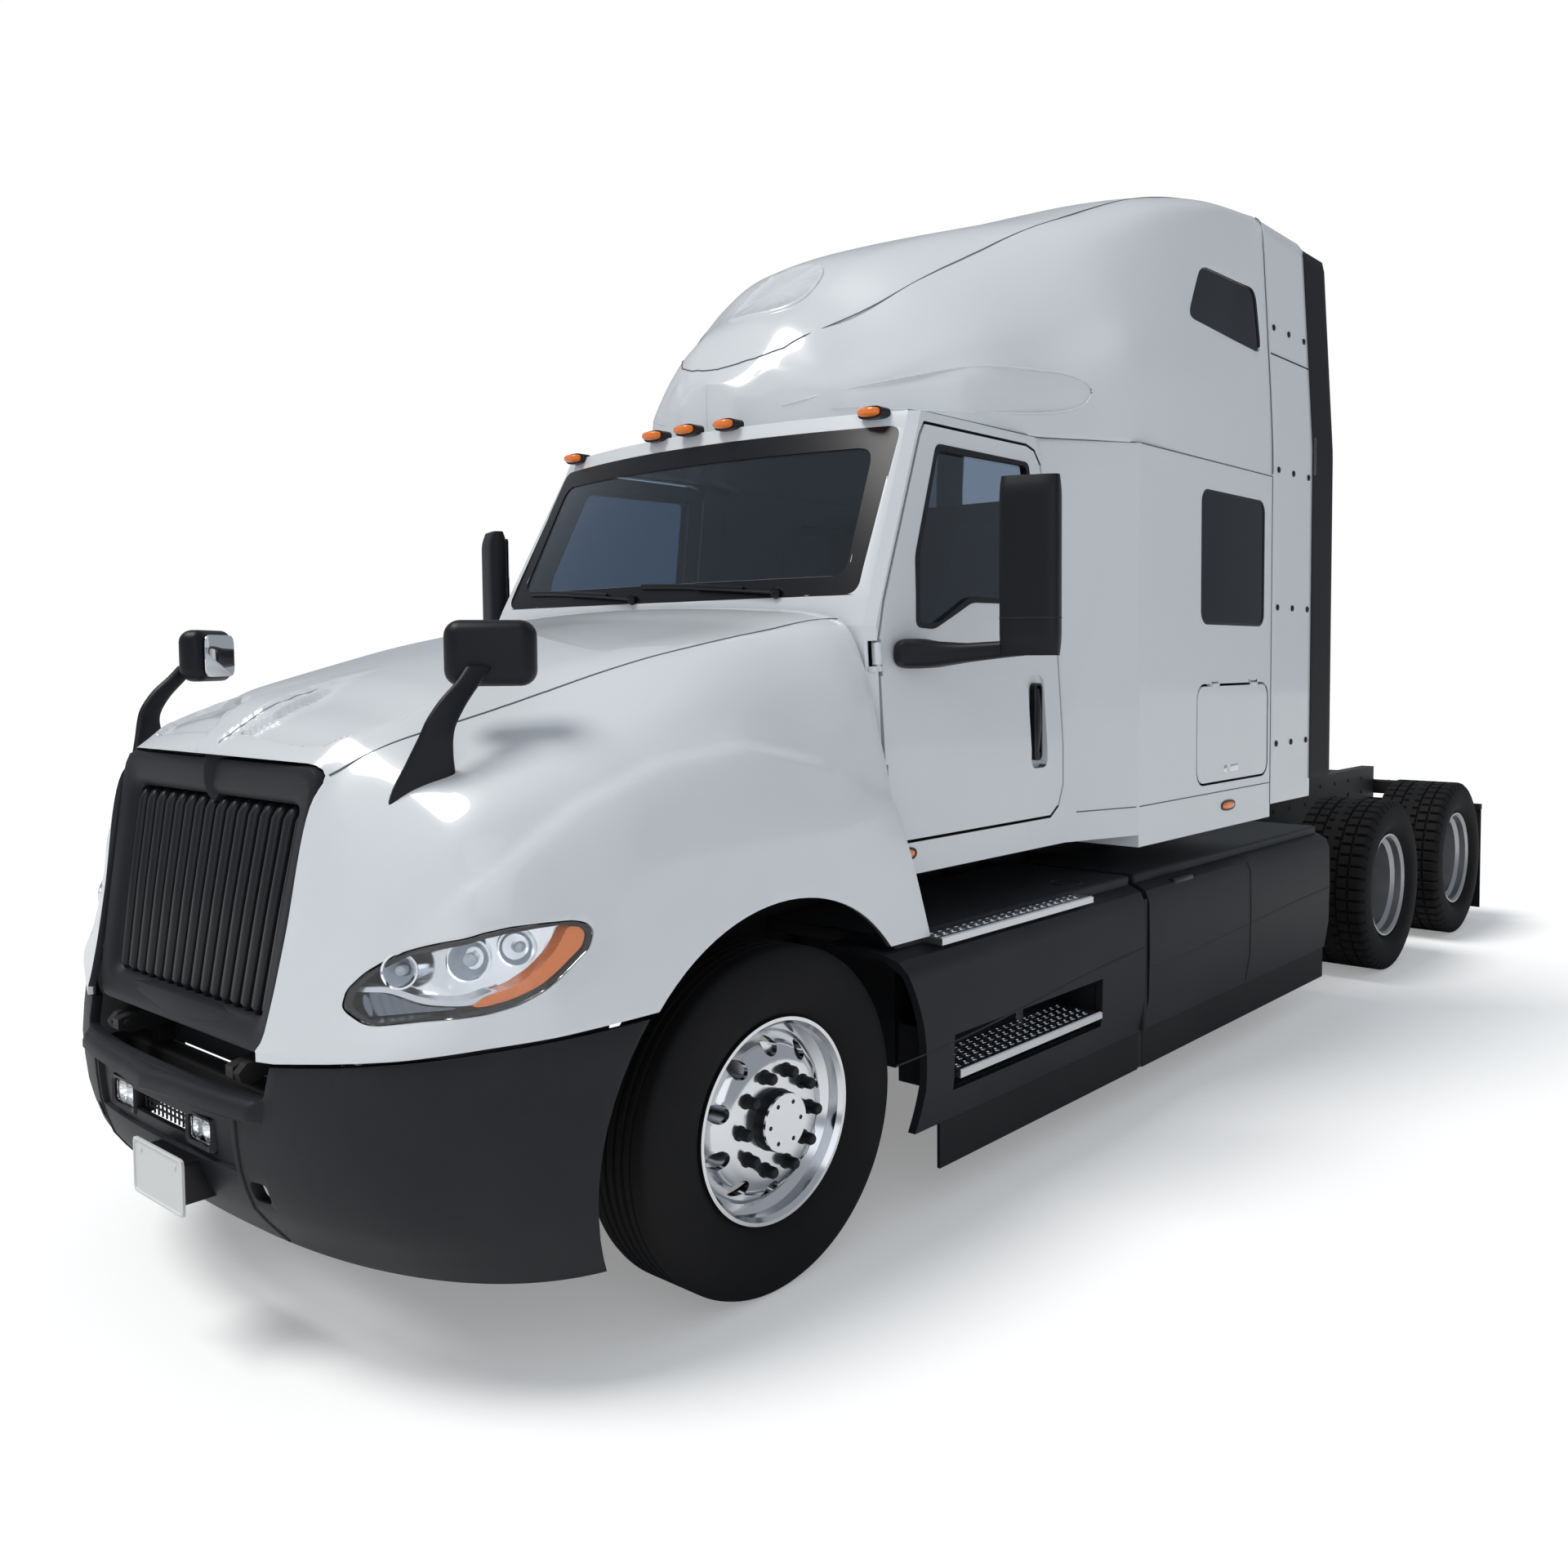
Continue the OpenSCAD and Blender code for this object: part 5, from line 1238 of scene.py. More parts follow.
@dataclass
class Bumper:
    """The three-piece bumper with its lamps and the blank plate."""

    wall: float = 28.0
    hem: tuple = ((0, 833), (540, 833), (750, 856), (967, 886), (1092, 906), (1250, 930))
    rows: tuple = ((300, 1065, 1205, .8), (330, 1100, 1207, .8), (360, 1125, 1208, .8),
                   (405, 1160, 1210, .79),
                   (450, 1190, 1212, .78), (505, 1209, 1214, .78), (560, 1223, 1216, .78),
                   (630, 1231, 1218, .78), (700, 1235, 1220, .78), (780, 1224, 1221, .77),
                   (860, 1206, 1221, .75), (945, 1185, 1222, .73))

    @staticmethod
    def plan(nose: float, half: float, power: float, count: int = 97) -> Array:
        """x = 440 + (nose - 440) sin(t)^r and y = half cos(t)^r from one end round to the other.

        Args:
            nose: How far forward it reaches.
            half: Half its width.
            power: r.
            count: How many points it gets.

        Returns:
            The plan's points.
        """
        t = np.linspace(0, math.pi, count)
        s, c = np.sin(t), np.cos(t)
        x = 440 + (nose - 440) * np.maximum(s, 0) ** power
        y = half * np.sign(c) * np.abs(c) ** power
        return np.stack([x, y], -1)

    def shell(self) -> Array:
        """P(u, v) with u up the bumper and v round its plan."""
        return np.stack([np.insert(self.plan(nose, half, power), 2, z, axis=1)
                         for z, nose, half, power in self.rows])

    def patch(self, ys: Array, zs: Array) -> Array:
        """P(u, v) on the bumper's outside.

        Args:
            ys: Distances from the centreline.
            zs: Heights.

        Returns:
            The points at their crossings, a row for each height.
        """
        skin = self.shell()
        at_rows = np.stack([np.interp(ys, row[::-1, 1], row[::-1, 0]) for row in skin])
        levels = skin[:, 0, 2]
        x = np.stack([np.interp(zs, levels, at_rows[:, i]) for i in range(len(ys))], 1)
        y, z = np.broadcast_to(ys, x.shape), np.broadcast_to(zs[:, None], x.shape)
        return np.stack([x, y, z], -1)

    def build(self) -> None:
        """Builds and places every piece of the bumper."""
        body = to_mesh("bumper_shell", panel(self.shell(), self.wall), 0.2)
        top = [*self.hem, (1250, 1100), (-1250, 1100), *[(-y, z) for y, z in self.hem[:0:-1]]]
        ring = np.linspace(0, 2 * math.pi, 72, endpoint=False)
        arch = np.stack([668 * np.cos(ring), 506 + 668 * np.sin(ring)], -1)
        slot = rounded([(-210, 590), (210, 590), (190, 648), (-190, 648)], 12)
        notch = rounded([(-548, 752), (548, 752), (560, 900), (-560, 900)], 20)
        lamp = [rounded([(s * 165, 576), (s * 315, 576), (s * 315, 654), (s * 165, 654)][::s], 16)
                for s in (1, -1)]
        tow = [oblong(34, 28, 18) + [y, 503] for y in (496, -496)]
        inset = panel(self.patch(np.linspace(-420, 420, 43), np.linspace(548, 690, 9)), 22, 9)
        carve(body, [prism(top, "X", 300, 1400), prism(arch, "Y", -1300, 1300),
                     prism(notch, "X", 900, 1400), inset,
                     *[prism(hole, "X", 1000, 1400) for hole in (slot, *lamp, *tow)]])
        place("bumper_shell", body, CHARCOAL, "chassis", ("bumper",), 28, 3)
        self.trim()
        self.lamps()
        self.plate()

    def trim(self) -> None:
        """Seams, the lower lip, the crash beam behind and the dark grid in the slot."""
        seams = []
        skin = self.shell()[1:-1]
        for s in (1, -1):
            line = np.array([[np.interp(s * 440, row[::-1, 1], row[::-1, 0]), s * 440, row[0, 2]]
                             for row in skin if row[0, 2] < 745])
            seams.append(tube(line + [0.5, 0, 0], 4, 8, up=(0, 1, 0)))
        place("bumper_seams", joined(seams), SEAM, "chassis")
        beam = rounded_box((1010, -620, 642), (1085, 620, 702), 12)
        brackets = [rounded_box((1010, s * 409 - 23, 692), (1060, s * 409 + 23, 800), 6) for s in (1, -1)]
        brackets += [rounded_box((1040, min(s * 560, s * 620), 644), (1172, max(s * 560, s * 620), 700), 6)
                     for s in (1, -1)]
        place("bumper_beam", joined([beam, *brackets]), CHASSIS, "chassis", angle=35)
        mesh = [tube([(1190, y, 586), (1190, y, 652)], 3, 6, up=(0, 1, 0))
                for y in np.arange(-195, 200, 26.0)]
        mesh += [tube([(1190, -205, z), (1190, 205, z)], 3, 6) for z in (603, 619, 635)]
        place("bumper_slot_grid", joined(mesh), GLOSS_BLACK, "chassis")
        ys = np.linspace(-552, 552, 93)
        nose = 10 * np.maximum(0, 1 - np.abs(ys) / 150)
        bar = []
        for z, d in ((692, 0), (695, 12), (703, 20), (722, 22), (738, 18), (748, 8), (749, -14), (749, -27)):
            out = np.where(np.abs(ys) > 520, (552 - np.abs(ys)) / 32, 1) * max(d, 0) + min(d, 0)
            row = self.patch(ys, np.array([float(z)]))[0]
            bar.append(row + np.stack([out + nose * (d > 0), np.zeros(93), -6 * nose / 10], -1))
        bar.append(bar[-1] * [1, 1, 0] + [0, 0, 694])
        bar.append(bar[0] + [-26, 0, 2])
        place("bumper_bar", grid_surface(np.stack(bar), wrap_u=True), CHARCOAL, "chassis", angle=40)
        # Painted shade: dark sheets behind the notch and behind the lower opening, standing for the shade
        # there.
        notch_shade = rounded_box((1012, -600, 706), (1018, 600, 836), 2)
        lower = rounded_box((1000, -640, 480), (1006, 640, 640), 2)
        place("bumper_baffle", joined([notch_shade, lower]), SEAM, "chassis")

    def lamps(self) -> None:
        """A fog lamp each side of the slot: housing, reflector and clear cover."""
        housings, covers, bowls = [], [], []
        for s in (1, -1):
            centre = np.array([1205, s * 240, 617.0])
            frame_loops = []
            for w, h, d in ((80, 50, -40), (80, 50, 2), (74, 44, 12), (64, 34, 8), (61, 31, -8),
                            (61, 31, -40)):
                frame_loops.append(np.insert(spaced(oblong(w, h, 15), 60), 0, d, axis=1) + centre)
            housings.append(grid_surface(np.stack(frame_loops), wrap_u=True, wrap_v=True))
            covers.append(prism(oblong(61, 31, 14), "X", -2, 2).moved(centre))
            for dy in (-30.5, 30.5):
                bowl = lathe([[0, -30], [15, -27], [25, -14], [28, -4], [30.5, -4], [27, -18], [15, -32],
                              [0, -35]], (0, 0, 0), 32).turned(-90)
                bowls.append(bowl.moved(centre + [0, dy, 0]))
        place("fog_lamp_housings", joined(housings), GLOSS_BLACK, "chassis", ("fog_lamps",), 38)
        place("fog_lamp_covers", joined(covers), LENS, "chassis")
        place("fog_lamp_bowls", joined(bowls), CHROME, "chassis", angle=40)

    def plate(self) -> None:
        """The blank number plate with a raised rim and two bolts, on its plinth."""
        loops = [np.insert(spaced(oblong(w, h, 14), 72), 0, d, axis=1) + [1262, 112.5, 481]
                 for w, h, d in ((152, 76, 0), (152, 76, 6.5), (149, 73, 8), (146, 70, 7.6), (144, 68, 4))]
        plate = grid_surface(np.stack(loops), wrap_v=True, caps=True)
        heads = [bolt((1265.5, 112.5 + y, 529), (1, 0, 0), 7, 3.5, 12) for y in (-105, 105)]
        place("number_plate_blank", joined([plate, *heads]), PLATE, "chassis", ("number_plate",), 35)
        plinth = rounded_box((1160, -10, 425), (1261.5, 235, 537), 8)
        place("number_plate_plinth", plinth, GLOSS_BLACK, "chassis", angle=38)


# ---- Cab --------------------------------------------------------------------------------------

@dataclass
class Cab:
    """Cab, sleeper and roof with their glass, doors and mirrors."""

    sleeper_half: float = 1212.0
    roof_rows: list = field(default_factory=lambda: [
        (-835, [(0, 2900), (50, 2895), (95, 2870), (110, 2850), (120, 2830), (120, 2780)]),
        (-862, [(0, 2928), (120, 2912), (160, 2891), (190, 2870), (215, 2820), (215, 2780)]),
        (-920, [(0, 3000), (180, 2985), (225, 2965), (270, 2940), (335, 2850), (345, 2780)]),
        (-1010, [(0, 3145), (200, 3125), (330, 3060), (450, 2940), (515, 2840), (520, 2780)]),
        (-1180, [(0, 3290), (230, 3262), (400, 3185), (560, 3055), (680, 2910), (700, 2820)]),
        (-1400, [(0, 3485), (300, 3455), (500, 3370), (700, 3205), (840, 3010), (890, 2850)]),
        (-1660, [(0, 3600), (400, 3578), (650, 3500), (840, 3315), (950, 3080), (990, 2850)]),
        (-2050, [(0, 3728), (500, 3715), (850, 3660), (990, 3560), (1110, 3270), (1195, 2950)]),
        (-2500, [(0, 3880), (600, 3872), (930, 3842), (1075, 3765), (1160, 3400), (1212, 2950)]),
        (-2950, [(0, 3960), (600, 3954), (980, 3935), (1112, 3876), (1165, 3500), (1212, 2900)]),
        (-3349.5, [(0, 3985), (600, 3982), (1000, 3972), (1110, 3935), (1150, 3880), (1212, 2900)])])

    def half_at(self, z: Array) -> Array:
        """Half the width of the cab's side at a height."""
        return np.interp(z, [1120, 1500, 2000, 2640, 2700], [1085, 1085, 1049, 972, 966])

    def nose_at(self, z: Array, y: Array) -> Array:
        """Where the cab's front lies at a height and distance from the centreline."""
        nose = np.interp(z, [2045, 2640, 2700], [-555, -735, -755])
        sweep = np.interp(z, [1950, 2045, 2640, 2700], [0, 40, 145, 150])
        return nose - sweep * (np.abs(y) / (self.half_at(z) - 30)) ** 2

    def build(self) -> None:
        """Builds and places every piece of the cab."""
        dress(("cab_shell",), CAB_PAINT, 28)
        dress(("sleeper_shell",), BUNK_PAINT, 28)
        self.roof()
        self.screen()
        self.wipers()
        for name, side in SIDES.items():
            self.door(name, side)
            self.door_mirror(name, side)
            self.sleeper_side(name, side)
            self.extender(name, side)
        self.inside()

    def roof(self) -> None:
        """The raised roof: its skin, two side windows, seams, oval and scoops."""
        rows = [(x, [*points, (points[-1][0], 2700.5)]) for x, points in self.roof_rows]
        rows.insert(0, (-834.6, [(y * 0.01, z) for y, z in rows[0][1]]))
        grid = loft(rows, 10, (2, 6, 6, 7, 8, 8, 8, 9, 10, 10, 9))
        self.roof_grid = grid
        skin = to_mesh("roof_skin", panel(grid, 30), 0.3)
        window = rounded([(-2530, 3300), (-3240, 3260), (-3215, 3560), (-2700, 3560)], 60)
        carve(skin, [prism(window, "Y", 900, 1400), prism(window, "Y", -1400, -900)])
        place("roof_skin", skin, ROOF_PAINT, "chassis", ("roof_cap",), 30, 2)
        for name, side in SIDES.items():
            pane = to_mesh("pane", panel(grid, 8, -8), 0.3)
            outline = rounded([(-2534, 3304), (-3236, 3264), (-3211, 3556), (-2702, 3556)], 58)
            carve(pane, [prism(outline, "Y", 900, 1400).on(side)], keep_inside=True)
            place(f"roof_window_{name}", pane, PRIVACY, "chassis", angle=30)
        crown = [(-970, 283, 3018), (-1100, 385, 3100), (-1234, 487, 3181), (-1400, 578, 3300),
                 (-1591, 673, 3413), (-1800, 752, 3535), (-2011, 827, 3645), (-2250, 890, 3750),
                 (-2500, 945, 3838), (-2900, 985, 3925), (-3330, 1015, 3970)]
        lines = [tube(self.on_roof(crown, side), 2.5, 8) for side in (1, -1)]
        lines.append(tube(self.nose_line(), 2.5, 8))
        back = [(-3341, 1214, 2705), (-3341, 1214, 2900), (-3341, 1150, 3880), (-3341, 1110, 3935)]
        lines += [tube(self.on_roof(back, side), 2.5, 8, up=(1, 0, 0)) for side in (1, -1)]
        place("roof_seams", joined(lines), GAP, "chassis")
        self.pill()
        self.scoops()
        self.belt()

    def nose_line(self) -> Array:
        """The seam that crosses the roof's nose between its two crown seams."""
        points = [(-970, 283, 3018), (-935, 200, 2990), (-905, 88, 2970), (-895, 0, 2964)]
        half = spaced(self.on_roof(points, 1), 24, closed=False)
        return np.concatenate([half, (half * [1, -1, 1])[::-1][1:]])

    def sample_roof(self, x: Array, y: Array) -> Array:
        """Points on the roof's outside: heights of the six nearest, weighted by 1 / (distance^2 + 25).

        Args:
            x: Stations.
            y: Distances from the centreline.

        Returns:
            The points.
        """
        flat = self.roof_grid[self.roof_grid[..., 2] > 2950]
        out = []
        for px, py in zip(x.ravel(), y.ravel()):
            far = (flat[:, 0] - px) ** 2 + (flat[:, 1] - py) ** 2
            near = np.argpartition(far, 6)[:6]
            w = 1 / (far[near] + 25)
            out.append((flat[near, 2] * w).sum() / w.sum())
        z = np.array(out).reshape(x.shape)
        return np.stack([x, y, z], -1)

    def pill(self) -> None:
        """A shallow raised oval on the front of the roof with a soft edge."""
        t = np.linspace(0, 2 * math.pi, 72, endpoint=False)
        rings = []
        for k, lift in ((1.0, 1), (0.985, 9), (0.95, 13), (0.9, 8), (0.86, 4), (0.5, 5), (0.02, 6)):
            x = -1215 + 150 * k * np.sign(np.cos(t)) * np.abs(np.cos(t)) ** 0.8
            y = 210 * k * np.sign(np.sin(t)) * np.abs(np.sin(t)) ** 0.7
            rings.append(self.sample_roof(x, y) + [0, 0, lift])
        rings = [rings[0] - [0, 0, 10]] + rings
        place("roof_pill", grid_surface(np.stack(rings), wrap_v=True, caps=True), PAINT, "chassis", angle=50)

    def scoops(self) -> None:
        """A long soft hollow over each door, drawn by its raised rim."""
        rim = [(-905, 330, 2790), (-1065, 568, 2850), (-1295, 775, 2915), (-1592, 944, 2958),
               (-1850, 1081, 2945), (-1905, 1118, 2880), (-1842, 1086, 2815), (-1620, 985, 2782),
               (-1398, 889, 2765), (-1150, 690, 2768), (-1000, 500, 2772)]
        radius = np.interp(np.linspace(0, 1, 60), [0, .15, .85, 1], [2, 7, 7, 2])
        lines = [tube(self.on_roof(rim, side), radius, 10, 0.6) for side in (1, -1)]
        place("roof_scoops", joined(lines), PAINT, "chassis", angle=60)

    def belt(self) -> None:
        """The seam between the roof and the cab round both sides, the seam up the sleeper's back corner, and
        a dark line of painted shade along the crease at the foot of the doors and sleeper.
        """
        side = [(-905, 936), (-1000, 962), (-1690, 966), (-2050, 1212), (-3350, 1212)]
        line = spaced(np.asarray(side, float), 60, closed=False)
        path = np.concatenate([line, np.full((60, 1), 2701.0)], 1)
        down = tube([(-3350, 1212, z) for z in (1132, 2000, 2699)], 3, 8, up=(1, 0, 0))
        # Painted shade: a dark line along the crease at the foot of the doors and sleeper.
        sill_crease_shade = np.concatenate([line[12:], np.full((48, 1), 1236.0)], 1)
        sill_crease_shade[:, 1] = np.where(sill_crease_shade[:, 0] > -1690, 1085, np.interp(-sill_crease_shade[:, 0], [1690, 2050], [1085, 1212]))
        lines = joined([tube(path, 3, 8), down, tube(sill_crease_shade[8:], 2.5, 8)])
        place("cab_seams", lines.pair(), GAP, "chassis")

    def on_roof(self, path: list, side: int) -> Array:
        """A line through points laid on the roof's outside.

        Args:
            path: The points, roughly on the skin of the +Y side.
            side: 1 for +Y and -1 for -Y.

        Returns:
            Sixty points, 2.5 mm off the skin.
        """
        line = laid_on(self.roof_grid, np.asarray(path, float) * [1, side, 1], 60, 7)
        out = line * [0, 1, 1] - [0, 0, 2400]
        return line + out / np.linalg.norm(out, axis=1, keepdims=True) * 2.5

    def screen_grid(self, low: float, high: float, grow: float, nu: int = 40, nv: int = 30) -> Array:
        """P(u, v) on the cab's front between the windscreen's leaning sides.

        Args:
            low: The lowest height.
            high: The highest.
            grow: How far it reaches past the sides.
            nu: Points across.
            nv: Points up.

        Returns:
            The points, a row for each height.
        """
        z = np.linspace(low, high, nv)[:, None]
        half = np.interp(z, [2057, 2642], [968, 922]) + grow
        y = half * np.linspace(-1, 1, nu)[None, :]
        zz = np.broadcast_to(z, y.shape)
        return np.stack([self.nose_at(zz, y), y, zz], -1)

    def screen(self) -> None:
        """The curved windscreen with a black band printed round its edge."""
        glass = to_mesh("pane", panel(self.screen_grid(2057, 2640, 0), 9, -2), 0.2)
        outline = rounded([(-968, 2057), (968, 2057), (922, 2641), (-922, 2641)], 40)
        carve(glass, [prism(outline, "X", -1200, -300)], keep_inside=True)
        place("windscreen_pane", glass, SCREEN, "chassis", ("windscreen",), 30)
        band = to_mesh("band", panel(self.screen_grid(2052, 2646, 6), 3, 1), 0.2)
        inner = rounded([(-893, 2118), (893, 2118), (852, 2572), (-852, 2572)], 60)
        carve(band, [prism(rounded([(-973, 2052), (973, 2052), (927, 2646), (-927, 2646)], 44), "X",
                           -1200, -300)], keep_inside=True)
        carve(band, [prism(inner, "X", -1200, -300)])
        place("windscreen_band", band, GLOSS_BLACK, "chassis", angle=30)
        lamps, feet = [], []
        for x, y, z in ((-720, 0, 2700), (-734, 200, 2700), (-734, -200, 2700), (-832, 823, 2684),
                        (-832, -823, 2684)):
            lamps.append(limb([((x + 6 + d, y, z + 12), (0, 46 * k, 0), (0, 0, 16 * k))
                               for d, k in ((-34, 1), (0, 1), (14, 0.9), (22, 0.6), (25, 0.2))], 24, 0.7))
            feet.append(limb([((x + d, y, z + 11), (0, 54, 0), (0, 0, 22)) for d in (-50, -6, 0)], 24, 0.7))
        place("marker_lamps", joined(lamps), AMBER, "chassis", angle=40)
        place("marker_lamp_feet", joined(feet), GLOSS_BLACK, "chassis", angle=40)

    def wipers(self) -> None:
        """Two wipers lying along the foot of the windscreen."""
        parts = []
        for pivot, tip in ((620, -60), (-120, -800)):
            y = np.linspace(pivot, tip, 30)
            z = 2062 + 46 * np.sin(np.linspace(0.15, 1.3, 30))
            x = self.nose_at(z, y) + 14
            path = np.stack([x, y, z], -1)
            parts.append(tube(path[:18], np.linspace(11, 6, 18), 8, 0.6))
            blade = np.stack([self.nose_at(z + 8, y) + 8, y - 20, z + 8], -1)
            parts.append(tube(blade[6:], 7, 8, 1.5))
            hub = lathe([[0, -14], [20, -14], [22, -4], [18, 8], [0, 10]], (0, 0, 0), 24).turned(-75)
            parts.append(hub.moved((x[0] - 2, y[0], z[0])))
        place("wipers", joined(parts), GLOSS_BLACK, "chassis", angle=40)

    def door_grid(self, x0: float, x1: float, z0: float, z1: float) -> Array:
        """P(u, v) on the door's outside between two stations x and two heights z."""
        x, z = np.meshgrid(np.linspace(x0, x1, 24), np.linspace(z0, z1, 40), indexing="ij")
        return np.stack([x, self.half_at(z), z], -1)

    def side_piece(self, outline: Array, radius: float, thickness: float,
                   raise_by: float) -> bpy.types.Object:
        """A sheet on the cab's side.

        Args:
            outline: Its outline in X and Z.
            radius: The radius of its corners.
            thickness: Its thickness.
            raise_by: How far its outside stands off the door.

        Returns:
            The sheet.
        """
        (x0, z0), (x1, z1) = outline.min(0) - 30, outline.max(0) + 30
        grid = self.door_grid(x0, x1, z0, z1)
        sheet = to_mesh("sheet", panel(grid, thickness, raise_by), 0.1)
        carve(sheet, [prism(rounded(outline, radius), "Y", 700, 1300)], keep_inside=True)
        return sheet

    def door(self, name: str, side: int) -> None:
        """A door: dressed shell, inset glass, black seal and capsule handle.

        Args:
            name: left or right.
            side: 1 for +Y and -1 for -Y.
        """
        body = f"door_{name}"
        dress((body,), CAB_PAINT, 28)
        window = [(-800, 1950), (-900, 1945), (-1130, 2045), (-1590, 2045), (-1590, 2590), (-1010, 2590),
                  (-830, 2190)]
        glass = self.side_piece(grown(window, -1), 25, 6, -14)
        seal = self.side_piece(grown(window, 5), 28, 26, 2)
        carve(seal, [prism(rounded(grown(window, -20), 30), "Y", 700, 1300)])
        y = float(self.half_at(1600.0))
        corners = [(-1537, 1453), (-1483, 1453), (-1483, 1747), (-1537, 1747)]
        cup = joined([self.ring(corners, 26, 8, y - 20, y + 2.5),
                      prism(rounded(corners, 26), "Y", y - 14, y - 10)])
        grip = limb([((-1510, 1069 + 10 * math.sin(math.pi * t), 1475 + 250 * t), (15, 0, 0), (0, 8, 0))
                     for t in np.linspace(0, 1, 14)], 16, 0.7)
        step = [((-1510, 1068, z), (19, 0, 0), (0, 12, 0)) for z in (1458, 1476, 1482)]
        parts = joined([cup, grip, limb(step, 16, 0.7)])
        if side < 0:
            for obj in (glass, seal):
                points = np.empty(len(obj.data.vertices) * 3)
                obj.data.vertices.foreach_get("co", points)
                obj.data.vertices.foreach_set("co", (points.reshape(-1, 3) * [1, -1, 1]).ravel())
                obj.data.flip_normals()
        place(f"door_pane_{name}", glass, TINT, body, (f"door_glass_{name}",), 30)
        place(f"door_seal_{name}", seal, GLOSS_BLACK, body, angle=30)
        place(f"door_handle_{name}", parts.on(side), GLOSS_BLACK, body, angle=40)

    def door_mirror(self, name: str, side: int) -> None:
        """The tall door mirror: rounded head, lower cap, two glasses and a swept arm.

        Args:
            name: left or right.
            side: 1 for +Y and -1 for -Y.
        """
        body = f"door_{name}"
        z0, z1 = 1850.0, 2425.0
        stations = []
        for t in np.linspace(0, 1, 25):
            z = z0 + (z1 - z0) * t
            near = min(t, 1 - t)
            end = 0.55 + 0.45 * math.sin(math.pi * near * 4) if near < 0.125 else 1.0
            stations.append(((0, 0, z), (43 * end, 0, 0), (0, 99 * (0.9 + 0.1 * end), 0)))
        head = limb(stations, 32, 0.5).turned(20).moved((-867, 1465, 0))
        arm = limb([((x, y, z), (p, 0, 0), (0, 0, q))
                    for x, y, z, p, q in ((-745, 1070, 1858, 90, 50), (-748, 1105, 1858, 98, 50),
                                          (-775, 1150, 1855, 64, 44), (-815, 1250, 1860, 44, 32),
                                          (-858, 1360, 1870, 36, 28), (-880, 1425, 1876, 34, 27))], 24, 0.7)
        place(f"door_mirror_head_{name}", joined([head, arm]).on(side), SATIN_BLACK, body,
              (f"door_mirror_{name}",), 42)
        seam = limb([((0, 0, z), (44.6, 0, 0), (0, 99.8, 0)) for z in (1968, 1972)], 32, 0.5)
        place(f"door_mirror_seam_{name}", seam.turned(20).moved((-867, 1465, 0)).on(side), SEAM, body)
        panes = [prism(rounded([(-82, low), (82, low), (82, high), (-82, high)], 26), "X", -44.5, -42)
                 for low, high in ((2000, 2395), (1876, 1982))]
        pane = joined(panes).turned(20).moved((-867, 1465, 0))
        place(f"door_mirror_glass_{name}", pane.on(side), MIRROR, body)

    def sleeper_side(self, name: str, side: int) -> None:
        """Sleeper window with its seal, luggage door with latch, and the side marker lamps.

        Args:
            name: left or right.
            side: 1 for +Y and -1 for -Y.
        """
        y = self.sleeper_half
        window = [(-2600, 1985), (-3265, 1985), (-3265, 2575), (-2600, 2575)]
        pane = prism(rounded(window, 60), "Y", y - 12, y - 3)
        replaced = ("side_windows",) if side > 0 else ()
        place(f"sleeper_window_{name}", pane.on(side), PRIVACY, "chassis", replaced)
        seal = self.ring(window, 60, 12, y - 6, y - 0.5)
        place(f"sleeper_window_seal_{name}", seal.on(side), GLOSS_BLACK, "chassis", angle=30)
        body = f"luggage_door_{name}"
        dress((body,), PAINT, 28)
        latch = rounded_box((-2990, y - 6, 1318), (-2910, y + 2.4, 1352), 8)
        cup = lathe([[0, -4], [15, -4], [19, 0], [16, 2.3], [0, 2.3]], (-2860, y, 1335), 32)
        place(f"luggage_latch_{name}", joined([latch, cup]).on(side), POLISHED, body, angle=40)
        lamps, feet = [], []
        for x, z, half in ((-680, 1192, 1085), (-2885, 1168, y)):
            lamps.append(limb([((x, half + d, z), (62 * k, 0, 0), (0, 0, 17 * k))
                               for d, k in ((-6, 1), (5, 0.96), (10, 0.8), (12, 0.4))], 24, 0.8))
            feet.append(limb([((x, half + d, z), (70, 0, 0), (0, 0, 24)) for d in (-8, 3, 5)], 24, 0.8))
        place(f"side_markers_{name}", joined(lamps).on(side), AMBER, "chassis", angle=40)
        place(f"side_marker_feet_{name}", joined(feet).on(side), GLOSS_BLACK, "chassis", angle=40)

    @staticmethod
    def ring(outline: list, radius: float, width: float, y0: float, y1: float) -> Surface:
        """A flat frame along the inside of an outline.

        Args:
            outline: The outline in X and Z.
            radius: The radius of its corners.
            width: The frame's width.
            y0: Its back.
            y1: Its front.

        Returns:
            The frame.
        """
        p = np.asarray(outline, float)
        middle = p.mean(0)
        shrunk = middle + (p - middle) * (1 - width * 2 / np.ptp(p, axis=0))
        outer, inner = spaced(rounded(outline, radius), 96), spaced(rounded(shrunk, radius - width), 96)
        inner = np.roll(inner, -np.argmin(((inner - outer[0]) ** 2).sum(1)), 0)
        loops = [np.insert(o, 1, w, axis=1) for o, w in ((outer, y0), (outer, y1), (inner, y1), (inner, y0))]
        return grid_surface(np.stack(loops), wrap_u=True, wrap_v=True)

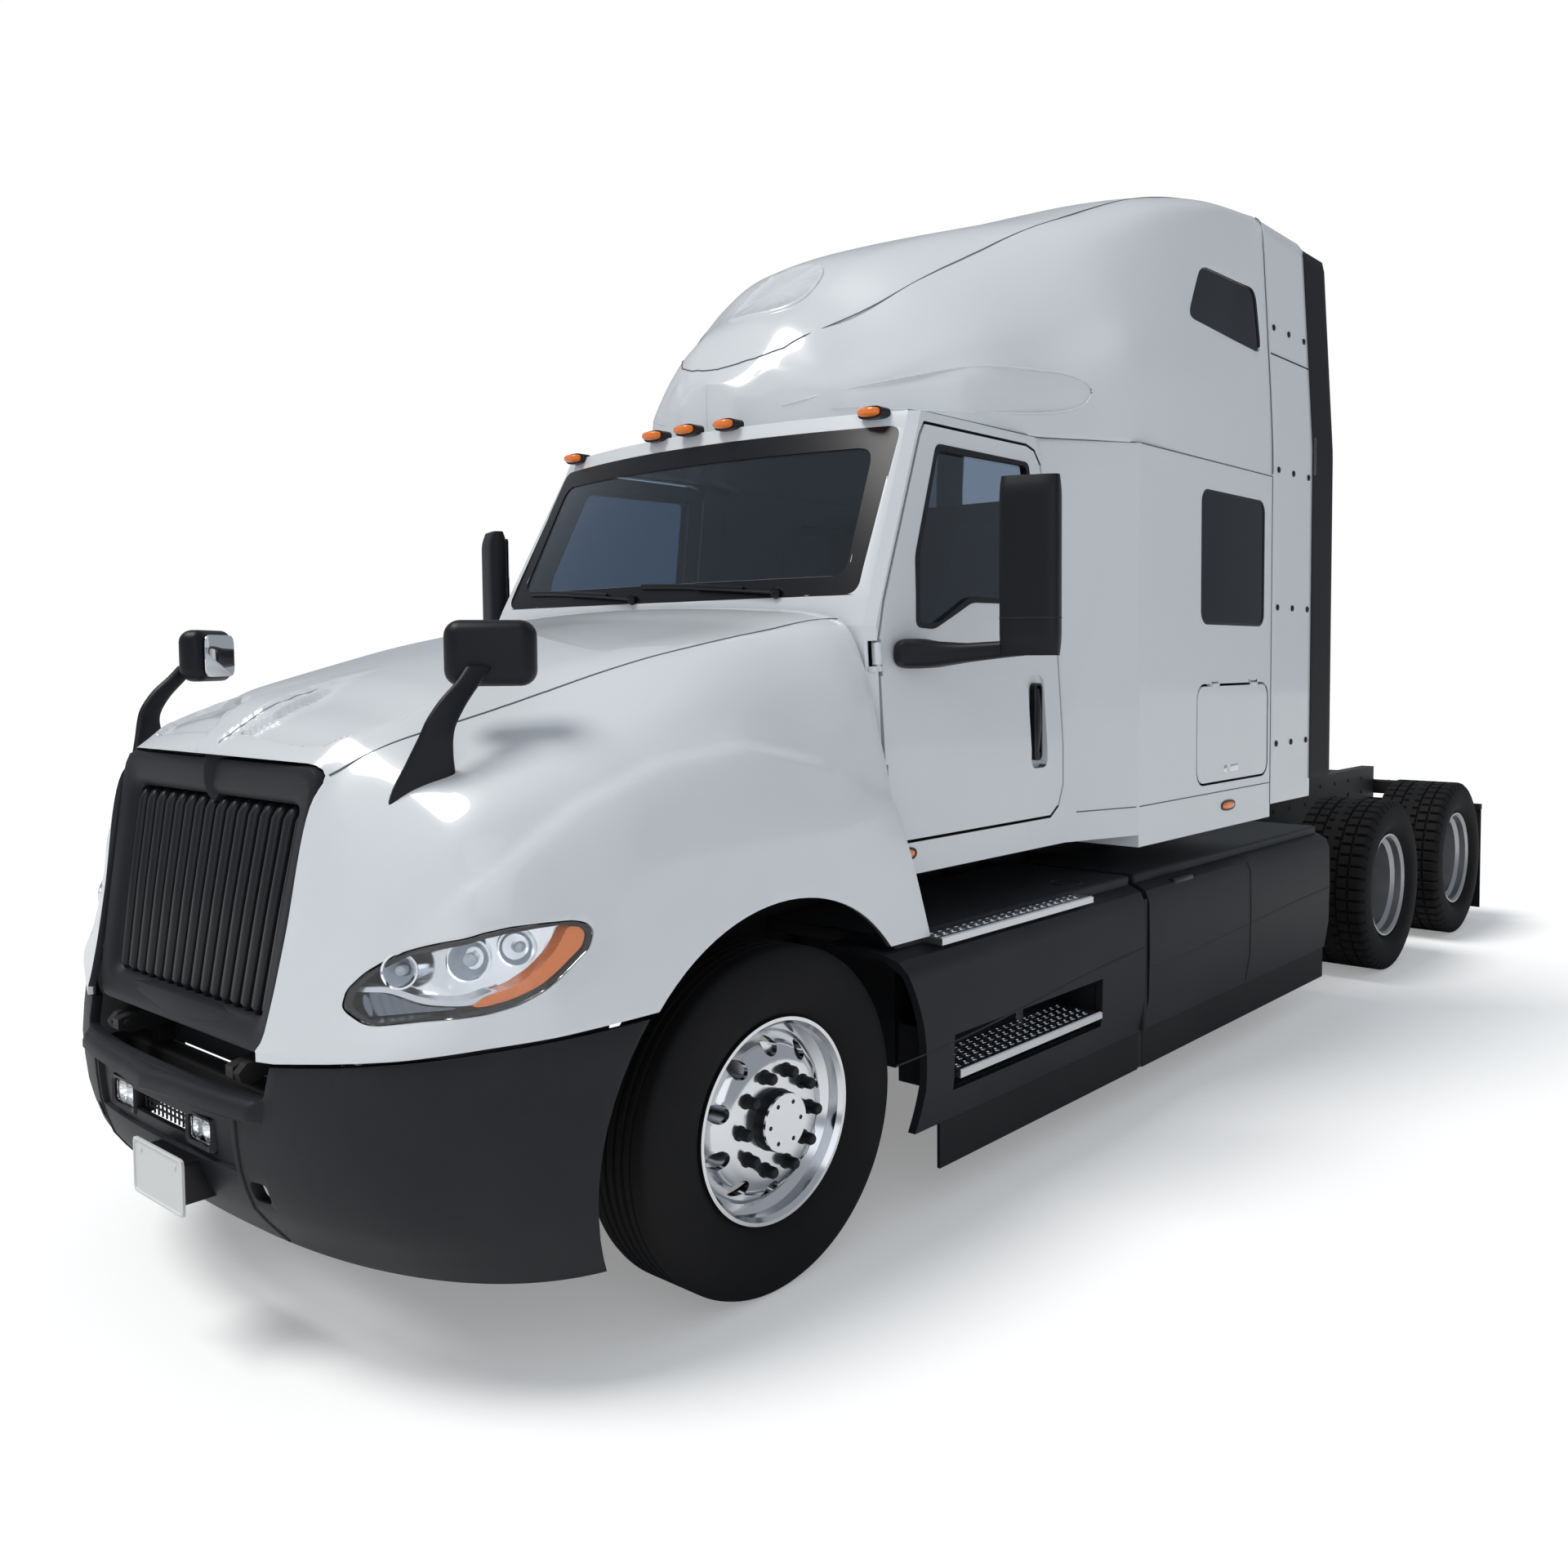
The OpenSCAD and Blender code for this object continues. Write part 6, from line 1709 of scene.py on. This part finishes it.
    def extender(self, name: str, side: int) -> None:
        """A side extender with its rubber edge, joint, bracket and four rows of bolts.

        Args:
            name: left or right.
            side: 1 for +Y and -1 for -Y.
        """
        y = self.sleeper_half
        edge = [(y, 1130), (y, 2000), (y, 2900), (y - 30, 3380), (y - 62, 3880), (y - 74, 3910),
                (y - 102, 3935), (y - 140, 3946), (y - 180, 3950)]
        line = spaced(np.asarray(edge, float), 64, closed=False)
        grid = curtain(np.linspace(-3845, -3350.5, 12), line)
        replaced = ("side_extenders",) if side > 0 else ()
        place(f"extender_panel_{name}", panel(grid, 26).on(side), PAINT, "chassis", replaced, 30, 2)
        edge = [(y - 6, 1215), (y - 6, 2900), (y - 66, 3880), (y - 76, 3898)]
        grid = curtain(np.linspace(-4134, -3846, 8), spaced(np.asarray(edge, float), 50, closed=False))
        replaced = ("extender_edges",) if side > 0 else ()
        place(f"extender_rubber_{name}", panel(grid, 9).on(side), RUBBER, "chassis", replaced, 30, 1)
        heads = []
        for z in (1420, 2080, 2740, 3420):
            half = np.interp(z, [2900, 3880], [y, y - 62])
            heads += [bolt((x, half - 1, z), (0, 1, 0), 15, 7, 24) for x in (-3790, -3600, -3420)]
        place(f"extender_bolts_{name}", joined(heads).on(side), SATIN_BLACK, "chassis", angle=40)
        half = y - 62 * (3290 - 2900) / 980
        joint = tube([(x, half + 0.5, 3290) for x in np.linspace(-3842, -3354, 12)], 3.5, 8)
        strip = tube([(-3844, np.interp(z, [2900, 3880], [y, y - 62]), z)
                      for z in np.linspace(1220, 3870, 30)], 6, 8, up=(0, 1, 0))
        grip = rounded_box((-3872, y - 8, 2760), (-3846, y + 10, 2950), 6)
        place(f"extender_bracket_{name}", grip.on(side), STEEL, "chassis", angle=40)
        place(f"extender_joints_{name}", joined([joint, strip]).on(side), SEAM, "chassis")

    def inside(self) -> None:
        """Seats, bunk, dashboard and wheel."""
        dress(("dashboard", "steering_wheel"), TRIM, 35)
        cushions, frames = [], []
        for side in (1, -1):
            y = side * 520
            pan = rounded_box((-1855, y - 250, 1502), (-1312, y + 250, 1640), 55, 6)
            cushions.append(pan)
            back = []
            for t in np.linspace(0, 1, 22):
                z = 1560 + 860 * t
                end = min(1, t * 8 + 0.45, (1 - t) * 8 + 0.45)
                width = np.interp(t, [0, .5, .68, .75, .82, 1], [240, 236, 200, 130, 140, 120])
                back.append(((-1795 - 150 * t, y, z), (62 * end, 0, 0), (0, width * (0.9 + 0.1 * end), 0)))
            cushions.append(limb(back, 32, 0.55))
            frames.append(rounded_box((-1780, y - 165, 1163), (-1400, y + 165, 1330), 20))
            frames.append(rounded_box((-1820, y - 200, 1330), (-1360, y + 200, 1500), 30))
        seats = place("seat_pads", joined(cushions), CLOTH, "chassis", ("seats",), 45)
        place("seat_frames", joined(frames), TRIM, "chassis", angle=40)
        mattress = place("bunk_mattress", rounded_box((-3286, -1140, 1785), (-2452, 1140, 1918), 50, 6),
                         SHEETING, "chassis", ("bunk",), 45)
        place("bunk_board", rounded_box((-3288, -1145, 1770), (-2450, 1145, 1786), 6), TRIM, "chassis")


# ---- Chassis ----------------------------------------------------------------------------------

@dataclass
class Sides:
    """Side fairings, treads, skirts, boxes, tanks and the deck."""

    half: float = 1225.0

    def build(self) -> None:
        """Builds and places what hangs outside the frame rails."""
        dress(("side_fairings", "side_boxes"), CHARCOAL, 26)
        dress(("skirts", "mudflaps"), RUBBER)
        dress(("tanks",), TANK, 34)
        dress(("deck_plate",), DECK)
        self.treads()
        self.trim()
        self.shelves()

    def shelves(self) -> None:
        """Shelves behind the fairings' shoulders, the backs of the tread recesses and a round filler cup."""
        parts = [rounded_box((-2088, 560, 892), (-560, 1150, 944), 12),
                 rounded_box((-4106, 600, 892), (-2132, 1148, 944), 12),
                 rounded_box((-1760, 992, 392), (-770, 1000, 600), 3),
                 rounded_box((-1760, 996, 588), (-770, 1190, 596), 3),
                 rounded_box((-1760, 996, 394), (-770, 1190, 402), 3),
                 rounded_box((-768, 996, 394), (-760, 1190, 596), 3),
                 rounded_box((-1770, 996, 394), (-1762, 1190, 596), 3)]
        place("fairing_shelves", joined(parts).pair(), CHARCOAL, "chassis", angle=40)
        ring = lathe([[0, -6], [44, -6], [50, -2], [60, 3], [66, 2], [68, -4], [68, -10], [0, -12]],
                     (0, 0, 0), 40)
        cup = Surface(ring.points[:, [0, 2, 1]], [face[::-1] for face in ring.faces])
        place("filler_cups", cup.moved((-1780, 1040, 945)).pair(), GLOSS_BLACK, "chassis", angle=40)

    def treads(self) -> None:
        """Perforated treads: plate with bright lips and rows of raised rings."""
        dress(("step_treads",), TREAD_PLATE)
        parts = []
        ring = lathe([[7, -1], [8, 2.4], [11, 3], [14, 1.6], [15, -1]], (0, 0, 0), 14, closed=True)
        ring = Surface(ring.points[:, [0, 2, 1]], ring.faces)
        for x0, x1, z in ((-1655, -705, 927), (-1725, -805, 464)):
            for y, shift in ((1050, 0), (1095, 23), (1140, 0), (1185, 23)):
                parts += [ring.moved((x + shift, y, z)) for x in np.arange(x0 + 30, x1 - 20, 46.0)]
            parts.append(rounded_box((x0, 1220, z - 20), (x1, 1231, z + 5), 4))
        place("tread_rings", joined(parts).pair(), POLISHED, "chassis", angle=40)

    def trim(self) -> None:
        """Seams and creases of the fairings, a cup on their shoulder, and the tank straps."""
        joint = rounded_box((-2124, self.half - 36, 300), (-2096, self.half - 8, 850), 6)
        foot = rounded_box((-2132, 1176, 142), (-2088, 1188, 310), 4)
        z = np.linspace(310, 895, 30)
        y = np.interp(z, [300, 440, 640, 835, 880, 905],
                      [self.half - 26, self.half - 4, self.half, self.half - 4, self.half - 22,
                       self.half - 75])
        seam = tube(np.stack([np.full(30, -3120), y, z], -1), 3.5, 8, up=(0, 1, 0))
        place("fairing_seams", joined([joint, foot, seam]).pair(), SEAM, "chassis", angle=40)
        creases = []
        for x0, x1, drop in ((-2140, -4100, 60), (-470, -2080, 90)):
            x = np.linspace(x0, x1, 60)
            z = 560 + drop * np.sin(np.linspace(0, 1.5, 60)) ** 2
            y = np.interp(z, [440, 640, 835], [self.half - 4, self.half, self.half - 4])
            creases.append(tube(np.stack([x, y - 1, z], -1), np.interp(x, [x1, x0], [7, 3]), 10, 0.5,
                                up=(0, 1, 0)))
        place("fairing_creases", joined(creases).pair(), CHARCOAL, "chassis", angle=60)
        cup = rounded_box((-2560, self.half - 60, 868), (-2380, self.half - 18, 896), 10)
        place("fairing_cups", cup.pair(), GLOSS_BLACK, "chassis", angle=40)
        a = np.linspace(0, 2 * math.pi, 64, endpoint=False)
        straps = []
        for x in (-2500, -3060, -3620):
            path = np.stack([np.full(64, x), 787 + 298 * np.cos(a), 585 + 298 * np.sin(a)], -1)
            straps.append(tube(path, 22, 8, 0.14, up=(1, 0, 0), closed=True))
        place("tank_straps", joined(straps).pair(), STEEL, "chassis", angle=40)


@dataclass
class Running:
    """Frame, axles, engine, coupling and tail."""

    tail_x: float = -7102.0

    def build(self) -> None:
        """Dresses the frame's own pieces and adds the tail lamps."""
        dress(("frame_rails", "front_axle", "suspension", "drive_axles", "fifth_wheel_base", "knuckle_left",
               "knuckle_right", "tie_rod", "radiator"), CHASSIS, 34)
        dress(("engine", "driveline"), ENGINE, 34)
        dress(("fifth_wheel_plate",), STEEL, 34)
        self.tail()
        self.bolts()

    def tail(self) -> None:
        """The tail bar with three round lamps at each end."""
        bar = rounded_box((self.tail_x + 2, -600, 830), (self.tail_x + 48, 600, 930), 10)
        place("tail_bar", bar, CHASSIS, "chassis", ("tail_lamps",), 38)
        lenses, rims = [], []
        for side in (1, -1):
            for y in (290, 410, 530):
                lens = lathe([[0, -6], [40, -5], [44, 2], [30, 6], [0, 8]], (0, 0, 0), 36).turned(90)
                lens.points[:, 0] = np.minimum(lens.points[:, 0], 6)
                lenses.append(Surface(lens.points * [0.8, 1, 1], lens.faces).moved(
                    (self.tail_x + 6, side * y, 880)))
                ring = lathe([[44, 0], [50, 0], [51, 4], [47, 7], [43, 5]], (0, 0, 0), 36, closed=True)
                rims.append(ring.turned(90).moved((self.tail_x + 8, side * y, 880)))
        place("tail_lenses", joined(lenses), RED, "chassis", angle=40)
        place("tail_lamp_rims", joined(rims), RUBBER, "chassis", angle=40)

    def bolts(self) -> None:
        """Bolt heads along the frame rails."""
        heads = []
        for x in np.arange(-6800, 300, 260.0):
            for z in (860, 960):
                for side in (1, -1):
                    heads.append(bolt((x, side * 429, z), (0, side, 0), 14, 9, 6))
        place("rail_bolts", joined(heads), CHASSIS, "chassis", angle=30)


@dataclass
class Wheel:
    """One tyre with its moulded tread, on its dressed rim."""

    node: str
    body: str
    centre: tuple
    side: int
    radius: float
    width: float
    flange: float
    drive: bool
    seat: float = 287.0

    def build(self) -> None:
        """Builds the tyre and dresses the rim."""
        dress((self.node.replace("tyre", "rim"),), DULL_WHEEL if self.drive else POLISHED, 32)
        place(self.node.replace("tyre", "rubber"), self.tyre(), TYRE, self.body, (self.node,), 30)
        place(self.node.replace("tyre", "hub_dress"), self.caps(), STEEL if self.drive else SATIN_BLACK,
              self.body, angle=38)

    def section(self) -> tuple:
        """Half of the tyre's section as (radius, width).

        Returns:
            (from the bead to the edge of the tread, the inside from the tread back to the bead).
        """
        seat, r, w = self.seat, self.radius, self.width / 2
        wall = [(seat + share * (r - seat), w - inset) for share, inset in
                ((0.25, 10), (0.38, 3), (0.5, 0), (0.65, 2), (0.8, 6))]
        half = [(seat, self.flange - 45), (seat, self.flange - 15), (301, self.flange - 14),
                (312, self.flange - 4), *wall, (r - 28, w - 12), (r - 12, w - 19), (r - 3, w - 29),
                (r, w - 40)]
        inner = [(r - 34, w - 54), (seat + 0.6 * (r - seat), w - 24), (seat + 0.3 * (r - seat), w - 28),
                 (seat + 8, self.flange - 40)]
        return half, inner

    def tyre(self) -> Surface:
        """The tyre's section turned, with r = r - depth where a groove of the tread passes.

        Returns:
            The tyre in its place.
        """
        half, inner = self.section()
        edge = self.width / 2 - 40
        tread = [(self.radius, v) for v in np.linspace(edge, -edge, 65 if self.drive else 49)[1:-1]]
        profile = np.asarray([*half, *tread, *[(r, -v) for r, v in half[::-1]],
                              *[(r, -v) for r, v in inner[::-1]], *inner], float)
        steps = 288 if self.drive else 180
        a = np.linspace(0, 2 * math.pi, steps, endpoint=False)[:, None]
        r = np.broadcast_to(profile[:, 0], (steps, len(profile))).copy()
        v = np.broadcast_to(profile[:, 1], (steps, len(profile)))
        outer = (np.arange(len(profile)) < len(profile) - 2 * len(inner))[None, :] & (r > self.radius - 34)
        across = np.abs(v)
        if self.drive:
            shift = (across > 60).astype(int) * 3
            groove = ((np.arange(steps)[:, None] + shift) % 6 < 1) & (across > 22)
            for line in (60, 128):
                groove |= np.abs(across - line) < 5.2
        else:
            groove = np.zeros_like(v, bool)
            for line in (0, 34, 68):
                groove |= np.abs(across - line) < 4.6
        r = np.where(groove & outer, r - (15 if self.drive else 13), r)
        surface = grid_surface(np.stack([r * np.cos(a), v, r * np.sin(a)], -1), wrap_u=True, wrap_v=True)
        return surface.on(self.side).moved(self.centre)

    def caps(self) -> Surface:
        """Nut caps and the hub's cover, on the side that faces outwards.

        Returns:
            The caps and the cover in their places.
        """
        base = -54 if self.drive else 104
        if self.drive:
            nut = [[0, 0], [20, 0], [20, 5], [17, 6], [17, 31], [14, 35], [0, 36]]
            cover = [[0, 29], [60, 29], [88, 31], [93, 26], [93, 10], [84, 4], [0, 4]]
            ring, face, size, count = 70, 31, (9, 8), 8
        else:
            nut = [[0, 0], [22, 0], [22, 6], [18, 8], [17, 40], [13, 46], [0, 48]]
            cover = [[0, 148], [50, 150], [70, 149.5], [82, 146], [87, 136], [88, 108], [92, 104], [100, 103],
                     [100, 92], [0, 92]]
            ring, face, size, count = 62, 146, (8, 5), 6
        parts = []
        for k in range(10):
            a = math.radians(36 * k)
            parts.append(lathe(nut, (142.875 * math.cos(a), base, 142.875 * math.sin(a)), 18))
        parts.append(lathe(cover, (0, 0, 0), 48))
        parts += [bolt((ring * math.cos(t), face, ring * math.sin(t)), (0, 1, 0), *size, 6)
                  for t in np.linspace(0, 2 * math.pi, count, endpoint=False)]
        return joined(parts).on(self.side).moved(self.centre)


def wheels() -> list:
    """The six wheels.

    Returns:
        The wheels with their sizes.
    """
    made = []
    for name, side in SIDES.items():
        made.append(Wheel(f"front_tyre_{name}", f"front_wheel_{name}", (0, side * 1045, 506), side, 506, 285,
                          118, False))
        for row, x in (("fore", -5082), ("aft", -6402)):
            made.append(Wheel(f"{row}_tyre_{name}", f"{row}_wheel_{name}", (x, side * 1015, 500), side, 500,
                              445, 190, True))
    return made


# ---- Studio -----------------------------------------------------------------------------------

@dataclass
class Studio:
    """Pale floor, soft light and the camera."""

    ambient: float = 0.37
    sun: float = 2.0
    fill_power: float = 160.0
    floor_glow: float = 0.26

    def build(self) -> None:
        """Builds the floor, the lights, the world and the camera."""
        self.world()
        self.floor()
        self.sunlight()
        self.lamp("fill", (9.0, 9.5, 6.0), (0.5, 0.0, 1.6), 8.0, self.fill_power, (0.93, 0.96, 1.0))
        self.camera()
        view = bpy.context.scene.view_settings
        view.view_transform = "Standard"

    def world(self) -> None:
        """White where it is seen, soft and slightly cool where it lights."""
        world = bpy.data.worlds.new("studio")
        world.use_nodes = True
        bpy.context.scene.world = world
        tree = world.node_tree
        tree.nodes.clear()
        seen = node(tree, "Background", {"Color": (1, 1, 1, 1), "Strength": 1.0})
        lit = node(tree, "Background", {"Color": (0.84, 0.91, 1, 1), "Strength": self.ambient})
        mix, out, path = node(tree, "MixShader"), node(tree, "OutputWorld"), node(tree, "LightPath")
        either = node(tree, "Math", operation="ADD", use_clamp=True)
        wire(tree, (path, "Is Camera Ray", either, 0), (path, "Is Transmission Ray", either, 1),
             (either, 0, mix, 0), (lit, 0, mix, 1), (seen, 0, mix, 2), (mix, 0, out, 0))

    def floor(self) -> None:
        """A wide pale floor that keeps the shadow and is white where nothing shades it."""
        size = 60.0
        mesh = bpy.data.meshes.new("floor")
        mesh.from_pydata([(-size, -size, 0), (size, -size, 0), (size, size, 0), (-size, size, 0)], [],
                         [(0, 1, 2, 3)])
        floor = bpy.data.objects.new("floor", mesh)
        bpy.context.scene.collection.objects.link(floor)
        made = bpy.data.materials.new("pale_floor")
        made.use_nodes = True
        tree = made.node_tree
        shader = tree.nodes["Principled BSDF"]
        for socket, value in (("Base Color", (0.9, 0.9, 0.9, 1)), ("Roughness", 0.9),
                              ("Specular IOR Level", 0.1)):
            shader.inputs[socket].default_value = value
        bright, path, add = node(tree, "Emission"), node(tree, "LightPath"), node(tree, "AddShader")
        seen = node(tree, "Math", {1: self.floor_glow}, operation="MULTIPLY")
        wire(tree, (path, "Is Camera Ray", seen, 0), (seen, 0, bright, "Strength"), (shader, 0, add, 0),
             (bright, 0, add, 1), (add, 0, tree.nodes["Material Output"], "Surface"))
        mesh.materials.append(made)

    def sunlight(self) -> None:
        """A broad, soft light from above, ahead and to the right."""
        data = bpy.data.lights.new("key", "SUN")
        data.energy, data.angle, data.color = self.sun, math.radians(24), (1.0, 0.985, 0.955)
        obj = bpy.data.objects.new("key", data)
        obj.rotation_euler = Vector((-0.42, 0.3, -1.0)).to_track_quat("-Z", "Y").to_euler()
        bpy.context.scene.collection.objects.link(obj)

    @staticmethod
    def lamp(name: str, at: tuple, to: tuple, size: float, power: float, colour: tuple) -> None:
        """A large square area light.

        Args:
            name: Its name.
            at: Where it stands, in metres.
            to: What it looks at.
            size: The length of its sides.
            power: Its power in watts.
            colour: Its colour.
        """
        data = bpy.data.lights.new(name, "AREA")
        data.size, data.energy, data.color = size, power, colour
        obj = bpy.data.objects.new(name, data)
        obj.location = at
        obj.rotation_euler = (Vector(to) - Vector(at)).to_track_quat("-Z", "Y").to_euler()
        bpy.context.scene.collection.objects.link(obj)

    @staticmethod
    def camera() -> None:
        """The camera, set by its heading, its dip and its roll."""
        yaw, pitch, roll = (math.radians(a) for a in (38.768, -2.906, -0.246))
        f = Vector((-math.cos(yaw) * math.cos(pitch), -math.sin(yaw) * math.cos(pitch), math.sin(pitch)))
        right = f.cross(Vector((0, 0, 1))).normalized()
        up = right.cross(f)
        r2 = right * math.cos(roll) + up * math.sin(roll)
        u2 = up * math.cos(roll) - right * math.sin(roll)
        data = bpy.data.cameras.new("camera")
        data.lens, data.sensor_width = 30.23, 36
        data.shift_x, data.shift_y = -0.0763, -0.0378
        data.clip_end = 200
        data.dof.use_dof = False
        obj = bpy.data.objects.new("camera", data)
        matrix = Matrix((r2, u2, -f)).transposed().to_4x4()
        matrix.translation = Vector((5.613, 3.8027, 1.8440))
        obj.matrix_world = matrix
        bpy.context.scene.collection.objects.link(obj)
        bpy.context.scene.camera = obj


def main() -> None:
    """Builds the tractor from the front backwards, then the studio round it."""
    logging.basicConfig(level=logging.INFO, format="%(name)s: %(message)s")
    for part in (Hood(), Bumper(), Cab(), Sides(), Running(), *wheels(), Studio()):
        part.build()


if __name__ == "__main__":
    main()
